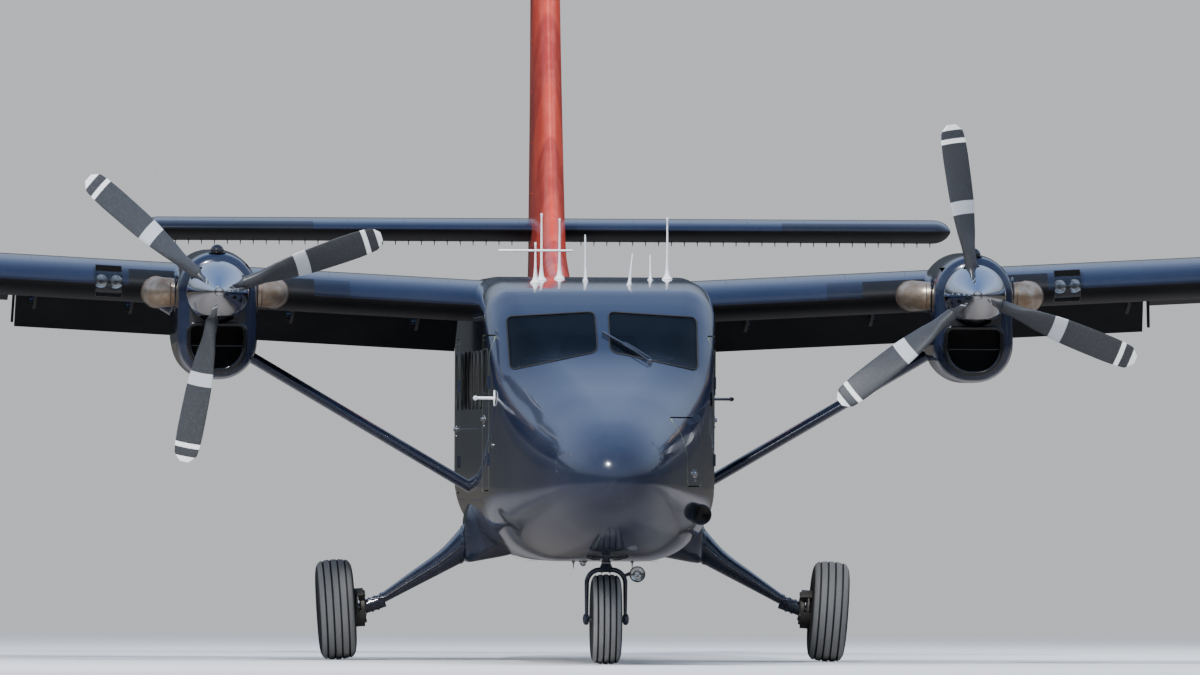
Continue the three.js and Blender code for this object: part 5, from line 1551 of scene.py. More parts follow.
def axleMesh(wheel):
    end = wheel["half"] * 0.45
    profile = [(0, -0.215), (wheel["bore"] - 0.001, -0.215), (wheel["bore"] - 0.001, end + 0.0005),
        (0.05, end + 0.0005), (0.058, end + 0.004), (0.058, end + 0.014), (0.05, end + 0.02),
        (0.02, end + 0.022), (0, end + 0.022)]
    return moved(lathe(profile, 40), wheelPlace(wheel))


bothSides("gear_fairing", fairingMesh(), "airframe", "navy_paint", gearPaint, 40)
bothSides("main_gear_leg", mainLegMesh(), "airframe", "gear_paint", gearPaint, 40)
bothSides("main_brake", brakeMesh(), "airframe", "gear_paint", brakeIron, 35, "")
bothSides("main_axle", axleMesh(mainWheel), "airframe", "gear_paint", steel, 35, "")

# Brake pipes clipped along the front of the legs.
pipe = [Vector((x, yAt(mainWheel["station"]) - float(legRows.read("half", x)) - 0.006,
                float(legRows.read("low", x) + legRows.read("high", x)) / 2)) for x in spread(0.92, 1.5, 8)]
hub = wheelPlace(mainWheel) @ Vector((-0.07, -0.215, 0.05))
pipe += [Vector((1.6, yAt(6.06), 0.46)), Vector((1.64, yAt(6.07), 0.44)), hub]
clips = [turned([(0.003, -0.006), (0.0095, -0.006), (0.0095, 0.006), (0.003, 0.006)], pipe[i], pipe[i + 1],
    12) for i in (1, 3, 5)]
bothSides("brake_pipe", joined(tube(smoothPath(pipe, 6), 0.0045, 10), *clips), "airframe", "gear_paint",
    steel, 40, "")

noseGear = {"halfSpan": 0.1435, "bowTop": 0.702, "axleReach": 0.17,
    "stemFoot": 0.7525, "legTop": 0.9, "forkWide": 0.0185, "forkDeep": 0.036}


def noseLegMesh():
    station = yAt(noseWheel["station"])
    up = (0, station, 9)
    foot, top = noseGear["stemFoot"], noseGear["legTop"]
    stem = turned([(0, foot), (0.034, foot), (0.037, 0.757), (0.037, 0.763), (0.03, 0.768), (0.03, top),
        (0, top)], (0, station, 0), up, 48)
    collar = turned([(0.0295, 0.786), (0.048, 0.786), (0.052, 0.79), (0.052, 0.797), (0.06, 0.801),
        (0.06, top), (0.0295, top)], (0, station, 0), up, 48)
    horn = [joined(tube([(side * 0.05, station - 0.02, 0.783), (side * 0.1, station - 0.05, 0.785),
        (side * 0.15, station - 0.13, 0.80), (side * 0.16, station - 0.19, 0.84)], 0.011, 14),
        tube([(side * 0.1, station - 0.05, 0.785), (side * 0.14, station + 0.1, 0.8),
        (side * 0.15, station + 0.2, 0.83)], 0.009, 12)) for side in (1, -1)]
    return cut(joined(stem, collar), hull(skinSection, 1.2, 2.2)), cut(joined(*horn),
        hull(skinSection, 1.2, 2.2))


def noseForkMesh():
    station = yAt(noseWheel["station"])
    middle = noseGear["halfSpan"]
    path = [(-middle, station, z) for z in spread(0.305, 0.585, 12)]
    path += [(-middle + 0.098 * (1 - math.cos(a)), station, 0.6 + 0.102 * math.sin(a))
             for a in spread(0.12, math.pi / 2, 12)]
    path += [(x, station, noseGear["bowTop"]) for x in spread(-0.02, 0.0, 2)]
    path += [(-x, y, z) for x, y, z in path[-2::-1]]
    count = len(path)
    depths = [noseGear["forkDeep"] * (0.62 + 0.38 * min(1, 2 * min(i, count - 1 - i) / count + 0.25))
        for i in range(count)]
    widths = [noseGear["forkWide"] * (0.68 + 0.32 * min(1, 3.2 * min(i, count - 1 - i) / count))
        for i in range(count)]
    bow = sweep(path, widths, depths, (0, 1, 0), 28)
    boss = turned([(0, 0.69), (0.056, 0.69), (0.06, 0.7), (0.044, 0.728), (0.034, 0.7515), (0, 0.7515)],
                  (0, station, 0), (0, station, 9), 48)
    made = [bow, boss]
    for side in (1, -1):
        made.append(turned([(0, 0.125), (0.03, 0.126), (0.041, 0.134), (0.0445, 0.147), (0.041, 0.16),
            (0.029, 0.169), (0.014, 0.1715), (0, 0.172)], (0, station, noseWheel["radius"]),
            (side, station, noseWheel["radius"]), 40))
        made.append(sweep([(side * 0.03, station + 0.05, 0.69), (side * 0.03, station + 0.1, 0.7),
                           (side * 0.028, station + 0.125, 0.735)], [0.007] * 3, [0.016] * 3, (0, 0, 1), 12))
    arm = sweep([(0.14, station - 0.015, 0.66), (0.17, station - 0.015, 0.672),
        (0.2, station - 0.012, 0.672)], [0.012, 0.014, 0.012], [0.016, 0.016, 0.016], (0, 1, 0), 16)
    reach, thick = noseGear["axleReach"], noseWheel["bore"] - 0.001
    axle = turned([(0, -reach), (thick, -reach), (thick, reach), (0, reach)],
        (0, station, noseWheel["radius"]), (1, station, noseWheel["radius"]), 32)
    return joined(*made, arm), axle


taxiLamp = {"x": 0.23, "z": 0.67, "radius": 0.06, "front": 1.55, "back": 1.65}
stem, horn = noseLegMesh()
dress("nose_leg_skin", softened(stem, 35), "airframe", "gear_paint", gearPaint, "nose_leg")
dress("nose_steering_links", softened(horn, 35), "airframe", "gear_paint", steel)
fork, axle = noseForkMesh()
dress("nose_fork_skin", softened(fork, 35), "nose_fork", "gear_paint", gearPaint, "nose_fork")
dress("nose_axle", softened(axle, 35), "nose_fork", "gear_paint", steel)
start = (taxiLamp["x"], yAt(taxiLamp["front"]), taxiLamp["z"])
end = (taxiLamp["x"], yAt(taxiLamp["back"]), taxiLamp["z"])
radius = taxiLamp["radius"]
shell = [(0, 0.1), (0.012, 0.1), (0.03, 0.094), (0.048, 0.072), (0.056, 0.04), (0.056, 0.018),
    (radius, 0.016), (radius, 0.002), (0.055, 0.0), (0.052, 0.003), (0.052, 0.04), (0.044, 0.066),
    (0.028, 0.088), (0, 0.094)]
dress("taxi_lamp_shell", softened(turned(shell, start, end, 48), 35), "nose_fork", "gear_paint", glossBlack)
bowl = [(0, 0.06), (0.02, 0.055), (0.036, 0.04), (0.05, 0.012), (0.0515, 0.012), (0.038, 0.043),
    (0.021, 0.058), (0, 0.063)]
dress("taxi_lamp_reflector", softened(turned(bowl, start, end, 48), 35), "nose_fork", "panel_metal",
    reflector)
face = [(0, -0.004), (0.03, -0.002), (0.05, 0.004), (0.0518, 0.007), (0.0518, 0.01), (0.03, 0.002), (0, 0.0)]
dress("taxi_lamp_lens", softened(turned(face, start, end, 48), 35), "nose_fork", "windscreen_glass",
    lampGlass)
print("landing gear")

# Halves the way between a place inside the skin and one outside it. Gives the last place on each side.
def edgesOf(placeAt, inner, outer, out, section=skinSection):
    for _ in range(30):
        middle = (inner + outer) / 2
        inside = boxyDistance(section, np.array([placeAt(middle)]))[0] < out
        inner, outer = (middle, outer) if inside else (inner, middle)
    return inner, outer


# Places on the skin: forwards from a spot in the front view, sideways from one in the side view, up or down.
def onFront(x, z, out=0.0, section=skinSection):
    return Vector((x, yAt(edgesOf(lambda station: (x, yAt(station), z), 3.6, -0.01, out, section)[0]), z))


def onSide(side, station, z, out=0.0):
    return Vector((side * edgesOf(lambda x: (x, yAt(station), z), 0.0, 1.2, out)[1], yAt(station), z))


def onTop(x, station, out=0.0):
    return Vector((x, yAt(station), edgesOf(lambda z: (x, yAt(station), z), 1.5, 3.2, out)[1]))


def onBelly(x, station, out=0.0):
    return Vector((x, yAt(station), edgesOf(lambda z: (x, yAt(station), z), 1.6, 0.4, out)[1]))


def skinNormal(place):
    return Vector(boxyNormals(skinSection, np.array([tuple(place)]))[0])


roofFittings = {
    "whips": [(-0.398, 4.1, 3.37), (-0.232, 4.9, 3.34), (0.58, 4.9, 3.35), (-0.462, 3.6, 3.15)],
    "blades": [(-0.076, 3.9, 3.21, 0.0), (0.238, 3.5, 3.07, 0.026), (0.432, 4.4, 3.065, 0.0)],
    "crossBar": {"from": -0.74, "to": -0.18, "station": 3.6, "height": 3.086},
}


def whip(x, station, top):
    foot = onTop(x, station).z
    profile = [(0, -0.02), (0.04, -0.02), (0.04, 0.004), (0.034, 0.01), (0.02, 0.03), (0.013, 0.075),
        (0.0095, 0.12), (0.006, top - foot - 0.03), (0.0085, top - foot - 0.02),
        (0.0085, top - foot - 0.004), (0, top - foot)]
    return turned(profile, (x, yAt(station), foot), (x, yAt(station), 9), 24)


def bladeAntenna(x, station, top, lean):
    foot = onTop(x, station).z
    rings = []
    for t, chord, thick in ((-0.1, 0.075, 0.021), (0.03, 0.075, 0.021), (0.05, 0.066, 0.014),
            (0.3, 0.05, 0.01), (0.7, 0.036, 0.0075), (0.93, 0.028, 0.0065), (1.0, 0.02, 0.003)):
        z = foot + t * (top - foot)
        middle = yAt(station) + 0.055 * t
        rings.append([(x + lean * t + thick * math.cos(a), middle + chord * math.sin(a), z)
                      for a in np.linspace(0, 2 * math.pi, 28, endpoint=False)])
    return loft(rings)


bar = roofFittings["crossBar"]
roof = [whip(*row) for row in roofFittings["whips"]] + [bladeAntenna(*row) for row in roofFittings["blades"]]
roof.append(tube([(bar["from"], yAt(bar["station"]), bar["height"]), (bar["from"] + 0.01, yAt(bar["station"]),
    bar["height"]), (bar["to"] - 0.01, yAt(bar["station"]), bar["height"]),
    (bar["to"], yAt(bar["station"]), bar["height"])], [0.004, 0.0085, 0.0085, 0.004], 14))
dress("roof_antennas", softened(joined(*roof), 40), "airframe", "panel_metal", antennaWhite)

pitot = {"station": 2.3, "height": 1.975, "reach": 0.955, "front": 2.15, "back": 2.345}


def pitotMesh(side):
    height, reach = pitot["height"], pitot["reach"]
    root = onSide(1, pitot["station"], height).x
    mast = []
    for t in np.linspace(0, 1, 8):
        x = root - 0.02 + (reach - root + 0.02) * t
        chord = 0.055 - 0.03 * t
        mast.append([(side * x, yAt(pitot["station"]) + 0.02 * t + chord * math.sin(a),
            height + 0.011 * math.cos(a)) for a in np.linspace(0, 2 * math.pi, 24, endpoint=False)])
    start, end = yAt(pitot["front"]), yAt(pitot["back"])
    length = end - start
    head = turned([(0.005, 0), (0.011, 0), (0.0155, 0.02), (0.017, 0.06), (0.017, length - 0.05),
        (0.012, length - 0.01), (0, length), (0, 0.03), (0.005, 0.028)], (side * reach, start, height),
        (side * reach, 9, height), 24)
    base = onSide(1, pitot["station"], height, 0.002)
    flange = turned([(0, -0.004), (0.06, -0.004), (0.06, 0.003), (0.052, 0.006), (0, 0.006)],
                    (side * base.x, base.y, base.z), (side * 5, base.y, base.z), 32)
    return joined(loft(mast), head, flange)


dress("pitot_right", softened(pitotMesh(-1), 40), "airframe", "panel_metal", antennaWhite)
dress("pitot_left", softened(pitotMesh(1), 40), "airframe", "panel_metal", glossBlack)

# A duct scoop low on the port side of the nose.
scoopPath = [(0.704, 1.612, 1.116), (0.702, 1.66, 1.116), (0.694, 1.75, 1.118), (0.676, 1.87, 1.121),
    (0.63, 2.0, 1.128), (0.56, 2.12, 1.14)]
path = smoothPath([(x, yAt(station), z) for x, station, z in scoopPath], 6)
radii = [0.078 - 0.012 * max(0, (i - 16) / (len(path) - 17)) for i in range(len(path))]
inner = path[:14]
inner.insert(0, path[0] - (path[1] - path[0]).normalized() * 0.02)
duct = cut(tube(path, radii, 40), tube(inner, [0.067] * len(inner), 40))
lip = ringTube([path[0] + Vector((0.0725 * math.cos(a), 0, 0.0725 * math.sin(a)))
                for a in np.linspace(0, 2 * math.pi, 56, endpoint=False)], 0.0065)
dress("nose_scoop", softened(joined(duct, lip), 40), "airframe", "navy_paint", glossBlack)

# Rubber beads round the panes and the windows.
beads = []
for side in (1, -1):
    outline = rounded([(side * x, z) for x, z in paneOutline], paneCorner)
    dense = []
    for i, here in enumerate(outline):
        after = outline[(i + 1) % len(outline)]
        count = max(1, int((after - here).length / 0.03))
        dense += [here.lerp(after, k / count) for k in range(count)]
    beads.append(ringTube([onFront(p[0], p[1], 0.0015) for p in dense], 0.0065, 8))
dress("windshield_seals", softened(joined(*beads), 60), "airframe", "dark_plastic", sealRubber)


def sideBead(side, span, rise, corner, radius, out=0.001):
    outline = rectangle(span, rise, corner)
    dense = []
    for i, here in enumerate(outline):
        after = outline[(i + 1) % len(outline)]
        count = max(1, int((after - here).length / 0.05))
        dense += [here.lerp(after, k / count) for k in range(count)]
    return ringTube([onSide(side, p[0], p[1], out) for p in dense], radius, 8)


for name, (side, stations) in windowStations.items():
    half = cabinWindow["width"] / 2
    meshes = [sideBead(side, (station - half, station + half), cabinWindow["rise"], cabinWindow["corner"],
        0.006) for station in stations]
    dress(name + "_window_seals", softened(joined(*meshes), 60), name if "door" in name else "airframe",
          "dark_plastic", sealRubber)
for side, name in ((1, "crew_door_left"), (-1, "crew_door_right")):
    dress(name + "_window_seal", softened(sideBead(side, *crewWindow, 0.006), 60), name, "dark_plastic",
        sealRubber)
print("roof and nose fittings")

# A flush handle and a keyhole on each door.
doorHandles = {"nose_bay_door": (1.36, 1.42), "crew_door_left": (3.06, 1.82), "crew_door_right": (3.06, 1.82),
    "cargo_door_front": (7.93, 1.78), "cargo_door_rear": (8.19, 1.78), "passenger_door": (8.64, 1.75),
    "rear_bay_door": (9.8, 1.9)}


def doorHandle(side, station, z):
    place = onSide(side, station, z)
    out = skinNormal((abs(place.x), place.y, place.z))
    out.x *= side
    up = Vector((0, 0, 1))
    along = out.cross(up).normalized()
    up = along.cross(out).normalized()
    frameOf = Matrix((( along.x, up.x, out.x, place.x), (along.y, up.y, out.y, place.y),
                      (along.z, up.z, out.z, place.z), (0, 0, 0, 1)))
    plate = loft([[(p[0], p[1], h) for p in rectangle((-w, w), (-t, t), 0.02)]
                  for w, t, h in ((0.075, 0.032, -0.004), (0.075, 0.032, 0.002), (0.071, 0.028, 0.0035))])
    lever = loft([[(p[0], p[1], h) for p in rectangle((-w, w), (-t, t), 0.009)]
                  for w, t, h in ((0.06, 0.011, 0.002), (0.06, 0.011, 0.012), (0.056, 0.008, 0.015))])
    pivot = lathe([(0, -0.002), (0.015, -0.002), (0.015, 0.016), (0.012, 0.019), (0, 0.019)], 24)
    pivot = moved(pivot, Matrix.Translation((0.045, 0, 0)) @ Matrix.Rotation(math.pi / 2, 4, "X"))
    lock = lathe([(0, -0.002), (0.009, -0.002), (0.009, 0.005), (0.004, 0.006), (0.0035, 0.002), (0, 0.002)],
        20)
    lock = moved(lock, Matrix.Translation((-0.03, -0.052, 0)) @ Matrix.Rotation(math.pi / 2, 4, "X"))
    made = moved(joined(plate, lever, pivot, lock), frameOf)
    return turnOutwards(made)


for name, place in doorHandles.items():
    dress(name + "_handle", softened(doorHandle(doorway[name][0], *place), 35), name, "panel_metal",
        bareMetal)
print("door fittings")

# Landing lamps behind a clear front piece of the wing.
lamp = {"shell": 0.004, "bulbs": (3.565, 3.675), "station": 5.3, "radius": 0.046, "depth": 0.055}
lens = cut(keep(wingShape(), lampRegion()), wingShape(-lamp["shell"]))
reflectors, bulbs = [], []
for x in lamp["bulbs"]:
    place = (wingPoint(x, 0.05, 1) + wingPoint(x, 0.05, -1)) / 2
    place.y = yAt(lamp["station"])
    radius, depth = lamp["radius"], lamp["depth"]
    bowl = [(radius * t, depth * (1 - t * t)) for t in spread(0, 1, 10)]
    profile = bowl + [(radius + 0.004, -0.002), (radius + 0.004, 0.004)] + [(r + 0.004, a + 0.004) for r,
        a in bowl[-2::-1]]
    reflectors.append(turned(profile, place, place + Vector((0, 1, 0)), 40))
    bulbs.append(turned([(0, -0.012), (0.012, -0.008), (0.017, 0.004), (0.013, 0.018), (0.008, 0.03),
        (0.008, 0.05), (0, 0.05)], place, place + Vector((0, 1, 0)), 24))
back = keep(wingShape(-0.0005), slab((5.352, 5.36), (2, 4), (lampSlice["x"][0], lampSlice["x"][1])))
ribs = [keep(wingShape(-0.0005), slab((5.2, 5.36), (2, 4), (x, x + 0.002))) for x in (3.521, 3.717)]
bothSides("landing_lamp_lens", lens, "airframe", "windscreen_glass", lampGlass, node="landing_lamp")
bothSides("landing_lamp_reflectors", joined(*reflectors), "airframe", "panel_metal", reflector, node="")
bothSides("landing_lamp_bulbs", joined(*bulbs), "airframe", "panel_metal", lampGlass, node="")
bothSides("landing_lamp_housing", joined(back, *ribs), "airframe", "panel_metal", glossBlack, node="")
print("landing lamps")

# A wiper on the port pane: two arms side by side and a braced blade.
wiper = {"pivot": (0.335, 2.242), "arm": (0.15, 2.366), "blade": ((-0.005, 2.455), (0.315, 2.272)),
    "rungs": 13}


def wiperMesh():
    def at(point, out):
        place = onFront(point[0], point[1])
        return place + skinNormal(place) * out
    pivot = at(wiper["pivot"], -0.01)
    out = skinNormal(pivot)
    made = [turned([(0, 0), (0.017, 0), (0.017, 0.03), (0.012, 0.038), (0, 0.038)], pivot, pivot + out, 24)]
    start, end = (Vector(p) for p in wiper["blade"])
    ways = [start.lerp(end, t) for t in spread(0, 1, 12)]
    rubber = [at(p, 0.012) for p in ways]
    spine = [at(p, 0.026) for p in ways]
    made.append(sweep(rubber, [0.0025] * 12, [0.01] * 12, out, 10))
    made.append(sweep(spine, [0.006] * 12, [0.0025] * 12, out, 10))
    for t in spread(0.04, 0.96, wiper["rungs"]):
        made.append(tube([at(start.lerp(end, t), 0.014), at(start.lerp(end, t), 0.027)], 0.0028, 8))
    along = (Vector(wiper["arm"]) - Vector(wiper["pivot"])).normalized()
    beside = Vector((-along.y, along.x)) * 0.011
    for off in (-1, 1):
        line = [Vector(wiper["pivot"]).lerp(Vector(wiper["arm"]), t) + beside * off for t in spread(0, 1, 8)]
        made.append(tube([at(p, 0.026 + 0.006 * math.sin(math.pi * i / 7)) for i, p in enumerate(line)],
            0.0038, 10))
    return joined(*made)


dress("windshield_wiper", softened(wiperMesh(), 35), "airframe", "panel_metal", steel)

# Rods and a clear lamp under the belly, and ports on the sides.
belly = {"rods": ((-0.19, 3.0, 0.055), (0.25, 3.0, 0.06)), "lamp": (-0.133, 2.6)}
small = []
for x, station, length in belly["rods"]:
    foot = onBelly(x, station)
    small.append(turned([(0, -0.01), (0.016, -0.01), (0.016, 0.003), (0.007, 0.01), (0.004, length * 0.6),
                         (0.0025, length), (0, length)], foot, foot - Vector((0, 0, 1)), 20))
for side in (1, -1):
    for station, z in ((2.36, 1.62), (2.44, 1.62), (9.0, 1.95)):
        place = onSide(side, station, z)
        small.append(turned([(0.004, -0.002), (0.02, -0.002), (0.02, 0.001), (0.017, 0.002), (0.004, 0.002)],
            place, place + Vector((side, 0, 0)), 24))
dress("belly_rods", softened(joined(*small), 35), "airframe", "panel_metal", steel)
foot = onBelly(*belly["lamp"])
down = foot - Vector((0, 0, 1))
dress("belly_lamp_base", softened(turned([(0, -0.01), (0.034, -0.01), (0.034, 0.004), (0.03, 0.008),
    (0, 0.008)], foot, down, 40), 35), "airframe", "panel_metal", steel)
dome = [(0.012, 0.0085), (0.026, 0.0085)] + [(0.026 * math.cos(a), 0.014 + 0.026 * math.sin(a))
    for a in spread(0, 1.57, 10)]
dome += [(0.024 * math.cos(a), 0.014 + 0.024 * math.sin(a)) for a in spread(1.57, 0, 10)] + [(0.012, 0.0105)]
dress("belly_lamp_glass", softened(turned(dome, foot, down, 40), 35), "airframe", "windscreen_glass",
    lampGlass)
bulb = [(0, 0.0085), (0.01, 0.0085), (0.01, 0.02), (0.007, 0.028), (0, 0.03)]
dress("belly_lamp_bulb", softened(turned(bulb, foot, down, 24), 35), "airframe", "panel_metal", reflector)

# Lamps on the wing tips, static wicks on the trailing edges.
tipLamp = {"x": 9.86, "along": 0.075, "radius": 0.026, "length": 0.11}
place = (wingPoint(tipLamp["x"], tipLamp["along"], 1) + wingPoint(tipLamp["x"], tipLamp["along"], -1)) / 2
drop = [(0, 0)] + [(tipLamp["radius"] * math.sin(math.pi * t) ** 0.7, tipLamp["length"] * t)
    for t in spread(0.04, 0.96, 14)]
drop += [(0, tipLamp["length"])]
lampMesh = turned(drop, place - Vector((0, 0.03, 0)), place + Vector((0, 1, 0)), 28)
dress("tip_lamp_left", softened(lampMesh, 40), "airframe", "windscreen_glass", redGlass)
dress("tip_lamp_right", softened(mirrored(lampMesh), 40), "airframe", "windscreen_glass", greenGlass)


def wick(place, out):
    out = Vector(out).normalized()
    return turned([(0, -0.02), (0.006, -0.02), (0.006, 0.015), (0.0025, 0.022), (0.0022, 0.09), (0.0035, 0.1),
        (0.0012, 0.118), (0, 0.118)], place, Vector(place) + out, 12)


wicks = [wick(wingPoint(x, 1, 0), (0, 1, 0)) for x in (6.6, 8.0, 9.3)]
bothSides("aileron_wicks", droop(joined(*wicks), aileron), "aileron_{}", "dark_plastic", darkPlastic, 40, "")
wicks = [wick((x, yAt(elevator["trail"]), tailplane["height"]), (0, 1, 0)) for x in (1.6, 2.3, 3.0)]
bothSides("elevator_wicks", joined(*wicks), "elevator_{}", "dark_plastic", darkPlastic, 40, "")

# A clamp with a bracket half way along the port strut.
foot, top = [Vector((x, yAt(station), z)) for x, station, z in (strut["foot"], strut["top"])]
along = (top - foot).normalized()
upwards = along.cross(Vector((0, 1, 0))).normalized()
clampAt = foot + (top - foot) * 0.5
ring = [clampAt + Vector((0, 1, 0)) * (strut["chord"] / 2 + 0.004) * math.cos(a) + upwards
    * (strut["thickness"] / 2 + 0.004) * math.sin(a) for a in np.linspace(0, 2 * math.pi, 40, endpoint=False)]
clamp = ringTube(ring, 0.006, 8, 3.0, along)
bracket = sweep([clampAt - upwards * 0.02 + Vector((0, -0.06, 0)), clampAt + upwards * 0.07
    + Vector((0, -0.06, 0)), clampAt + upwards * 0.085 + Vector((0, -0.03, 0))], [0.004] * 3, [0.022] * 3,
    along, 10)
dress("strut_clamp", softened(joined(clamp, bracket), 40), "airframe", "gear_paint", gearPaint)
print("small outside pieces")

# Crew seats: a padded cushion and back on a metal frame, with belts.
seat = {"x": 0.4, "cushion": ((-0.205, 0.205), (2.765, 3.03), (1.585, 1.64)),
    "back": ((-0.2, 0.2), (3.075, 3.125), (1.64, 2.27)), "voxel": 0.006, "pressure": 4.0, "reach": 0.024,
    "corner": 0.05,
    "plateAt": 0.145, "plateHalf": 0.004, "tubeStation": 3.145}


def evaluated(thing):
    return bpy.data.meshes.new_from_object(thing.evaluated_get(bpy.context.evaluated_depsgraph_get()))


def positions(mesh):
    data = np.zeros(len(mesh.vertices) * 3)
    mesh.vertices.foreach_get("co", data)
    return data.reshape(-1, 3)


# The pad swells under pressure as cloth, and no point moves further than the reach.
def swollen(name, mesh):
    thing = objectOf(name + "_working", mesh)
    remesh = thing.modifiers.new("remesh", "REMESH")
    remesh.mode, remesh.voxel_size = "VOXEL", seat["voxel"]
    thing.data = evaluated(thing)
    thing.modifiers.clear()
    start = positions(thing.data)
    cloth = thing.modifiers.new("cloth", "CLOTH")
    cloth.settings.use_pressure = True
    cloth.settings.uniform_pressure_force = seat["pressure"]
    cloth.settings.effector_weights.gravity = 0
    cloth.point_cache.frame_start, cloth.point_cache.frame_end = 1, 20
    for step in range(1, 21):
        bpy.context.scene.frame_set(step)
    swelled = evaluated(thing)
    shift = positions(swelled) - start
    far = np.linalg.norm(shift, axis=1, keepdims=True)
    shift *= np.minimum(1, seat["reach"] / np.maximum(far, 1e-9))
    thing.modifiers.clear()
    thing.data.vertices.foreach_set("co", (start + shift).ravel())
    bpy.context.scene.frame_set(1)
    fine = thing.modifiers.new("fine", "SUBSURF")
    fine.levels = fine.render_levels = 1
    made = evaluated(thing)
    bpy.data.objects.remove(thing)
    return made


def padShape(box, upright):
    (x0, x1), (y0, y1), (z0, z1) = box
    rings = []
    for t, inset in ((0, 0.022), (0.12, 0.008), (0.3, 0), (0.7, 0), (0.88, 0.008), (1, 0.022)):
        if upright:
            outline = rectangle((x0 + inset, x1 - inset), (z0 + inset, z1 - inset), seat["corner"])
            rings.append([(x, yAt(y0 + t * (y1 - y0)), z) for x, z in outline])
        else:
            outline = rectangle((x0 + inset, x1 - inset), (y0 + inset, y1 - inset), seat["corner"])
            rings.append([(x, yAt(y), z0 + t * (z1 - z0)) for x, y in outline])
    return loft(rings)


def treeOf(mesh):
    return BVHTree.FromPolygons([v.co for v in mesh.vertices], [tuple(p.vertices) for p in mesh.polygons])


def onto(tree, path, out):
    made = []
    for place in path:
        near, normal, _, _ = tree.find_nearest(Vector(place))
        made.append(near + normal * out)
    return made


def seatParts():
    pads = {"cushion": swollen("cushion", padShape(seat["cushion"], False)),
        "back": swollen("back", padShape(seat["back"], True))}
    trees = {kind: treeOf(mesh) for kind, mesh in pads.items()}
    (x0, x1), (y0, y1), (z0, z1) = seat["cushion"]
    beads = []
    for height in (z0 + 0.006, z1 - 0.006):
        outline = rectangle((x0 - 0.01, x1 + 0.01), (y0 - 0.01, y1 + 0.01), seat["corner"], 8)
        beads.append(ringTube(onto(trees["cushion"], [(x, yAt(y), height) for x, y in outline], 0.001),
            0.0032, 8))
    (bx0, bx1), (by0, by1), (bz0, bz1) = seat["back"]
    for station in (by0 + 0.004, by1 - 0.004):
        outline = rectangle((bx0 - 0.01, bx1 + 0.01), (bz0 - 0.01, bz1 + 0.01), seat["corner"], 8)
        beads.append(ringTube(onto(trees["back"], [(x, yAt(station), z) for x, z in outline], 0.001), 0.0032,
            8))
    for z in (1.83, 2.06):
        beads.append(tube(onto(trees["back"], [(x, yAt(by0 - 0.05), z) for x in spread(-0.185, 0.185, 24)],
            0.0004), 0.0028, 8))
    belts = [sweep(onto(trees["cushion"], [(side * x, yAt(y), 1.75) for x, y in
                                          zip(spread(0.19, 0.03, 10), spread(3.0, 2.92, 10))], 0.004),
                   [0.022] * 10, [0.0016] * 10, (0, 0, 1), 12) for side in (1, -1)]
    belts += [sweep(onto(trees["back"], [(side * x, yAt(2.9), z) for x, z in zip(spread(0.09, 0.07, 16),
        spread(2.22, 1.72, 16))], 0.004), [0.022] * 16, [0.0016] * 16, (0, 1, 0), 12) for side in (1, -1)]
    buckle = onto(trees["cushion"], [(0, yAt(2.92), 1.75)], 0.008)[0]
    clasp = turned([(0, -0.006), (0.026, -0.006), (0.028, -0.003), (0.028, 0.006), (0.024, 0.009),
        (0, 0.009)], buckle, buckle + Vector((0, 0, 1)), 32)
    frameParts = []
    for side in (1, -1):
        across = side * seat["plateAt"]
        outline = rounded([(2.8, 1.203), (3.06, 1.203), (3.0, 1.56), (2.84, 1.56)], 0.03)
        hole = rounded([(2.85, 1.26), (3.0, 1.26), (2.965, 1.49), (2.875, 1.49)], 0.03)
        frameParts.append(cut(sidePrism(outline, across - seat["plateHalf"], across + seat["plateHalf"]),
            sidePrism(hole, across - 0.02, across + 0.02)))
        frameParts.append(block((across - 0.02, across + 0.02), (yAt(2.76), yAt(3.1)), (1.2005, 1.212)))
        tubeY = yAt(seat["tubeStation"])
        frameParts.append(tube([(side * 0.2, tubeY, 1.6), (side * 0.2, tubeY, 2.2),
            (side * 0.15, tubeY, 2.26), (0, tubeY, 2.26)], 0.009, 12))
        frameParts.append(tube([(side * 0.225, yAt(3.1), 1.79), (side * 0.228, yAt(2.86), 1.8)],
            [0.014, 0.012], 16))
    for station in (2.86, 2.98):
        frameParts.append(tube([(-0.15, yAt(station), 1.53), (0.15, yAt(station), 1.53)], 0.011, 14))
    tray = sidePrism(rounded([(2.78, 1.556), (3.1, 1.556), (3.1, 1.572), (2.78, 1.572)], 0.006), -0.2, 0.2)
    return pads, joined(*beads), joined(*belts), clasp, joined(*frameParts, tray)


pads, beads, belts, clasp, seatFrame = seatParts()
for side, label in ((1, "left"), (-1, "right")):
    there = Matrix.Translation((side * seat["x"], 0, 0))
    dress(f"seat_frame_{label}", softened(moved(seatFrame.copy(), there), 35), "airframe", "panel_metal",
        bareMetal, f"crew_seat_{label}")
    for kind, mesh in pads.items():
        pad = dress(f"seat_{kind}_{label}", softened(moved(mesh.copy(), there), 180), "airframe",
            "seat_leather", leather)
    dress(f"seat_piping_{label}", softened(moved(beads.copy(), there), 60), "airframe", "seat_leather",
        leather)
    dress(f"seat_belts_{label}", softened(moved(belts.copy(), there), 40), "airframe", "seat_leather",
        webbing)
    dress(f"seat_buckle_{label}", softened(moved(clasp.copy(), there), 40), "airframe", "panel_metal", steel)
print("seats")

# The instrument panel with its hood, dials and centre pedestal, and the column with two yokes.
dash = {"face": 2.39, "low": 1.8, "high": 2.1, "half": 0.68, "dial": 0.038, "small": 0.026}


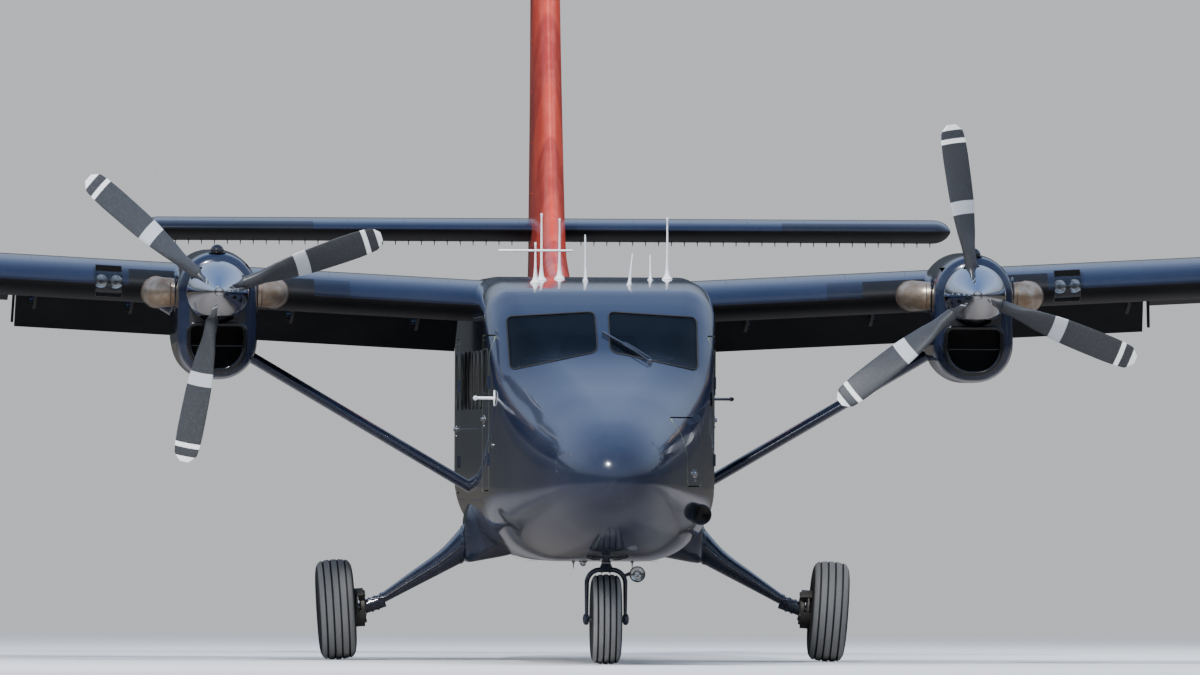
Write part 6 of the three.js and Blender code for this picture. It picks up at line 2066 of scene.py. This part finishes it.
def dashParts():
    outline = rounded([(-dash["half"], dash["high"]), (-dash["half"], dash["low"] + 0.05),
        (-0.2, dash["low"]), (0.2, dash["low"]), (dash["half"], dash["low"] + 0.05),
        (dash["half"], dash["high"])], 0.03)
    board = frontPrism(outline, 2.335, dash["face"])
    holes, bezels, glasses = [], [], []
    places = [(side * (0.2 + 0.105 * i), z, dash["dial"]) for side in (1, -1) for i in range(4)
        for z in (2.035, 1.935)]
    places += [(0.075 * (i - 1), 2.06 - 0.062 * j, dash["small"]) for i in range(3) for j in range(4)]
    for x, z, size in places:
        start, end = (x, yAt(dash["face"]), z), (x, yAt(dash["face"] + 1), z)
        holes.append(barrel(size * 0.86, (x, yAt(dash["face"] - 0.012), z), (x, yAt(dash["face"] + 0.01), z),
            24))
        bezels.append(turned([(size * 0.86, -0.004), (size, -0.001), (size, 0.005), (size * 0.94, 0.008),
            (size * 0.84, 0.004), (size * 0.84, -0.004)], start, end, 32))
        glasses.append(turned([(0, -0.004), (size * 0.845, -0.004), (size * 0.845, -0.002), (0, -0.001)],
            start, end, 28))
        needle = Vector((x, yAt(dash["face"] - 0.008), z))
        bezels.append(sweep([needle, needle + Vector((size * 0.4, 0, size * 0.55))], [0.0016, 0.0007],
            [0.0008, 0.0008], (0, 1, 0), 6))
    hood = []
    for station, drop in ((2.34, 0.0), (2.42, 0.006), (2.5, 0.014), (2.555, 0.024)):
        top = [(x, yAt(station), 2.128 - drop - 0.02 * (x / dash["half"]) ** 2)
            for x in spread(-0.69, 0.69, 25)]
        hood.append(top + [(x, y, z - 0.008) for x, y, z in top[::-1]])
    middle = sidePrism(rounded([(2.34, 1.205), (2.52, 1.205), (2.5, 1.62), (2.42, 1.79), (2.34, 1.79)],
                               0.02), -0.14, 0.14)
    return joined(cut(board, *holes), loft(hood), middle), joined(*bezels), joined(*glasses)


board, bezels, dials = dashParts()
dress("instrument_board", softened(board, 35), "airframe", "dark_plastic", darkPlastic, "instrument_panel")
dress("dial_bezels", softened(bezels, 35), "airframe", "panel_metal", steel)
dress("dial_glasses", softened(dials, 35), "airframe", "windscreen_glass", cabinGlass)


def yokes():
    made = [tube(smoothPath([Vector((0, yAt(2.64), 1.203)), Vector((0, yAt(2.635), 1.5)),
        Vector((0, yAt(2.6), 1.77))], 8), 0.026, 20), turned([(0, 0), (0.06, 0), (0.06, 0.008),
        (0.045, 0.016), (0.03, 0.05), (0, 0.05)], (0, yAt(2.64), 1.203), (0, yAt(2.64), 3), 32),
        tube([(-0.4, yAt(2.6), 1.77), (0.4, yAt(2.6), 1.77)], 0.018, 20)]
    for side in (1, -1):
        x = side * 0.4
        ring = [Vector((x + a, yAt(2.6), z)) for a, z in ((-0.1, 1.925), (-0.118, 1.87), (-0.105, 1.8),
            (-0.05, 1.768), (0, 1.765), (0.05, 1.768), (0.105, 1.8), (0.118, 1.87), (0.1, 1.925))]
        ring = smoothPath(ring, 6)
        count = len(ring)
        made.append(tube(ring, [0.0155 if min(i, count - 1 - i) < count * 0.22 else 0.011
            for i in range(count)], 16))
        made.append(turned([(0, -0.03), (0.034, -0.03), (0.04, -0.02), (0.04, 0.016), (0.03, 0.026),
            (0, 0.026)], (x, yAt(2.6), 1.77), (x, yAt(3.6), 1.77), 32))
    return joined(*made)


dress("crew_yokes", softened(yokes(), 35), "airframe", "dark_plastic", glossBlack, "control_column")
arch = [(-0.29, z) for z in spread(1.25, 2.3, 16)] + [(-0.29 + 0.29 * (1 - math.cos(a)),
    2.3 + 0.15 * math.sin(a)) for a in spread(0.1, math.pi / 2, 12)]
arch += [(-x, z) for x, z in arch[-2::-1]]
dress("bulkhead_trim", softened(sweep([(x, yAt(3.22), z) for x, z in arch], [0.006] * len(arch),
    [0.026] * len(arch), (0, 1, 0), 12), 40), "airframe", "dark_plastic", darkPlastic)
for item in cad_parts["cockpit_bulkhead"].material_slots:
    item.material = lining
print("cockpit")

# Rows of rivets and vortex generators: a small shape stood along lines that carry the way out of the skin.
rowInputs = {"Spacing": 0.045, "Sides": 6, "Foot": 0.0042, "Head": 0.0022, "Height": 0.0009, "Flatness": 1.0}


def buildRows():
    group = bpy.data.node_groups.new("shape_rows", "GeometryNodeTree")
    group.interface.new_socket("Lines", in_out="INPUT", socket_type="NodeSocketGeometry")
    for name, value in rowInputs.items():
        kind = "NodeSocketInt" if name == "Sides" else "NodeSocketFloat"
        group.interface.new_socket(name, in_out="INPUT", socket_type=kind).default_value = value
    group.interface.new_socket("Material", in_out="INPUT", socket_type="NodeSocketMaterial")
    group.interface.new_socket("Mesh", in_out="OUTPUT", socket_type="NodeSocketGeometry")
    nodes, links = group.nodes, group.links
    given, made = nodes.new("NodeGroupInput"), nodes.new("NodeGroupOutput")
    curve, points = nodes.new("GeometryNodeMeshToCurve"), nodes.new("GeometryNodeResampleCurve")
    points.mode = "LENGTH"
    out = nodes.new("GeometryNodeInputNamedAttribute")
    out.data_type = "FLOAT_VECTOR"
    out.inputs["Name"].default_value = "out"
    turn = nodes.new("FunctionNodeAlignRotationToVector")
    turn.axis = "Z"
    cone, squash = nodes.new("GeometryNodeMeshCone"), nodes.new("GeometryNodeTransform")
    size = nodes.new("ShaderNodeCombineXYZ")
    size.inputs["Y"].default_value = size.inputs["Z"].default_value = 1.0
    stand, real = nodes.new("GeometryNodeInstanceOnPoints"), nodes.new("GeometryNodeRealizeInstances")
    finish = nodes.new("GeometryNodeSetMaterial")
    links.new(given.outputs["Lines"], curve.inputs["Mesh"])
    links.new(curve.outputs["Curve"], points.inputs["Curve"])
    links.new(given.outputs["Spacing"], points.inputs["Length"])
    links.new(out.outputs["Attribute"], turn.inputs["Vector"])
    links.new(given.outputs["Sides"], cone.inputs["Vertices"])
    links.new(given.outputs["Head"], cone.inputs["Radius Top"])
    links.new(given.outputs["Foot"], cone.inputs["Radius Bottom"])
    links.new(given.outputs["Height"], cone.inputs["Depth"])
    links.new(given.outputs["Flatness"], size.inputs["X"])
    links.new(cone.outputs["Mesh"], squash.inputs["Geometry"])
    links.new(size.outputs["Vector"], squash.inputs["Scale"])
    links.new(points.outputs["Curve"], stand.inputs["Points"])
    links.new(squash.outputs["Geometry"], stand.inputs["Instance"])
    links.new(turn.outputs["Rotation"], stand.inputs["Rotation"])
    links.new(stand.outputs["Instances"], real.inputs["Geometry"])
    links.new(real.outputs["Geometry"], finish.inputs["Geometry"])
    links.new(given.outputs["Material"], finish.inputs["Material"])
    links.new(finish.outputs["Geometry"], made.inputs["Mesh"])
    return group


rowGroup = buildRows()


# Each line is a list of (place, way out).
def rows(name, body, slot, material, lines, **values):
    mesh = bpy.data.meshes.new(name + "_lines")
    points = [place for line in lines for place, _ in line]
    edges, start = [], 0
    for line in lines:
        edges += [(start + i, start + i + 1) for i in range(len(line) - 1)]
        start += len(line)
    mesh.from_pydata([tuple(p) for p in points], edges, [])
    outs = mesh.attributes.new("out", "FLOAT_VECTOR", "POINT")
    outs.data.foreach_set("vector", [float(c) for line in lines for _, way in line for c in way])
    thing = objectOf(name + "_rows", mesh)
    modifier = thing.modifiers.new("rows", "NODES")
    modifier.node_group = rowGroup
    for socket in rowGroup.interface.items_tree:
        if socket.in_out == "INPUT" and socket.name in {**rowInputs, **values}:
            modifier[socket.identifier] = {**rowInputs, **values}[socket.name]
        if socket.in_out == "INPUT" and socket.name == "Material":
            modifier[socket.identifier] = material
    made = evaluated(thing)
    bpy.data.objects.remove(thing)
    return dress(name, made, body, slot, material)


def runs(points, normals, keepIt):
    made, line = [], []
    for place, way, good in zip(points, normals, keepIt):
        if good:
            line.append((place, way))
        elif line:
            made.append(line)
            line = []
    made.append(line)
    return [line for line in made if len(line) > 1]


def clearOfOpenings(points):
    station, x, z = points[:, 1] + fullLength / 2, points[:, 0], points[:, 2]
    free = np.ones(len(points), bool)
    for side, span, rise, _ in doorway.values():
        free &= ~((x * side > 0.3) & (station > span[0] - 0.02) & (station < span[1] + 0.02) & (z > rise[0]
            - 0.02) & (z < rise[1] + 0.02))
    free &= ~((np.abs(x) > 0.5) & (z > 1.86) & (z < 2.37) & (station > 3.3) & (station < 8.8))
    free &= ~((station > 1.95) & (station < 3.16) & (z > 2.1) & (z < 2.66))
    free &= ~((np.abs(x) > 0.72) & (z > 2.42) & (station > 5.05) & (station < 7.25))
    free &= ~((np.abs(x) > 0.36) & (z < 1.35) & (station > 5.45) & (station < 7.05))
    free &= ~((x > 0.45) & (z < 1.25) & (station > 1.5) & (station < 2.15))
    free &= ~((np.abs(x) < 0.17) & (z > 2.5) & (station > 10.5))
    free &= ~((np.abs(x) < 0.13) & (z < 0.92) & (station > 1.45) & (station < 1.8))
    return free


def skinRows():
    lines = []
    for k in range(-13, 15):
        station = k * 0.508 + 0.014 + fullLength / 2
        if 0.7 < station < 14.6:
            ring = np.array(boxyRing(skinSection, station, 0.0, 8, 9))
            ring = np.vstack([ring, ring[:1]])
            lines += runs(ring, boxyNormals(skinSection, ring), clearOfOpenings(ring))
    for x, z in ((0.45, 4), (-0.45, 4), (0.45, -4), (-0.45, -4), (1, 1.215), (-1, 1.215), (1, 2.585),
            (-1, 2.585), (1, 1.75), (-1, 1.75)):
        points = []
        for station in spread(3.25, 10.4, 60):
            half, top, bottom, crown, bilge = (float(v) for v in skinSection(station))
            points.append((x, yAt(station), top if z > 3 else bottom) if abs(z) > 3 else
                          (x * sideReach(station, z), yAt(station), z))
        points = np.array(points)
        lines += runs(points, boxyNormals(skinSection, points), clearOfOpenings(points))
    return lines


def sideReach(station, z):
    half, top, bottom, crown, bilge = (float(v) for v in skinSection(station))
    for radius, height in ((crown, z - (top - crown)), (bilge, bottom + bilge - z)):
        if height > 0:
            return half - radius + math.sqrt(max(0.0, radius ** 2 - height ** 2))
    return half


def doorRows(name):
    side, span, rise, corner = doorway[name]
    outline = rectangle((span[0] + 0.03, span[1] - 0.03), (rise[0] + 0.03, rise[1] - 0.03),
        max(corner - 0.03, 0.01))
    outline.append(outline[0])
    outline = [(a[0] + (b[0] - a[0]) * t, a[1] + (b[1] - a[1]) * t) for a, b in zip(outline, outline[1:])
        for t in spread(0, 0.75, 4)]
    points = np.array([(side * sideReach(station, z), yAt(station), z) for station,
        z in outline + outline[:1]])
    hinges = [rise[0] + part * (rise[1] - rise[0]) for part in hingeBarrel["heights"]]
    free = np.array([all(abs(p[2] - z) > 0.08 for z in hinges) for p in points])
    return runs(points, boxyNormals(skinSection, points), free)


def outward(function, x, t, face):
    place = function(x, t, face)
    along = function(x, min(t + 0.01, 1), face) - function(x, t, face)
    across = function(x + 0.05, t, face) - place
    way = across.cross(along).normalized()
    return place, way if way.z * face > 0 else -way


def wingRows(spans, ribs, spars, skip=()):
    lines = []
    for face in (1, -1):
        for x in ribs:
            lines.append([outward(wingPoint, x, t, face) for t in spread(*spans, 24)])
        for t in spars:
            lines.append([outward(wingPoint, x, t, face) for x in spread(ribs[0], ribs[-1], 60)
                          if not any(a < x < b for a, b in skip)])
    return lines


def turnedRows(lines, surface):
    base = hingeFrame(surface, 0)
    turn = base @ Matrix.Rotation(math.radians(surface["rest"]), 4, "X") @ base.inverted()
    return [[(turn @ place, turn.to_3x3() @ way) for place, way in line] for line in lines]


def mirroredRows(lines):
    flip = Vector((-1, 1, 1))
    return [[(Vector(place) * flip, Vector(way) * flip) for place, way in line] for line in lines]


def tailRows(steps, upright, places, ends, wide):
    lines = []
    for face in (1, -1):
        for at in places:
            line = []
            for t in spread(0.1, 0.94, 16):
                reach = float(wide.read("wide", math.sqrt(t) if wide is fixedWidth else t))
                if upright:
                    lead, trail, half = (float(upright.read(name, at)) for name in ("lead", "trail", "half"))
                    line.append((Vector((face * reach * half, yAt(lead + t * (trail - lead)), at)),
                        Vector((face, 0, 0))))
                else:
                    lead, trail, half = ends
                    line.append((Vector((at, yAt(lead + t * (trail - lead)),
                        tailplane["height"] + face * reach * half)), Vector((0, 0, face))))
            lines.append(line)
    return lines


rows("skin_rivets", "airframe", "navy_paint", navyPaint, skinRows())
for name in doorway:
    rows(name + "_rivets", name, "navy_paint", navyPaint, doorRows(name), Spacing=0.04)
ribs = [x for x in spread(1.05, 9.6, 20) if not 3.4 < x < 3.8 and not 2.45 < x < 3.25]
fixed = wingRows((0.04, 0.68), ribs, (0.14, 0.4, 0.67), ((2.45, 3.25), (3.45, 3.8)))
flapRows = turnedRows(wingRows((0.86, 0.97), spread(1.1, 4.1, 8), (0.88,)), flap)
aileronRows = turnedRows(wingRows((0.87, 0.97), spread(4.6, 9.3, 9), (0.89,)), aileron)
elevatorRows = tailRows(None, None, spread(0.4, 3.0, 7), (elevator["lead"], elevator["trail"],
    elevator["half"]), movingWidth)
for side, change in (("left", lambda lines: lines), ("right", mirroredRows)):
    rows(f"wing_{side}_rivets", "airframe", "navy_paint", wingPaint, change(fixed))
    rows(f"flap_{side}_rivets", f"flap_{side}", "navy_paint", wingPaint, change(flapRows))
    rows(f"aileron_{side}_rivets", f"aileron_{side}", "navy_paint", wingPaint, change(aileronRows))
    rows(f"elevator_{side}_rivets", f"elevator_{side}", "navy_paint", wingPaint, change(elevatorRows))
rows("fin_rivets", "airframe", "fin_paint", finPaint, tailRows(None, fin, spread(3.2, 5.6, 7), None,
    fixedWidth))
rows("rudder_rivets", "rudder", "fin_paint", finPaint, tailRows(None, rudder, spread(3.2, 5.4, 7), None,
    movingWidth))
rows("tailplane_rivets", "airframe", "navy_paint", tailplanePaint,
     tailRows(None, None, [x for x in spread(-2.9, 2.9, 14) if abs(x) > 0.2],
              (tailplane["lead"], tailplane["trail"], tailplane["half"]), fixedWidth))
vortexRow = [[(Vector((side * x, yAt(13.66), 3.2315)), Vector((0, 0, -1))) for x in (0.27, 3.0)]
    for side in (1, -1)]
rows("vortex_generators", "airframe", "dark_plastic", darkPlastic, vortexRow, Spacing=0.1, Sides=4,
    Foot=0.032, Head=0.016, Height=0.037, Flatness=0.16)
print("rivets")


backdrop = (0.62, 0.63, 0.65, 1.0)


# Pale and matt near the aircraft, and further out the plain tone of the backdrop, so that no horizon shows.
def floorMaterial():
    material, graph, shader, place = newMaterial("studio_floor")
    fine = graph.noise(place, 3.0, 6.0, 0.6)
    pale = graph.mix(graph.spread(fine, 0.3, 0.7), (0.56, 0.56, 0.56, 1.0), (0.6, 0.6, 0.6, 1.0))
    mirroredIn = graph.node("ShaderNodeLightPath").outputs["Is Glossy Ray"]
    graph.feed(graph.mix(mirroredIn, pale, (0.14, 0.13, 0.125, 1.0)), shader.inputs["Base Color"])
    shader.inputs["Roughness"].default_value = 0.9
    shader.inputs["Specular IOR Level"].default_value = 0.1
    distance = graph.node("ShaderNodeVectorMath", {0: place}, operation="LENGTH").outputs["Value"]
    glow = graph.node("ShaderNodeEmission", {"Color": backdrop, "Strength": 1.0})
    far = graph.spread(distance, 14.0, 45.0)
    seen = graph.node("ShaderNodeLightPath").outputs["Is Camera Ray"]
    graph.feed(graph.mix(seen, (0.1, 0.095, 0.09, 1.0), backdrop), glow.inputs["Color"])
    both = graph.node("ShaderNodeMixShader", {0: far, 1: shader.outputs[0], 2: glow.outputs[0]})
    graph.feed(both.outputs[0], material.node_tree.nodes["Material Output"].inputs["Surface"])
    return material


floorMesh = meshOf([(6000 * math.cos(a), 6000 * math.sin(a), -0.001)
                    for a in np.linspace(0, 2 * math.pi, 96, endpoint=False)], [tuple(range(96))])
floorMesh.materials.append(floorMaterial())
objectOf("floor", floorMesh)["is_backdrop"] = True


# What shiny surfaces see around the floor: dark walls, then a soft blue that is brightest part way up.
studioSky = [(0.0, (0.045, 0.05, 0.055, 1.0)), (0.1, (0.06, 0.07, 0.08, 1.0)), (0.2, (0.34, 0.40, 0.50, 1.0)),
             (0.42, (0.42, 0.54, 0.80, 1.0)), (1.0, (0.16, 0.27, 0.55, 1.0))]


def buildWorld():
    world = bpy.data.worlds.new("studio")
    bpy.context.scene.world = world
    world.use_nodes = True
    graph = Graph(world.node_tree)
    back = world.node_tree.nodes["Background"]
    split = graph.node("ShaderNodeSeparateXYZ",
        {"Vector": graph.node("ShaderNodeTexCoord").outputs["Generated"]})
    ramp = graph.node("ShaderNodeValToRGB", {"Fac": split.outputs["Z"]})
    stops = ramp.color_ramp.elements
    stops[0].color, stops[1].color = studioSky[0][1], studioSky[-1][1]
    for place, colour in studioSky[1:-1]:
        stops.new(place).color = colour
    plain = graph.node("ShaderNodeLightPath").outputs["Is Camera Ray"]
    graph.feed(graph.mix(plain, ramp.outputs[0], backdrop), back.inputs["Color"])
    back.inputs["Strength"].default_value = 1.0


buildWorld()


def softbox(name, place, target, size, power, colour=(1, 1, 1)):
    light = bpy.data.lights.new(name, "AREA")
    light.shape, light.size, light.size_y = "RECTANGLE", size[0], size[1]
    light.energy, light.color = power, colour
    obj = bpy.data.objects.new(name, light)
    bpy.context.scene.collection.objects.link(obj)
    obj.location = place
    obj.rotation_euler = (Vector(target) - Vector(place)).to_track_quat("-Z", "Y").to_euler()
    obj.visible_camera = False
    obj.visible_glossy = False
    obj.visible_transmission = False
    return obj


softbox("key", (-14, -22, 20), (0, -2, 2), (10, 6), 9000)
softbox("top", (4, -4, 24), (0, 0, 2), (22, 16), 7000, (0.85, 0.92, 1.0))
softbox("rim", (20, 14, 12), (0, 0, 2), (8, 8), 5000)

sun = bpy.data.lights.new("sun", "SUN")
sun.energy, sun.angle = 2.2, math.radians(3)
sunObject = bpy.data.objects.new("sun", sun)
bpy.context.scene.collection.objects.link(sunObject)
sunObject.rotation_euler = (math.radians(40), math.radians(-18), 0)

photoWidth, focal = 1200, 31200
camera = bpy.data.cameras.new("camera")
camera.sensor_width = 36
camera.lens = 36 * focal / photoWidth
camera.clip_start, camera.clip_end = 1.0, 20000
eye = Vector((-9.2, yAt(-230), 1.4))
yaw, pitch, roll = math.atan(0.03949), math.radians(0.254), math.radians(0.27)
cameraObject = bpy.data.objects.new("camera", camera)
bpy.context.scene.collection.objects.link(cameraObject)
cameraObject.location = eye
aim = Matrix.Rotation(-yaw, 4, "Z") @ Matrix.Rotation(math.pi / 2 + pitch, 4, "X") @ Matrix.Rotation(roll, 4,
    "Z")
cameraObject.rotation_euler = aim.to_euler()
bpy.context.scene.camera = cameraObject

low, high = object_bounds()
